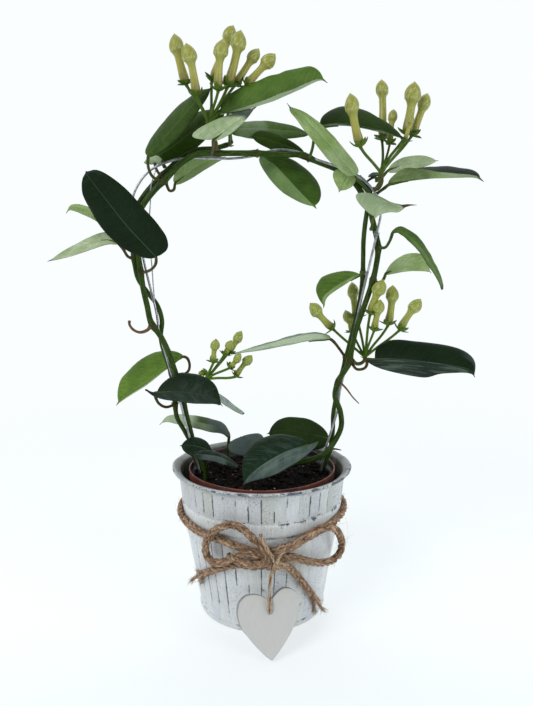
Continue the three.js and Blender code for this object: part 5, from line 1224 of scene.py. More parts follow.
# a few long fibres that stand off the loops
for j, (p, w, ln) in enumerate((
        ([41.5, -51.5, 53.5], [-0.45, -0.35, 1.0], 15.0), ([-43.5, -37.5, 36.0], [0.2, -0.1, -1.0], 8.0),
        ([-64.0, -24.0, 80.0], [-0.25, 0.0, 1.0], 14.0), ([63.0, -27.0, 79.0], [0.5, 0.0, -1.0], 20.0), ([60.8, -30.0, 62.0], [0.9, 0.0, 0.4], 11.0))):
    hair(fibres, p, w, ln, 0.07, 7000 + j, 0.8, n=12)
fib_ob = fibres.build("jute_rope_fibres", [M_JUTE_PALE], node="jute_rope")

wrap = Geo()
_wrap = smooth_curve([[-23.4, -62.6, 67.4], [-18.0, -66.4, 65.2], [-12.4, -69.0, 64.0], [-6.0, -70.3, 63.4], [0.4, -70.9, 64.4], [5.4, -71.4, 67.2], [9.6, -71.0, 70.8], [13.4, -68.2, 74.0], [16.8, -64.8, 75.2]], 60)
strands(wrap, _wrap, 3, 1.25, 1.42, 15.0, 12, seed=14, phase=0.8)
for i in range(120):
    k = _rs.randint(3, 57)
    w = unit(_rs.normal(size=3) + A([0, -0.7, 0]))
    hair(wrap, _wrap[k] + w * 2.3, w * 0.5 + unit(_wrap[min(k + 2, 60)] - _wrap[k]) * _rs.choice([-1, 1]), _rs.uniform(1.5, 5.0), _rs.uniform(0.05, 0.09), 2600 + i, 0.9, mat=1)
wrap_ob = wrap.build("jute_rope_knot", [M_JUTE, M_JUTE_PALE], node="jute_rope")

TWINE = [[8.2, -66.3, 60.0], [6.8, -65, 54], [5.9, -63.9, 46], [5.6, -63.8, 40], [5.7, -66.4, 34], [5.8, -68.7, 30.3], [5.8, -69.0, 28.6], [5.8, -67.4, 27.2], [5.8, -64.6, 25.6]]
TWINE_C = smooth_curve(TWINE, 90)


def twine_splay(s, L, k):
    return 0.75 * np.exp(-((s - 28.0) / 3.6) ** 2)


twine = Geo()
strands(twine, TWINE_C, 2, 0.56, 0.64, 34.0, 9, splay=twine_splay, squash=1.0, wobble=0.08, seed=9, ends=False, first=(1, 0, 0), phase=1.109)
twine_ob = twine.build("heart_twine_doubled", [M_JUTE_PALE], node="heart_twine")

# the twine's own little knot on the bow, its cut ends, and the turn it takes over the bow's centre
tk = Geo()
_rs = np.random.RandomState(77)
for i in range(26):
    k = _rs.randint(3, 86)
    w = unit(_rs.normal(size=3))
    hair(tk, TWINE_C[k] + w * 0.5, w + unit(TWINE_C[min(k + 2, 90)] - TWINE_C[k]) * _rs.choice([-1, 1]), _rs.uniform(1.0, 3.2), 0.045, 300 + i, 0.9)
_k0 = A([12.6, -75.6, 65.4])
_t = np.linspace(0, 2 * PI * 1.25, 44)
_turns = _k0 + np.stack([1.95 * np.cos(_t + 2.2), 0.45 * np.sin(2 * _t) - 0.03 * _t, 2.35 * np.sin(_t + 2.2)], 1)
strands(tk, _turns, 2, 0.36, 0.44, 5.0, 7, seed=31, ends=False)
for _pts in ([[6.7, -65.8, 54.4], [7.4, -68.2, 57.2], [8.3, -72.0, 60.0], [9.2, -74.8, 63.2], [10.0, -76.0, 66.6], [11.4, -76.4, 70.0], [13.6, -76.2, 73.6], [16.4, -74.6, 77.4]],
             [[7.0, -65.6, 53.4], [8.0, -68.2, 56.6], [9.0, -71.8, 59.6], [10.0, -74.2, 62.2], [10.9, -75.6, 65.4], [11.6, -76.3, 68.8], [12.6, -76.2, 72.0]],
             [[6.6, -65.9, 55.0], [7.2, -69.0, 58.4], [8.2, -73.4, 62.2], [9.0, -75.4, 65.2], [8.8, -76.4, 69.0], [7.4, -76.8, 72.6]],
             [[14.0, -75.4, 67.0], [16.4, -74.6, 66.2], [19.8, -72.0, 65.6], [23.6, -69.4, 65.2]]):
    _c = smooth_curve(_pts, 26)
    strands(tk, _c, 2, 0.42, 0.50, 6.5, 7, seed=int(_pts[0][0] * 10), ends=False)
    for i in range(7):
        w = unit(_rs.normal(size=3) + A([0, -0.6, 0]))
        q = _c[_rs.randint(2, 25)]
        hair(tk, q + w * 0.3, w + unit(_c[-1] - _c[0]) * 0.8, _rs.uniform(0.9, 2.6), 0.045, 1300 + i + int(_pts[0][0] * 100), 0.9)
_stub = smooth_curve([[8.6, -73.0, 69.6], [7.0, -76.0, 72.6], [5.0, -77.0, 76.0], [3.2, -76.8, 79.4], [1.2, -75.6, 83.4], [-0.6, -74.0, 87.4]], 34)
strands(tk, _stub, 4, 0.78, 0.62, 15.0, 7, seed=57, ends=True, mat=0)
for i in range(46):
    w = unit(_rs.normal(size=3))
    q = _stub[_rs.randint(2, 34)]
    hair(tk, q + w * 0.9, w * 0.6 + unit(_stub[-1] - _stub[0]) * _rs.choice([1, 1, -0.5]), _rs.uniform(1.2, 3.4), 0.06, 2300 + i, 0.8)
tk_ob = tk.build("heart_twine_knot", [M_JUTE_PALE], node="jute_rope")

# ---------------------------------------------------------------- the painted zinc pot
WALL = A([(0, 48.7), (6.2, 49.6), (25, 52.4), (43, 55.6), (62, 58.9), (78, 61.0), (88, 62.6), (104, 64.3), (108.5, 64.9)])


def wall_at(z):
    return np.interp(z, WALL[:, 0], WALL[:, 1])


N_LOW, N_UP = 38, 44
LOW_OFF = [0.0, 0.055, 0.10, 0.16, 0.26, 0.38, 0.5, 0.62, 0.74, 0.84, 0.90, 0.945]     # share of a rib, groove at 0
UP_OFF = [0.0, 0.055, 0.10, 0.18, 0.34, 0.5, 0.66, 0.82, 0.90, 0.945]
TH_LOW = (np.arange(N_LOW)[:, None] + A(LOW_OFF)[None]).reshape(-1) * 2 * PI / N_LOW
TH_UP = (np.arange(N_UP)[:, None] + A(UP_OFF)[None]).reshape(-1) * 2 * PI / N_UP
TH_IN = np.arange(220) * 2 * PI / 220


def groove(th, count):
    """Distance in millimetres from the nearest groove at radius 60, and its number."""
    q = th / (2 * PI) * count
    k = np.round(q)
    return np.abs(q - k) * (2 * PI * 60 / count), k % count


def pot_point(th, r, z):
    return np.stack([r * np.sin(th), -r * np.cos(th), z], -1)


def chance(k, seed):
    return (lattice(np.asarray(k).astype(np.int64), np.int64(seed), np.int64(7), 3) + 1) / 2


# worn lengths of the grooves near the front: number, from, to (z), strength
UP_FRONT = {-7: (92, 107, .45), -6: (92, 107, .7), -5: (91, 107, .85), -4: (90.4, 107, .9), -3: (105.2, 107.4, .8), -2: (101, 107, .85),
            -1: (89.8, 102, 1.0), 0: (89.6, 107.6, 1.0), 1: (89.8, 98.5, .95), 2: (100, 107.5, .9), 3: (105.4, 107.4, .5), 4: (90.2, 107, .9),
            5: (93, 107, .8), 6: (92, 106, .6), 7: (92, 107, .4)}
LOW_FRONT = {-7: (17, 62, .45), -6: (18, 66, .7), -5: (15, 66, .8), -4: (17, 70, .9), -3: (12, 72, .95), -2: (38, 58, .9), -1: (32, 40, .9),
             0: (14, 60, 1.0), 1: (20, 62, .95), 2: (26, 57, .85), 3: (30, 52, .35), 4: (24, 34, .6), 5: (30, 44, .45), 6: (24, 60, .3), 7: (18, 50, .35)}


def worn_lines(th, z, count, front, lo, hi, seed):
    d, k = groove(th, count)
    ks = np.where(k > count / 2, k - count, k).astype(int)
    out = np.zeros(np.broadcast(th, z).shape)
    for n in range(-count // 2, count // 2 + 1):
        pick = ks == n
        if not pick.any():
            continue
        if n in front:
            a, b, w = front[n]
        else:
            r1, r2, r3 = chance(n, seed), chance(n, seed + 1), chance(n, seed + 2)
            a, b, w = lo + (hi - lo) * 0.45 * r1 ** 2, hi - (hi - lo) * 0.45 * r2 ** 2, 0.3 + 0.7 * r3
        m = smooth(a - 1.0, a + 0.6, z) * smooth(b + 1.0, b - 0.6, z) * w
        out = np.where(pick, m, out)
    wide = 0.52 + 0.30 * fbm(np.stack([ks * 3.7 + 0 * z, z / 6.0, 0 * z], -1), 3, seed + 9)
    return 1.18 * out * np.exp(-(d / wide) ** 2)


pot = Geo()
Z_LOW = np.r_[5.2, 6.2, 7.2, 8.4, np.linspace(9.6, 75.4, 54), 76.2]
Z_UP = np.r_[89.2, 89.9, np.linspace(90.8, 106.8, 17), 107.6]


def wall_rows(zs, th, count, front, lo, hi, seed, depth):
    Zg, Tg = np.meshgrid(zs, th, indexing="ij")
    r = wall_at(Zg)
    d, k = groove(Tg, count)
    fade = smooth(lo - 1.2, lo + 1.5, Zg) * smooth(hi + 1.2, hi - 1.5, Zg)
    g = np.exp(-(d / 0.52) ** 2)
    crown = np.cos(np.clip(d / (PI * 60 / count), 0, 1) * PI) * -0.5 + 0.5
    r = r - depth * g * fade + 0.28 * crown * fade - 0.10
    P = pot_point(Tg, r, Zg)
    lump = fbm(np.stack([Tg * 60 / 7.0, Zg / 26.0, Tg * 0], -1), 3, seed)
    r = r + 0.13 * lump + 0.05 * fbm(P / 1.4, 2, seed + 5)
    wear = worn_lines(Tg, Zg, count, front, lo, hi, seed)
    return Tg, Zg, r, wear


rings = []                    # (z or place, angles, radii, heights, wear, dirt and painted shade, inner)


def ring(th, r, z, wear=0.0, dirt=0.0, inner=0.0):
    n = len(th)
    full = lambda v: np.broadcast_to(np.asarray(v, float), (n,)).copy()
    rings.append((th, full(r), full(z), full(wear), full(dirt), full(inner)))


def spots(th, z, size, seed, cut):
    return smooth(cut, cut + 0.22, fbm(np.stack([th * 62 / size, np.asarray(z, float) / size + 0 * th, 0 * th], -1), 3, seed))


# underside and base bead
for r, z in ((0.6, 0.25), (16, 0.22), (32, 0.2), (43, 0.12), (47.2, 0.0), (48.6, 0.05)):
    ring(TH_IN if r < 40 else TH_LOW, r, z, 0.1, 0.45, 0.35)
for r, z, w in ((49.5, 0.75, 0.3), (49.95, 1.7, 0.15), (49.9, 2.7, 0.12), (49.55, 3.6, 0.35), (49.25, 4.3, 0.62), (49.3, 4.8, 0.35)):
    ring(TH_LOW, r + 0.12 * fbm(np.stack([TH_LOW * 6, TH_LOW * 0, TH_LOW * 0], -1), 2, 3), z,
         w * (0.85 + 0.3 * fbm(np.stack([TH_LOW * 22, TH_LOW * 0 + z, TH_LOW * 0], -1), 2, 9)) + 0.25 * spots(TH_LOW, z, 7.0, 31, 0.1), 0.25)
# lower wall
Tg, Zg, rg, wg = wall_rows(Z_LOW, TH_LOW, N_LOW, LOW_FRONT, 9.0, 75.0, 21, 0.42)
low_spots = smooth(0.22, 0.6, fbm(np.stack([Tg * 60 / 7.0, Zg / 9.0, 0 * Tg], -1), 3, 71)) * 0.42
near_knot = np.exp(-((Tg * 60 - 5) / 20) ** 2 - ((Zg - 72) / 6) ** 2) + np.exp(-(((Tg - 2 * PI) * 60 - 5) / 20) ** 2 - ((Zg - 72) / 6) ** 2)
low_dirt = 0.18 + 0.22 * fbm(np.stack([Tg * 60 / 9, Zg / 30, 0 * Tg], -1), 3, 77) + 0.10 * smooth(-0.2, 0.9, np.sin(Tg)) + 0.3 * near_knot
for i in range(len(Z_LOW)):
    ring(TH_LOW, rg[i], Zg[i], np.maximum(wg[i], low_spots[i]), low_dirt[i])
# raised plain band: a small step below, a step above, chips along both edges
for z, dr, w, d in ((77.0, -0.28, 0.36, 0.3), (77.6, 0.0, 0.46, 0.35), (78.3, 0.35, 0.3, 0.3), (79.4, 0.5, 0.05, 0.22)):
    ring(TH_LOW, wall_at(z) + dr, z + 0.12 * fbm(np.stack([TH_LOW * 9, TH_LOW * 0, TH_LOW * 0], -1), 2, 5),
         w * 0.9 + 0.30 * spots(TH_LOW, z * 0.5, 7.0, 51, 0.02), d)
for z, dr, w, d in ((81.2, 0.5, 0.0, 0.2), (83.0, 0.45, 0.0, 0.18), (84.8, 0.45, 0.0, 0.2), (86.4, 0.5, 0.05, 0.24), (87.4, 0.42, 0.22, 0.32), (88.0, 0.15, 0.34, 0.38), (88.5, -0.12, 0.40, 0.36)):
    ring(TH_UP, wall_at(z) + dr + 0.06 * fbm(np.stack([TH_UP * 18, TH_UP * 0 + z / 6, TH_UP * 0], -1), 2, 15), z + 0.12 * fbm(np.stack([TH_UP * 9, TH_UP * 0, TH_UP * 0], -1), 2, 6),
         w * 0.9 + 0.42 * spots(TH_UP, z * 0.5, 4.4, 57, 0.04 if z > 85.5 else 0.25), d)
# upper wall
Tg, Zg, rg, wg = wall_rows(Z_UP, TH_UP, N_UP, UP_FRONT, 89.6, 107.6, 121, 0.42)
up_spots = smooth(0.22, 0.6, fbm(np.stack([Tg * 64 / 7.0, Zg / 7.0, 0 * Tg], -1), 3, 171)) * 0.42
# grey rubbing a little heavier towards the top, just under the rolled rim, as painted shade
up_dirt = 0.2 + 0.2 * fbm(np.stack([Tg * 64 / 9, Zg / 22, 0 * Tg], -1), 3, 177) + 0.12 * smooth(104, 108, Zg)
foot = np.exp(-((Zg - 89.8) / 0.9) ** 2) * (0.26 + 0.52 * spots(Tg, Zg * 0.5, 4.2, 191, 0.02))
for i in range(len(Z_UP)):
    ring(TH_UP, rg[i], Zg[i], np.maximum(np.maximum(wg[i], up_spots[i]), foot[i] * 0.9), up_dirt[i])
# flared and rolled rim, a little out of true
rim_w = 0.8 * fbm(np.stack([np.cos(TH_UP) * 2.1, np.sin(TH_UP) * 2.1, TH_UP * 0], -1), 2, 61) + 0.22 * fbm(np.stack([np.cos(TH_UP) * 9, np.sin(TH_UP) * 9, TH_UP * 0], -1), 2, 66)
for k, (r, z, w, d) in enumerate(((65.1, 108.3, 0.12, 0.4), (65.7, 109.1, 0.18, 0.5), (66.7, 110.0, 0.24, 0.6), (67.9, 110.8, 0.30, 0.62), (69.0, 111.3, 0.34, 0.55), (69.7, 111.8, 0.40, 0.5),
                                  (69.95, 112.5, 0.42, 0.48), (69.6, 113.1, 0.36, 0.5), (68.8, 113.4, 0.22, 0.55), (67.6, 113.2, 0.2, 0.6), (66.2, 112.6, 0.2, 0.62), (65.0, 111.9, 0.2, 0.62))):
    q = min(k / 4, 1.0)
    ring(TH_UP, r + q * rim_w * 0.7, z + q * rim_w * 0.35, w * 1.3 + 0.26 * spots(TH_UP, z * 0.8, 7.0, 81, 0.0), d * 1.08, smooth(7, 11, k) * 0.75)
# inside, with the ribs showing through the sheet
for z in np.r_[111.0, 109.6, 108.0, 106.0, np.linspace(103, 60, 14), np.linspace(54, 6, 9)]:
    r = wall_at(z) - 1.25
    d, _k = groove(TH_UP, N_UP if z > 84 else N_LOW)
    if z > 84:
        ring(TH_UP, r - 0.35 * np.exp(-(d / 1.1) ** 2) * smooth(88, 91, z) * smooth(109, 106, z), z, 0.15 + 0.3 * spots(TH_UP, z, 3.5, 93, 0.3), 0.5, 1.0)
    else:
        ring(TH_IN, r, z, 0.15, 0.5, 1.0)
for r, z in ((47.0, 2.2), (42, 1.7), (26, 1.6), (10, 1.6), (0.6, 1.6)):
    ring(TH_IN, r, z, 0.1, 0.6, 1.0)

_base = []
for th, r, z, w, d, inn in rings:
    b = pot.add(pot_point(th, r, z), [], 0, wear=w, dirt=d, inner=inn, th=th, zz=z)
    _base.append(b)
_F = []
for i in range(len(rings) - 1):
    ta, tb = rings[i][0], rings[i + 1][0]
    if len(ta) == len(tb):
        n = len(ta)
        _F += [(_base[i] + j, _base[i] + (j + 1) % n, _base[i + 1] + (j + 1) % n, _base[i + 1] + j) for j in range(n)]
    else:
        _F += zipper(_base[i], len(ta), ta, _base[i + 1], len(tb), tb)
n = len(rings[0][0])
c0 = pot.add([[0, 0, 0.25]], [], 0, wear=0.1, dirt=0.5, inner=0.3)
_F += [(c0, _base[0] + (j + 1) % n, _base[0] + j) for j in range(n)]
n = len(rings[-1][0])
c1 = pot.add([[0, 0, 1.6]], [], 0, wear=0.1, dirt=0.5, inner=1.0)
_F += [(c1, _base[-1] + j, _base[-1] + (j + 1) % n) for j in range(n)]
pot.f += _F
pot.m += [0] * len(_F)
pot_ob = pot.build("cachepot_painted", [M_PAINT], node="cachepot")

# ---------------------------------------------------------------- growing pot, soil
gp = Geo()
TH_G = np.arange(180) * 2 * PI / 180


def gr_out(z):
    return 41 + 13.6 * (z - 2) / 101.5


_prof = [(0.5, 2.0), (20, 2.0), (34, 2.0), (39.4, 2.0), (40.6, 2.25), (41.1, 3.0)]
_prof += [(gr_out(z), z) for z in (12, 26, 40, 54, 68, 82, 94, 100)]
_prof += [(54.5, 102.6), (54.65, 103.4), (55.6, 103.9), (56.9, 104.25), (57.25, 104.9), (57.2, 106.4), (57.3, 108.2), (57.4, 109.8), (57.5, 110.8), (57.35, 111.35), (56.9, 111.55),
          (56.35, 111.4), (56.15, 110.8), (56.0, 109.0), (55.85, 107.2), (55.6, 106.3), (54.9, 105.8), (54.2, 105.6), (53.75, 105.2), (53.5, 104.4), (53.2, 102.6)]
_prof += [(gr_out(z) - 1.3, z) for z in (96, 80, 60, 40, 20, 6)]
_prof += [(38.5, 3.5), (20, 3.3), (0.5, 3.3)]
_rows = []
for r, z in _prof:
    rr = r + (0.12 * fbm(np.stack([np.cos(TH_G) * 2.4, np.sin(TH_G) * 2.4, TH_G * 0 + z / 40], -1), 2, 7) if r > 40 else 0)
    zz = z + (0.25 * fbm(np.stack([np.cos(TH_G) * 1.6, np.sin(TH_G) * 1.6, TH_G * 0], -1), 2, 8) if z > 103 else 0)
    _rows.append(pot_point(TH_G, np.broadcast_to(rr, TH_G.shape), np.broadcast_to(zz, TH_G.shape)))
_V = np.vstack(_rows)
_zz = np.repeat([z for r, z in _prof], 180)
_in = np.repeat([1.0 if i > 25 else 0.0 for i in range(len(_prof))], 180)
_pi = np.repeat(np.arange(len(_prof)), 180)
_line = 0.50 * np.isin(_pi, (13, 16)) + 0.3 * np.isin(_pi, (22, 23, 25))
# dirt: random dirt and dark lines round the rim, and the inner wall painted darker, more so deeper in and at the back,
# as painted shade
gp.add(_V, grid_faces(len(_prof), 180, wrap=True), 0, dusty=0.26 * np.isin(_pi, range(23, 30)) * smooth(20, -25, _V[:, 1]) + 0.15 * np.isin(_pi, range(17, 23)), dirt=0.22 + (0.34 + 0.26 * smooth(-20, 30, _V[:, 1])) * (_pi > 25) + 0.25 * (_pi > 29) + 0.35 * fbm(_V / 7.0, 3, 5) + _line * (0.7 + 0.6 * fbm(_V / 12.0, 2, 15)))
gp.add([[0, 0, 2.0]], [], 0)
gp.f += [(len(_V), (j + 1) % 180, j) for j in range(180)]
gp.add([[0, 0, 3.3]], [], 0)
_e = (len(_prof) - 1) * 180
gp.f += [(len(_V) + 1, _e + j, _e + (j + 1) % 180) for j in range(180)]
gp.m += [0] * 360
gp_ob = gp.build("growing_pot_plastic", [M_TERRA], node="growing_pot", sharp=50)

so = Geo()
_nr, _nt = 46, 170
_rr = np.linspace(0.4, 52.3, _nr)
Rg, Tg = np.meshgrid(_rr, np.arange(_nt) * 2 * PI / _nt, indexing="ij")
X, Y = Rg * np.sin(Tg), -Rg * np.cos(Tg)
_q = np.stack([X, Y, X * 0], -1)
Zs = 103.9 + 1.1 * smooth(50, 20, Rg) + 0.9 * fbm(_q / 9.0, 3, 3) + 0.75 * fbm(_q / 2.6, 3, 4) - 0.6 * smooth(49, 52, Rg)
top = np.stack([X, Y, Zs], -1).reshape(-1, 3)
low = pot_point(np.arange(_nt) * 2 * PI / _nt, np.full(_nt, gr_out(60) - 2.0), np.full(_nt, 60.0))
foot_ = pot_point(np.arange(_nt) * 2 * PI / _nt, np.full(_nt, 39.0), np.full(_nt, 4.2))
V = np.vstack([top, low, foot_, [[0, 0, Zs[0].mean()]], [[0, 0, 4.2]]])
F = grid_faces(_nr + 2, _nt, wrap=True, flip=True)
k = (_nr + 2) * _nt
F += [(k, j, (j + 1) % _nt) for j in range(_nt)]
e = (_nr + 1) * _nt
F += [(k + 1, e + (j + 1) % _nt, e + j) for j in range(_nt)]
so.add(V, F, 0, tone=0.0)
_rs = np.random.RandomState(5)
ICO_V = unit(A([(-1, 1.618, 0), (1, 1.618, 0), (-1, -1.618, 0), (1, -1.618, 0), (0, -1, 1.618), (0, 1, 1.618), (0, -1, -1.618), (0, 1, -1.618), (1.618, 0, -1), (1.618, 0, 1), (-1.618, 0, -1), (-1.618, 0, 1)]))
ICO_F = [(0, 11, 5), (0, 5, 1), (0, 1, 7), (0, 7, 10), (0, 10, 11), (1, 5, 9), (5, 11, 4), (11, 10, 2), (10, 7, 6), (7, 1, 8), (3, 9, 4), (3, 4, 2), (3, 2, 6), (3, 6, 8), (3, 8, 9), (4, 9, 5), (2, 4, 11), (6, 2, 10), (8, 6, 7), (9, 8, 1)]


def finer(V, F):
    V, out, seen = list(map(tuple, V)), [], {}
    for a, b, c in F:
        m = []
        for p, q in ((a, b), (b, c), (c, a)):
            key = (min(p, q), max(p, q))
            if key not in seen:
                seen[key] = len(V)
                V.append(tuple(unit(A(V[p]) + A(V[q]))))
            m.append(seen[key])
        out += [(a, m[0], m[2]), (b, m[1], m[0]), (c, m[2], m[1]), tuple(m)]
    return A(V), out


ICO2_V, ICO2_F = finer(ICO_V, ICO_F)


def soil_height(x, y):
    r = math.hypot(x, y)
    q = A([[x, y, 0]])
    return 103.9 + 1.1 * float(smooth(50, 20, r)) + 0.9 * float(fbm(q / 9.0, 3, 3)[0]) + 0.75 * float(fbm(q / 2.6, 3, 4)[0]) - 0.6 * float(smooth(49, 52, r))


for i in range(1100):
    r = 51.0 * math.sqrt(_rs.rand())
    a = _rs.rand() * 2 * PI
    x, y = r * math.cos(a), r * math.sin(a)
    big = _rs.rand()
    sz = 0.45 + 1.0 * big ** 3 * 1.6
    sc = A([_rs.uniform(0.7, 1.6), _rs.uniform(0.6, 1.2), _rs.uniform(0.4, 0.9)]) * sz
    pale = _rs.rand() < 0.005
    v = (ICO2_V if sz > 1.0 else ICO_V) * (1 + 0.28 * fbm((ICO2_V if sz > 1.0 else ICO_V) * 1.7 + i * 3.3, 2, 9)[:, None]) * sc
    w = _rs.uniform(0, 2 * PI)
    c_, s_ = math.cos(w), math.sin(w)
    v = v @ A([[c_, s_, 0], [-s_, c_, 0], [0, 0, 1]]) + A([x, y, soil_height(x, y) + sc[2] * 0.35])
    so.add(v, ICO2_F if sz > 1.0 else ICO_F, 1 if pale else 0, tone=_rs.rand() ** 8 * 0.3)
for i in range(90):                                   # short bits of root and straw
    r = 49.0 * math.sqrt(_rs.rand())
    a = _rs.rand() * 2 * PI
    x, y = r * math.cos(a), r * math.sin(a)
    w = _rs.uniform(0, 2 * PI)
    L = _rs.uniform(3, 9)
    P = []
    for q in np.linspace(-0.5, 0.5, 6):
        px, py = x + q * L * math.cos(w) + _rs.normal() * 0.25, y + q * L * math.sin(w) + _rs.normal() * 0.25
        P.append([px, py, soil_height(px, py) + 0.55 + 0.3 * _rs.rand()])
    v, f, s, an = tube(smooth_curve(P, 8), _rs.uniform(0.13, 0.3), 4)
    so.add(v, f, 0, tone=_rs.uniform(0.05, 0.6))
so_ob = so.build("soil_crumbs", [M_SOIL, M_GRIT], node="soil")

# ---------------------------------------------------------------- heart tag
HEART = [[-1, 37.3], [-3.4, 38.9], [-7.7, 40.9], [-13.1, 41.7], [-18.5, 40.5], [-22.4, 36.7], [-23.9, 31.1], [-23, 24.7], [-20.3, 19], [-14.9, 13.1], [-9.7, 7.6], [-4.4, 3], [0, 0]]
HEART2 = [[0, 0], [4.9, 5.6], [10.2, 13], [14.5, 19.9], [17.9, 27.6], [19.3, 35.5], [18.7, 41], [16.1, 44.5], [11.8, 46.2], [7.4, 45.5], [3.6, 42.7], [0.7, 39.5], [-1, 37.3]]
HOLE, HOLE_R = A([-1.6, 30.76]), 1.6
_o3 = lambda P: [[x, y, 0] for x, y in P]
_ol = np.vstack([smooth_curve(_o3(HEART), 92)[:-1], smooth_curve(_o3(HEART2), 100)[:-1]])[:, :2]
for _ in range(2):
    _keep = np.ones(len(_ol), bool)
    _sm = 0.25 * np.roll(_ol, 1, 0) + 0.5 * _ol + 0.25 * np.roll(_ol, -1, 0)
    _ol = _sm
_lean = math.radians(58.201)
EX, EY, EN = A([1, 0, 0]), A([0, math.cos(_lean), math.sin(_lean)]), A([0, -math.sin(_lean), math.cos(_lean)])
TIPP = A([7.43, -84.44, 1.7])
ht = Geo()
_m = len(_ol)
_c = HOLE
_dirs = _ol - _c
_cir = []
for i in range(_m):
    d = _dirs[i] / np.linalg.norm(_dirs[i])
    _cir.append(_c + d * HOLE_R)
_cir = A(_cir)


def heart_ring(k, inset, depth, edge, ply):
    """k runs from 0 at the hole to 1 at the outline."""
    P = _cir + (_ol - _cir) * k
    if inset:
        t = unit(np.roll(_ol, -1, 0) - np.roll(_ol, 1, 0))
        P = P - np.stack([-t[:, 1], t[:, 0]], 1) * inset * (-1 if k > 0.5 else 1)
    Q = TIPP + P[:, :1] * EX + P[:, 1:] * EY - depth * EN + (-0.42 * EX + 0.36 * EY) * depth * min(k, 1.0)
    Q = Q + EN * (0.05 * fbm(np.stack([P[:, 0] * 0.25, P[:, 1] * 0.03, P[:, 0] * 0], -1), 2, 3))[:, None] * (1 if depth < 1.5 else 0)
    return ht.add(Q, [], 0, hx=P[:, 0], hy=P[:, 1], edge=edge, ply=ply)


_rings = [heart_ring(0.0, -0.0, 1.5, 0.6, 0.8), heart_ring(0.0, 0.0, 0.35, 0.55, 0.3), heart_ring(0.012, 0, 0.08, 0.45, 0.0), heart_ring(0.03, 0, 0.0, 0.15, 0.0)]
for k in np.linspace(0.08, 0.94, 24):
    _rings.append(heart_ring(k, 0, 0.0, 0.0, 0.0))
_rings += [heart_ring(0.972, 0, 0.0, 0.18, 0.0), heart_ring(0.988, 0, 0.05, 0.5, 0.0), heart_ring(0.998, 0, 0.2, 0.6, 0.1), heart_ring(1.0, 0, 0.5, 0.5, 0.6), heart_ring(1.0, 0, 1.2, 0.3, 0.8), heart_ring(1.0, 0, 1.9, 0.3, 0.8),
           heart_ring(1.0, 0, 2.55, 0.5, 0.6), heart_ring(0.998, 0, 2.82, 0.6, 0.2), heart_ring(0.985, 0, 2.96, 0.5, 0.0), heart_ring(0.96, 0, 3.0, 0.2, 0.0)]
for k in np.linspace(0.85, 0.1, 10):
    _rings.append(heart_ring(k, 0, 3.0, 0.0, 0.0))
_rings += [heart_ring(0.02, 0, 2.95, 0.4, 0.1), heart_ring(0.0, 0, 2.6, 0.55, 0.5)]
for i in range(len(_rings)):
    a, b = _rings[i], _rings[(i + 1) % len(_rings)]
    for j in range(_m):
        ht.f.append((a + j, a + (j + 1) % _m, b + (j + 1) % _m, b + j))
        ht.m.append(0)
ht_ob = ht.build("heart_tag_painted", [M_WOOD], node="heart_tag", sharp=40)
# ---------------------------------------------------------------- wires
for name, w in WIRES.items():
    C = smooth_curve(w["path"], int(length_of(A(w["path"])) / 2.0))
    g = Geo()
    q = fbm(C / 40.0, 2, 3)
    C = C + 0.12 * np.stack([q, fbm(C / 37.0, 2, 4), q * 0], 1)
    V, F, s, a = tube(C, w["radius"] * (0.88 if name == "hoop_wire" else 0.95), 12)
    g.add(V, F, 0, fs=s, fa=a)
    if name == "hoop_wire":
        # the tie: two turns of thin wire that hold the stems to the hoop at the top left
        for k, (i0, rad, seed) in enumerate(((int(len(C) * 0.30), 2.0, 1), (int(len(C) * 0.685), 1.9, 2))):
            T, N, B = frames_of(C)
            t = np.linspace(0, 2 * PI * 2.3, 56)
            ax = C[i0] + T[i0] * (t[:, None] / (2 * PI) * 1.25)
            hx = ax + rad * (np.cos(t)[:, None] * N[i0] + np.sin(t)[:, None] * B[i0])
            V, F, s, a = tube(hx, 0.35, 6)
            g.add(V, F, 0, fs=s, fa=a)
    g.build(name + "_steel", [M_STEEL], node=name)

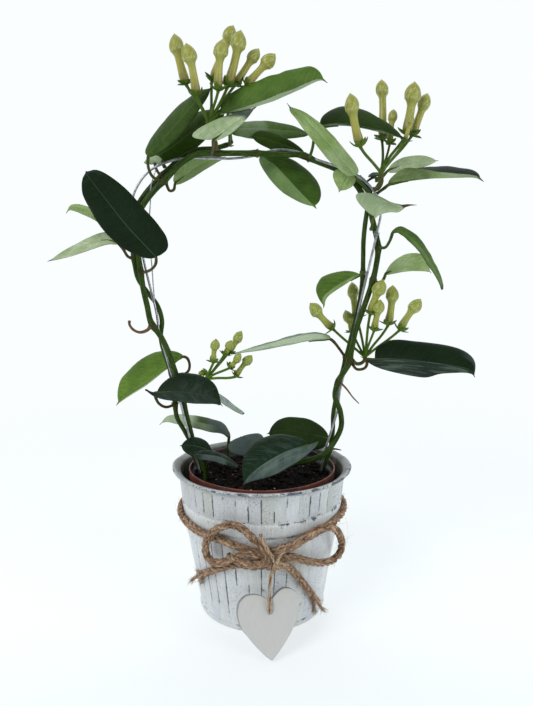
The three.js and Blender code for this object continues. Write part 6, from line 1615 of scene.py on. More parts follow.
# ---------------------------------------------------------------- stems with their nodes
_joints = [A(l["petiole"][0]) for l in LEAVES.values()] + [A(u["peduncle"][0]) for u in UMBELS.values()] + [A(t["path"][0]) for t in TWIGS.values()]
for si, (name, sdef) in enumerate(STEMS.items()):
    _path = sdef["path"]
    C = smooth_curve(_path, max(20, int(length_of(A(_path)) / 1.3)))
    st = stations(C)
    node = np.zeros(len(C))
    g = Geo()
    own = []
    for j in _joints:
        d = np.linalg.norm(C - j, axis=1)
        k = int(d.argmin())
        if d[k] < 4.5:
            node = np.maximum(node, np.exp(-((st - st[k]) / 3.2) ** 2))
            own.append((k, j))
    rr = sdef["radius"] * (1.06 + 0.30 * node + 0.06 * fbm(np.stack([st / 22, st * 0 + si, st * 0], 1), 3, 3))
    rr = rr * (1 - 0.35 * smooth(st[-1] - 5, st[-1], st)) * (1 - (0.22 * smooth(470, 500, st) if name == "vine_stem_left_front" else 0))
    V, F, s, a = tube(C, rr, 14, section=lambda an, i: 1 + 0.035 * np.cos(3 * an + i * 0.02) + 0.02 * np.cos(5 * an + 1.0))
    nn = len(C)
    V[:nn * 14] += (0.05 * fbm(V[:nn * 14] / 1.1, 2, 40))[:, None] * unit(V[:nn * 14] - np.repeat(C, 14, 0))
    g.add(V, F, 0, fs=s + si * 300, fa=a, node=np.r_[np.repeat(node, 14), node[0], node[-1]])
    T, N, B = frames_of(C)
    for k, j in own:
        # a scar line round the node and a small stipule pair opposite the stalk
        side = unit(j - C[k] + A([0.01, 0, 0]) - T[k] * np.dot(j - C[k], T[k]))
        for sg in (1, -1):
            o = unit(np.cross(T[k], side)) * sg
            p0 = C[k] + o * rr[k] * 0.8
            P = [p0, p0 + o * 0.7 + T[k] * 0.7, p0 + o * 0.9 + T[k] * 1.9]
            V, F, s2, a2 = tube(smooth_curve(P, 5), np.linspace(0.55, 0.16, 6), 6)
            g.add(V, F, 0, fs=s2 + k, fa=a2, node=0.8)
    g.build(name + "_green", [M_STEM], node=name)

# ---------------------------------------------------------------- dry bits
for name, t in TWIGS.items():
    C = smooth_curve(t["path"], 34)
    st = stations(C)
    g = Geo()
    k = st / st[-1]
    rr = t["radius"] * (1 - k) + t["tip"] * k
    if name == "cut_petiole_hook":
        rr = rr * (1 + 0.35 * smooth(0.12, 0, k) + 0.10 * smooth(0.9, 1.0, k))
    rr = rr * (1 + 0.08 * fbm(np.stack([st / 1.7, st * 0, st * 0], 1), 2, 5))
    V, F, s, a = tube(C, rr, 12, section=lambda an, i: 1 + 0.07 * np.cos(2 * an + i * 0.12))
    g.add(V, F, 0, fs=s, fa=a)
    g.build(name + "_dry", [M_DRY], node=name)


# ---------------------------------------------------------------- leaves
def blade_width(t, form):
    tw, qb, qt, te, t0 = (list(form) + [0.0])[:5]
    x = np.clip((t - t0) / (te - t0), 0, 1)
    lo = np.clip(1 - (1 - x / tw) ** 2, 0, 1) ** qb
    hi = np.clip(1 - ((x - tw) / (1 - tw)) ** 2, 0, 1) ** qt
    w = np.where(x < tw, lo, hi)
    drip = np.where(t > te - 0.06, 0.15 * np.clip((1 - t) / (1 - te + 0.06), 0, 1), 0)
    return np.maximum(w, drip)


ROWS, COLS, THICK = 62, 27, 0.62
BROWN = {"leaf_left_large_dark": 0.95, "leaf_left_long_pale": 0.85, "leaf_left_low_green": 0.9, "leaf_left_low_dark": 0.7, "leaf_top_front_small": 1.0, "leaf_top_left_upper": 0.6,
         "leaf_top_left_lower": 0.75, "leaf_top_under_left": 0.7, "leaf_right_low_dark": 0.9, "leaf_right_low_level": 0.75, "leaf_left_small_rear": 0.6, "leaf_left_low_silver": 0.5, "leaf_basal_arching": 0.45}
UNDER_KIND = {"leaf_top_front_small": "grey", "leaf_top_under_left": "green", "leaf_right_strap": "green", "leaf_right_small_rear": "green", "leaf_right_rear_pale": "grey", "leaf_right_folded_pale": "grey",
              "leaf_right_mid_rear": "green", "leaf_left_small_rear": "green", "leaf_left_long_pale": "grey", "leaf_left_low_silver": "silver", "leaf_top_right_arching": "grey",
              "leaf_left_low_green": "grey", "leaf_right_low_level": "grey", "leaf_right_long": "green", "leaf_right_top_dark": "green"}
UPPER_KIND = {"leaf_top_front_small": "dark", "leaf_top_under_left": "mid", "leaf_right_strap": "dark", "leaf_right_small_rear": "mid", "leaf_right_rear_pale": "mid",
              "leaf_right_folded_pale": "mid", "leaf_right_mid_rear": "mid", "leaf_left_small_rear": "mid", "leaf_left_long_pale": "mid", "leaf_left_low_silver": "dark",
              "leaf_top_right_arching": "mid", "leaf_top_left_upper": "green", "leaf_top_left_lower": "green", "leaf_top_rear_dark": "green", "leaf_right_top_dark": "green",
              "leaf_right_long": "dark", "leaf_right_narrow_hanging": "mid", "leaf_right_mid_left": "light", "leaf_left_low_green": "light", "leaf_basal_arching": "green"}
TINT = {"leaf_top_left_lower": 0.38, "leaf_top_rear_dark": 0.22, "leaf_right_top_dark": 0.21, "leaf_top_rear_right": 0.46, "leaf_basal_rear_green": 0.28, "leaf_top_left_upper": 0.52,
        "leaf_top_hanging_large": 0.90, "leaf_top_under_left": 0.82, "leaf_top_right_arching": 0.60, "leaf_left_low_green": 0.66, "leaf_right_long": 0.36, "leaf_left_large_dark": 0.26,
        "leaf_right_low_dark": 0.22, "leaf_basal_left_dark": 0.22, "leaf_basal_left_sheen": 0.26, "leaf_left_low_dark": 0.28, "leaf_right_low_level": 0.74, "leaf_right_mid_left": 0.46}
# parts of a blade that are darker (dk) or paler (pl), some the leaf's own tone and some painted shade and painted light
# on a half by how it is turned, parts with a painted sheen (painted_sheen), streaks of painted sheen (sh) and streaks
# of painted gloss highlight (gl): side, share of the half width, share of the length, amount
MARKS = {
    "leaf_top_right_arching": [("pl", "R", 0.0, 1.1, 0.30, 0.95, 0.45), ("dk", "B", 0.0, 1.1, 0.0, 0.16, 0.35)],
    "leaf_top_front_small": [("dk", "B", 0.0, 1.1, 0.70, 1.1, 0.85), ("painted_sheen", "B", 0.0, 1.1, 0.72, 0.95, 0.35)],
    "leaf_top_hanging_large": [("dk", "L", 0.0, 1.1, 0.0, 0.94, 0.56), ("pl", "R", 0.0, 1.1, 0.0, 1.1, 0.16)],
    "leaf_top_rear_right": [("pl", "B", 0.0, 1.1, 0.10, 0.45, 0.22)],
    "leaf_top_left_upper": [("dk", "R", 0.0, 1.1, 0.25, 0.95, 0.26)],
    "leaf_right_long": [("dk", "L", 0.0, 1.1, 0.5, 1.0, 0.30), ("dk", "R", 0.0, 1.1, 0.0, 0.45, 0.42), ("pl", "R", 0.0, 1.1, 0.55, 0.95, 0.25)],
    "leaf_right_folded_pale": [("pl", "B", 0.0, 1.1, 0.0, 1.1, 0.34)],
    "leaf_right_strap": [("pl", "B", 0.0, 1.1, 0.0, 0.35, 0.2)],
    "leaf_right_low_dark": [("dk", "L", 0.0, 1.1, 0.0, 1.0, 0.50), ("painted_sheen", "R", 0.0, 0.62, 0.05, 0.9, 0.14), ("gl", "R", 0.0, 0.75, 0.04, 0.95, 0.30), ("painted_sheen", "L", 0.6, 1.1, 0.82, 0.95, 0.30)],
    "leaf_right_low_level": [("pl", "B", 0.0, 1.1, 0.04, 0.95, 1.0), ("painted_sheen", "R", 0.62, 1.1, 0.0, 1.0, 0.8)],
    "leaf_left_low_green": [("pl", "L", 0.84, 1.1, 0.25, 0.95, 0.7), ("dk", "R", 0.3, 1.1, 0.0, 0.7, 0.16)],
    "leaf_left_low_dark": [("painted_sheen", "R", 0.0, 1.1, 0.1, 0.9, 0.10), ("dk", "B", 0.0, 1.1, 0.0, 1.1, 0.50), ("sh", "L", 0.0, 0.95, 0.45, 0.95, 0.14), ("sh", "R", 0.0, 1.1, 0.1, 0.95, 0.18)],
    "leaf_left_low_silver": [("dk", "B", 0.86, 1.1, 0.0, 1.1, 0.4), ("pl", "B", 0.0, 1.1, 0.6, 1.0, 0.35)],
    "leaf_basal_arching": [("pl", "B", 0.0, 1.1, 0.50, 0.95, 0.80), ("dk", "B", 0.0, 1.1, 0.0, 0.26, 0.60), ("painted_sheen", "B", 0.0, 1.1, 0.0, 0.34, 0.55), ("pl", "L", 0.3, 1.1, 0.25, 0.60, 0.4)],
    "leaf_basal_front_large": [("painted_sheen", "L", 0.0, 1.1, 0.02, 0.97, 0.56), ("gl", "L", 0.0, 0.45, 0.2, 0.9, 0.35), ("sh", "L", 0.0, 1.1, 0.02, 0.97, 0.62), ("dk", "L", 0.86, 1.1, 0.02, 0.97, 0.35), ("dk", "L", 0.0, 1.1, 0.74, 1.0, 0.30), ("sh", "R", 0.05, 0.80, 0.10, 0.80, 0.24), ("dk", "R", 0.0, 1.1, 0.0, 0.75, 0.30)],
    "leaf_basal_rear_sheen": [("painted_sheen", "B", 0.0, 1.1, 0.0, 0.95, 0.92), ("sh", "B", 0.0, 1.1, 0.0, 0.95, 0.5)],
    "leaf_basal_left_sheen": [("painted_sheen", "R", 0.0, 0.75, 0.25, 0.75, 0.42), ("sh", "B", 0.0, 1.1, 0.15, 0.85, 0.22)],
    "leaf_basal_rear_green": [("dk", "B", 0.0, 1.1, 0.0, 1.1, 0.64)],
    "leaf_right_top_dark": [("dk", "B", 0.0, 1.1, 0.0, 1.1, 0.38)],
    "leaf_left_large_dark": [("dk", "B", 0.06, 1.1, 0.0, 1.1, 0.50)],
    "leaf_right_mid_rear": [("pl", "B", 0.0, 1.1, 0.0, 0.5, 0.2)],
    "leaf_right_mid_left": [("dk", "R", 0.5, 1.1, 0.1, 0.95, 0.15)],
    "leaf_right_narrow_hanging": [("dk", "L", 0.45, 1.1, 0.05, 0.6, 0.3), ("pl", "R", 0.1, 0.9, 0.3, 0.9, 0.10), ("dk", "B", 0.82, 1.1, 0.3, 1.1, 0.5)],
}
TIPS = {"leaf_left_long_pale": (0.90, 0.96, 0), "leaf_right_strap": (0.92, 0.965, 0), "leaf_right_long": (0.93, 0.98, 0), "leaf_right_folded_pale": (0.68, 0.80, 1), "leaf_right_narrow_hanging": (0.93, 0.985, 0),
        "leaf_right_top_dark": (0.90, 0.97, 0), "leaf_top_right_arching": (0.95, 0.98, 0), "leaf_right_low_dark": (0.96, 0.99, 0), "leaf_left_low_silver": (0.96, 0.99, 0)}
# blades whose outline or size differs from the plain form: (place of the widest part, base, tip, end), share of the width, lobe past the stalk
OUTLINE = {
    "leaf_basal_front_large": dict(pre=[[43.4, -14.5, 134.6]], formL=(0.50, 0.85, 1.0, 0.98, 0.0), formR=(0.44, 0.42, 0.85, 0.965, 0.10)),
    "leaf_basal_left_sheen": dict(pre=[[-50.6, -22.0, 127.6]], form=(0.50, 0.40, 0.42, 1.0, 0.0), wide=0.66, shift=[-1.5, 1.0, 1.6]),
    "leaf_basal_left_dark": dict(form=(0.42, 0.42, 0.62, 0.93, 0.0)),
    "leaf_right_narrow_hanging": dict(form=(0.34, 0.55, 0.16, 1.0, 0.0), wide=0.74, wave=2.2),
    "leaf_right_small_rear": dict(form=(0.34, 0.42, 1.0, 0.92, 0.0), wide=0.9),
    "leaf_right_strap": dict(form=(0.36, 0.20, 0.62, 0.95, 0.0)),
    "leaf_top_left_upper": dict(wide=1.14),
    "leaf_top_left_lower": dict(wide=1.14),
    "leaf_top_hanging_large": dict(formL=(0.46, 0.40, 0.66, 0.95, 0.0), formR=(0.5, 0.46, 0.72, 0.95, 0.0), wide=1.06),
    "leaf_left_low_dark": dict(pre=[[-87.4, -16.8, 175.2]], formL=(0.52, 0.50, 0.45, 0.96, 0.15), formR=(0.50, 0.85, 0.55, 0.96, 0.0), wave=1.6),
    "leaf_basal_arching": dict(form=(0.36, 0.30, 0.62, 0.95, 0.0), wide=1.22, wave=1.8),
    "leaf_top_right_arching": dict(shift=[0.0, -2.6, 0.0], pre=[[-29.4, -13.0, 374.4]], formL=(0.46, 0.40, 0.50, 0.955, 0.0), formR=(0.48, 0.55, 0.6, 0.95, 0.08), wideR=0.6, wave=1.5),
    "leaf_left_low_silver": dict(form=(0.45, 0.5, 0.30, 1.0, 0.0), wide=0.8, wave=2.0),
    "leaf_left_large_dark": dict(formL=(0.56, 0.58, 0.40, 0.99, 0.0), formR=(0.34, 0.32, 0.33, 0.99, 0.0), wide=1.04, wave=1.9),
    "leaf_right_low_dark": dict(formL=(0.32, 0.36, 0.56, 0.975, 0.09), formR=(0.44, 0.55, 0.70, 0.965, 0.0), wave=0.2),
}


def build_leaf(name, L, seed, node=None):
    own = OUTLINE.get(name, {})
    stalk = A(L["petiole"])
    rib_pts = A(L["midrib"])
    if "shift" in own:
        rib_pts = rib_pts + A(own["shift"])
        stalk = stalk + A(own["shift"]) * np.linspace(0, 1, len(stalk))[:, None]
    before = 0.0
    if "pre" in own:
        before = float(np.linalg.norm(rib_pts[0] - A(own["pre"][0])))
        rib_pts = np.vstack([own["pre"], rib_pts])
    mid = smooth_curve(rib_pts, 240)
    k = np.linspace(0, 1, ROWS)
    t = 0.4 * (0.5 - 0.5 * np.cos(PI * k)) + 0.6 * k
    t = 0.002 + 0.998 * t
    idx = t * 240
    M = np.stack([np.interp(idx, np.arange(241), mid[:, c]) for c in range(3)], 1)
    T = unit(np.gradient(mid, axis=0))
    T = unit(np.stack([np.interp(idx, np.arange(241), T[:, c]) for c in range(3)], 1))
    length = length_of(mid)

    def side(a, b):
        if b is None:
            return np.repeat(A(a)[None], ROWS, 0)
        q = smooth(L["blend"][0], L["blend"][1], t)[:, None]
        return A(a) * (1 - q) + A(b) * q
    VL, VR = side(L["left"], L.get("leftTip")), side(L["right"], L.get("rightTip"))
    VL, VR = VL * own.get("wide", 1.0), VR * own.get("wide", 1.0) * own.get("wideR", 1.0)
    plain = own.get("form", L["form"])
    wL, wR = blade_width(t, own.get("formL", plain)), blade_width(t, own.get("formR", plain))
    lenL, lenR = np.linalg.norm(VL, axis=1), np.linalg.norm(VR, axis=1)
    foot = 0.9 * smooth(0.10, 0.0, t)
    wL, wR = [np.maximum(np.maximum(q, np.minimum(foot / n_, 1)), 0.16 / n_) for q, n_ in ((wL, lenL), (wR, lenR))]
    nL = unit(np.cross(T, VL))
    nR = unit(np.cross(VR, T))
    up = unit(nL + nR)
    c = np.linspace(-1, 1, COLS)
    u = np.sign(c) * np.abs(c) ** 1.35
    eps = 0.07
    fu = lambda q: (q + np.sqrt(q * q + eps * eps)) / 2
    ab = np.sqrt(u * u + eps * eps) - eps
    arch = 0.06
    P = M[:, None] + (wL[:, None] * VL)[:, None] * fu(-u)[None, :, None] + (wR[:, None] * VR)[:, None] * fu(u)[None, :, None]
    lens = (lenL * wL)[:, None] * (u < 0)[None] + (lenR * wR)[:, None] * (u >= 0)[None]
    nn = np.where((u < 0)[None, :, None], nL[:, None], nR[:, None])
    P = P + nn * (lens * arch * (4 * ab * (1 - ab))[None])[..., None]
    # margins turn down a little; the blade waves gently
    lx = lens * u[None]
    ly = (t * length)[:, None] + 0 * lx
    P = P - up[:, None] * (0.035 * lens * smooth(0.78, 1.0, np.abs(u))[None] ** 1.5)[..., None]
    wave = fbm(np.stack([lx / 15.0 + seed * 7.7, ly / 17.0, lx * 0], -1), 2, seed)
    edge_wave = np.abs(u)[None] ** 3 * fbm(np.stack([ly / 9.0 + np.sign(lx) * 5, lx * 0 + seed, lx * 0], -1), 2, seed + 3)
    wk = own.get("wave", 1.0)
    P = P + up[:, None] * (wk * np.minimum(lens * 0.06, 0.6) * wave + wk * np.minimum(lens * 0.06, 0.65) * edge_wave)[..., None]
    dt = np.gradient(P, axis=0)
    du = np.gradient(P, axis=1)
    Nn = unit(np.cross(dt, -du))
    flip = np.sum(Nn * up[:, None], -1) < 0
    Nn = np.where(flip[..., None], -Nn, Nn)
    ax = np.abs(lx)
    ph = (ly - ax * 0.42 - ax * ax * 0.018) / 5.2 + np.where(lx > 0, 0.45, 0)
    vein = smooth(0.6, 1.0, np.abs(ph - np.floor(ph) - 0.5) * 2) * smooth(0.0, 0.2, np.abs(u))[None] * smooth(1.0, 0.7, np.abs(u))[None]
    groove_ = np.exp(-(ax / 0.75) ** 2) * smooth(0.97, 0.7, t)[:, None]
    keel = np.exp(-(ax / (0.95 - 0.35 * t[:, None])) ** 2) * (1.0 - 0.75 * t[:, None])
    th = THICK * (1 - 0.45 * np.abs(u)[None] ** 2) * np.sqrt(np.clip(1 - 0.93 * np.abs(u)[None] ** 12, 0, 1)) * np.minimum(1, 0.35 + lens / 2.0)
    upper = P + Nn * (th / 2 - 0.16 * groove_ - 0.05 * vein)[..., None]
    lower = P - Nn * (th / 2 + 0.42 * keel + 0.04 * vein)[..., None]
    g = Geo()
    nr, nc = ROWS, COLS
    att = dict(lx=lx.reshape(-1), ly=ly.reshape(-1), lt=np.repeat(t, nc), lw=lens.reshape(-1), tint=TINT.get(name, 0.5), fs=0, fa=0)
    marks = {key: np.zeros((nr, nc)) for key in ("dk", "pl", "painted_sheen", "sh", "gl")}
    tt = t[:, None]
    for kind, sd, u0, u1, t0, t1, amount in MARKS.get(name, ()):
        on = {"L": smooth(0.04, -0.04, u), "R": smooth(-0.04, 0.04, u), "B": np.ones(nc)}[sd][None]
        m = on * smooth(u0 - 0.08, u0 + 0.08, np.abs(u) + (0.08 if u0 == 0 else 0))[None] * smooth(t0 - 0.07, t0 + 0.07, tt + (0.07 if t0 == 0 else 0)) * smooth(t1 + 0.05, t1 - 0.05, tt)
        marks[kind] = np.maximum(marks[kind], amount * m)
    tip = TIPS.get(name, (0.955, 0.985, 0))
    att.update({key: val.reshape(-1) for key, val in marks.items()})
    att.update(tipm=np.repeat(smooth(tip[0], tip[1], t), nc), tipb=tip[2])
    b0 = g.add(upper.reshape(-1, 3), grid_faces(nr, nc), 0, **att)
    b1 = g.add(lower.reshape(-1, 3), grid_faces(nr, nc, flip=True), 1, **att)
    for i in range(nr - 1):
        for j, fl in ((0, False), (nc - 1, True)):
            q = (b0 + i * nc + j, b0 + (i + 1) * nc + j, b1 + (i + 1) * nc + j, b1 + i * nc + j)
            g.f.append(q[::-1] if fl else q)
            g.m.append(0)
    for i, fl in ((0, True), (nr - 1, False)):
        for j in range(nc - 1):
            q = (b0 + i * nc + j, b0 + i * nc + j + 1, b1 + i * nc + j + 1, b1 + i * nc + j)
            g.f.append(q[::-1] if fl else q)
            g.m.append(0)
    # stalk: swollen where it leaves the stem, running on as the keel under the blade
    into = [mid[int(240 * q)] - up[np.searchsorted(t, q)] * d for q, d in ((before / length + 0.015, 0.55), (before / length + 0.06, 0.62), (before / length + 0.13, 0.5), (before / length + 0.22, 0.36))]
    if name in ("leaf_right_strap", "leaf_right_folded_pale"):
        into = into[:1]
    pts = list(stalk) + into
    C = smooth_curve(pts, 40)
    s = stations(C)
    tot, pl = s[-1], length_of(smooth_curve(stalk, 20))
    r = 1.05 + 0.42 * np.exp(-(s / 2.2) ** 2) + 0.14 * smooth(pl - 4, pl, s)
    r = r * (1 - 0.66 * smooth(pl + 0.5, tot, s))
    V, F, ss, aa = tube(C, r, 11, section=lambda an, i: 1 + 0.05 * np.cos(2 * an))
    br = BROWN.get(name, 0.2) * (0.45 + 0.55 * smooth(tot * 0.9, tot * 0.25, ss))
    g.add(V, F, 2, fs=ss + seed * 40, fa=aa, brown=br, lx=0, ly=0, lt=0.2, lw=2, tint=0.5)
    mats = [UPPER[UPPER_KIND.get(name, L["tone"])], UNDER[UNDER_KIND.get(name, "grey" if L["tone"] == "dark" else "green")], M_PETIOLE]
    return g.build(name + "_blade", mats, node=node or name)


for _i, (_n, _L) in enumerate(LEAVES.items()):
    build_leaf(_n, _L, _i)

# tiny blades beside the big ones: two by the right-hand umbel, one behind the stalks at the top left
SMALL = {
    "leaflet_hub_upper": ("umbel_top_right", dict(petiole=[[86.4, 1.5, 331.0], [88.2, 2.0, 333.4]], midrib=[[87.6, 2.0, 334.5], [85.0, 1.0, 335.0], [82.4, 0.2, 334.7], [78.9, -1.0, 333.0]],
                                                  left=[-0.2, 0.6, -1.7], right=[0.2, 0.9, 1.5], form=[0.5, 0.5, 0.5, 0.97], tone="pale")),
    "leaflet_hub_dark": ("umbel_top_right", dict(petiole=[[86.0, 0.8, 329.6], [85.4, 0.0, 331.6]], midrib=[[84.4, -0.6, 332.4], [82.0, -0.4, 331.9], [79.6, 0.4, 330.4], [76.4, 1.0, 328.4]],
                                                 left=[-0.4, 0.5, -1.2], right=[0.2, 0.6, 1.2], form=[0.45, 0.5, 0.6, 0.97], tone="dark")),
    "leaflet_left_pale": ("leaf_top_left_upper", dict(petiole=[[-72.6, 5.0, 340.6], [-74.4, 6.0, 343.8]], midrib=[[-74.6, 6.6, 345.6], [-79.0, 7.4, 346.9], [-84.0, 7.6, 346.4], [-88.8, 7.0, 344.4]],
                                                      left=[-0.5, 1.8, -3.4], right=[-0.2, 1.2, 3.0], form=[0.42, 0.5, 0.6, 0.97], tone="pale")),
}
UNDER_KIND.update({"leaflet_hub_upper": "green", "leaflet_left_pale": "green", "leaflet_hub_dark": "silver"})
UPPER_KIND.update({"leaflet_hub_upper": "green", "leaflet_left_pale": "light", "leaflet_hub_dark": "dark"})
MARKS.update({"leaflet_left_pale": [("pl", "B", 0.0, 1.1, 0.0, 1.1, 0.75)], "leaflet_hub_dark": [("dk", "B", 0.0, 1.1, 0.0, 1.1, 0.8)], "leaflet_hub_upper": [("painted_sheen", "B", 0.0, 1.1, 0.0, 1.1, 0.5)]})
for _i, (_n, (_node, _L)) in enumerate(SMALL.items()):
    build_leaf(_n, _L, 60 + _i, node=_node)


# ---------------------------------------------------------------- buds
LOBE_F = A([0.0, 0.05, 0.13, 0.25, 0.40, 0.56, 0.72, 0.86, 0.96])      # columns across one overlapping lobe


def bud_mesh(g, foot, head, size, seed, green):
    foot, head = A(foot), A(head)
    ax = unit(head - foot)
    d = float(np.linalg.norm(head - foot))
    T, N, B = frames_of(A([foot, head]))
    n0, b0 = N[0], B[0]
    rs = np.random.RandomState(seed)
    sz = size
    turn = rs.uniform(0, 2 * PI)
    long_ = rs.uniform(0.96, 1.05)
    body = max(d - 8.2 * sz, 4.2 * sz)
    prof = [(-0.2, 1.3 * sz), (0.4, 2.1 * sz), (1.3, 2.9 * sz), (2.8 * sz, 3.3 * sz), (5.0 * sz, 3.25 * sz), (max(7.5 * sz, body * 0.45), 2.85 * sz), (body * 0.75, 2.6 * sz), (body, 2.62 * sz)]
    prof += [(d + z * sz, r * sz) for z, r in ((-6.8, 2.85), (-5.7, 3.3), (-4.8, 3.85), (-4.0, 4.35), (-3.1, 4.68), (-2.0, 4.82), (-0.7, 4.8), (0.7, 4.55), (2.0, 4.08), (3.2, 3.4), (4.2, 2.62), (5.0, 1.82), (5.6, 1.1), (6.1, 0.5), (6.4, 0.2))]
    prof = [p for i, p in enumerate(prof) if i == 0 or p[0] > max(q[0] for q in prof[:i]) + 0.05]
    zz, rr = A(prof).T
    zs = np.r_[np.linspace(zz[0], body, 15)[:-1], np.linspace(body, zz[-1], 32)]
    r = np.interp(zs, zz, rr)
    for _ in range(3):
        r[1:-1] = 0.25 * r[:-2] + 0.5 * r[1:-1] + 0.25 * r[2:]
    m = 45
    col = (np.arange(5)[:, None] + LOBE_F[None]).reshape(-1) * 2 * PI / 5
    f = np.tile(LOBE_F, 5)[None]
    # the five lobes wind round the head, each one tucked under the next
    hd = smooth(d - 6.2 * sz, d - 3.4 * sz, zs)
    wind = 1.15 * smooth(d - 5.0 * sz, d + 6.2 * sz, zs) + 0.35 * smooth(d + 2 * sz, d + 6.2 * sz, zs)
    AN = col[None] + turn + wind[:, None]
    over = (f - 0.45) * 0.055 + 0.02 * np.sin(PI * f)
    top = smooth(d + 6.3 * sz, d + 4.4 * sz, zs)
    R = r[:, None] * (1 + (hd * top)[:, None] * over + (1 - hd)[:, None] * 0.03 * np.cos(5 * (col[None] + PI / 5)))
    # foot of each lobe stands out a little as a lip
    lipz = np.exp(-((zs - (d - 3.7 * sz)) / (0.9 * sz)) ** 2)
    R = R + 0.20 * sz * lipz[:, None] * (0.35 + 0.65 * np.sin(PI * np.clip(f * 1.05, 0, 1)))
    R = R * (1 + 0.03 * fbm(np.stack([np.cos(AN) * 1.2 + seed, np.sin(AN) * 1.2, np.repeat(zs[:, None], m, 1) / 4.5], -1), 2, seed))
    flat = 1 + 0.07 * np.cos(2 * (AN - turn - 0.7)) * hd[:, None]
    R = R * flat
    bend = 0.95 * sz * np.sin(np.clip(zs / d, 0, 1.15) * PI * 0.9)
    ph = rs.uniform(0, 2 * PI)
    C = foot + (zs * 1.0)[:, None] * ax + bend[:, None] * (math.cos(ph) * n0 + math.sin(ph) * b0) * 0.8
    V = C[:, None] + R[..., None] * (np.cos(AN)[..., None] * n0 + np.sin(AN)[..., None] * b0)
    V = V.reshape(-1, 3)
    k = len(V)
    V = np.vstack([V, C[0] - ax * 0.1, C[-1] + ax * 0.3 * sz])
    F = grid_faces(len(zs), m, wrap=True)
    F += [(k, (j + 1) % m, j) for j in range(m)]
    e = (len(zs) - 1) * m
    F += [(k + 1, e + j, e + (j + 1) % m) for j in range(m)]
    bt = np.clip(zs / (d + 6 * sz), 0, 1)
    # crease and lip mark the grooves between lobes and their raised edges, which the bud skin paints as shade and
    # highlight
    crease = hd[:, None] * np.exp(-(f / 0.10) ** 2)
    lip = hd[:, None] * smooth(0.80, 0.96, f) + 0.8 * lipz[:, None] * (1 - crease)
    g.add(V, F, 0, bt=np.r_[np.repeat(bt, m), 0, 1], crease=np.r_[crease.reshape(-1), 0, 0], lip=np.r_[lip.reshape(-1), 0, 0], green=green, fs=np.r_[np.repeat(zs, m), 0, zs[-1]] + seed * 31, fa=np.r_[AN.reshape(-1), 0, 0])
    # calyx: five pointed sepals that spread from the foot
    for j in range(5):
        a = turn + 0.6 + 2 * PI * j / 5 + rs.uniform(-0.15, 0.15)
        o = math.cos(a) * n0 + math.sin(a) * b0
        tt = np.cross(ax, o)
        Ls = (7.2 + rs.uniform(-0.9, 1.3)) * sz ** 0.6
        open_ = rs.uniform(0.10, 1.45)
        rows = []
        up_ = []
        nr_, nc_ = 9, 7
        ks = np.linspace(0, 1, nr_)
        pth = [foot - ax * 0.5 + o * 0.9 * sz]
        for i in range(1, nr_):
            an_ = 1.40 * (1 - ks[i]) + open_ * ks[i]
            pth.append(pth[-1] + (ax * math.cos(an_) + o * math.sin(an_)) * Ls / (nr_ - 1))
        pth = A(pth)
        tg = unit(np.gradient(pth, axis=0))
        nn_ = unit(np.cross(tg, tt))
        wid = 2.25 * sz ** 0.5 * np.sin(np.clip(ks * 0.89 + 0.11, 0, 1) * PI) ** 0.80 * (1 - 0.10 * ks)
        uu = np.linspace(-1, 1, nc_)
        S = pth[:, None] + tt * (wid[:, None] * uu[None])[..., None] + nn_[:, None] * ((wid[:, None] * 0.35 * (uu[None] ** 2)))[..., None]
        th_ = 0.28 * (1 - 0.7 * np.abs(uu) ** 3)[None] * (1 - 0.5 * ks)[:, None]
        o1, o2 = (S + nn_[:, None] * th_[..., None]).reshape(-1, 3), (S - nn_[:, None] * th_[..., None]).reshape(-1, 3)
        ats = dict(fs=np.repeat(ks * Ls, nc_) + seed, fa=np.tile(uu, nr_), green=green)
        p0 = g.add(o1, grid_faces(nr_, nc_), 1, **ats)
        p1 = g.add(o2, grid_faces(nr_, nc_, flip=True), 1, **ats)
        for i in range(nr_ - 1):
            for jj, fl in ((0, False), (nc_ - 1, True)):
                qd = (p0 + i * nc_ + jj, p0 + (i + 1) * nc_ + jj, p1 + (i + 1) * nc_ + jj, p1 + i * nc_ + jj)
                g.f.append(qd[::-1] if fl else qd)
                g.m.append(1)
        for i, fl in ((0, True), (nr_ - 1, False)):
            for jj in range(nc_ - 1):
                qd = (p0 + i * nc_ + jj, p0 + i * nc_ + jj + 1, p1 + i * nc_ + jj + 1, p1 + i * nc_ + jj)
                g.f.append(qd[::-1] if fl else qd)
                g.m.append(1)
    return ax


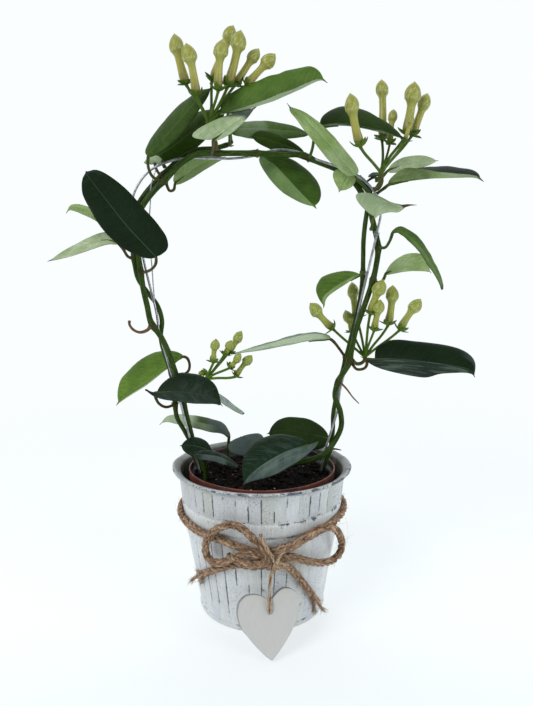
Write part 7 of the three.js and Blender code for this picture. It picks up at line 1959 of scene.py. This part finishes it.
GREEN = {"umbel_top_left": 0.15, "umbel_top_right": 0.2, "umbel_right_mid": 0.6, "umbel_left_low": 0.8}
for _ui, (name, u) in enumerate(UMBELS.items()):
    g = Geo()
    hub = A(u["peduncle"][-1])
    C = smooth_curve(u["peduncle"], 26)
    s = stations(C)
    r = u["radius"] * (1.0 + 0.25 * np.exp(-(s / 2.0) ** 2) + 0.30 * smooth(s[-1] - 3.5, s[-1], s))
    V, F, ss, aa = tube(C, r, 14, section=lambda an, i: 1 + 0.04 * np.cos(4 * an))
    g.add(V, F, 3, fs=ss, fa=aa, green=GREEN[name])
    for bi, (foot, head, size) in enumerate(u["buds"]):
        foot, head = A(foot), A(head)
        ax = unit(head - foot)
        seed = 100 * _ui + bi
        rs = np.random.RandomState(seed)
        start = hub + (foot - hub) * -0.02
        way = unit(foot - hub)
        dist = np.linalg.norm(foot - hub)
        sag = unit(rs.normal(size=3)) * dist * 0.03
        pts = [start, hub + way * dist * 0.35 + sag, hub + way * dist * 0.72 + sag * 0.7 + (foot - ax * dist * 0.28 - (hub + way * dist * 0.72)) * 0.18, foot - ax * 0.6, foot + ax * 0.4]
        C = smooth_curve(pts, 22)
        s = stations(C)
        r = (1.02 if name != "umbel_left_low" else 1.2) * size ** 0.5 * (1 + 0.10 * smooth(s[-1] * 0.3, 0, s) + 0.45 * smooth(s[-1] - 3.2 * size, s[-1], s))
        V, F, ss, aa = tube(C, r, 10, section=lambda an, i: 1 + 0.04 * np.cos(3 * an))
        g.add(V, F, 2, fs=ss + seed, fa=aa, green=GREEN[name])
        # bract scale at the foot of each pedicel
        o = unit(np.cross(way, rs.normal(size=3)))
        V, F, ss, aa = tube(smooth_curve([hub + o * 0.9, hub + o * 1.8 + way * 1.4, hub + o * 2.3 + way * 3.0], 5), np.linspace(0.6, 0.15, 6), 6)
        g.add(V, F, 1, fs=ss, fa=aa, green=GREEN[name])
        bud_mesh(g, foot, head, size, seed, GREEN[name])
    g.build(name + "_buds", [M_BUD, M_CALYX, M_PEDICEL, M_HUB], node=name)
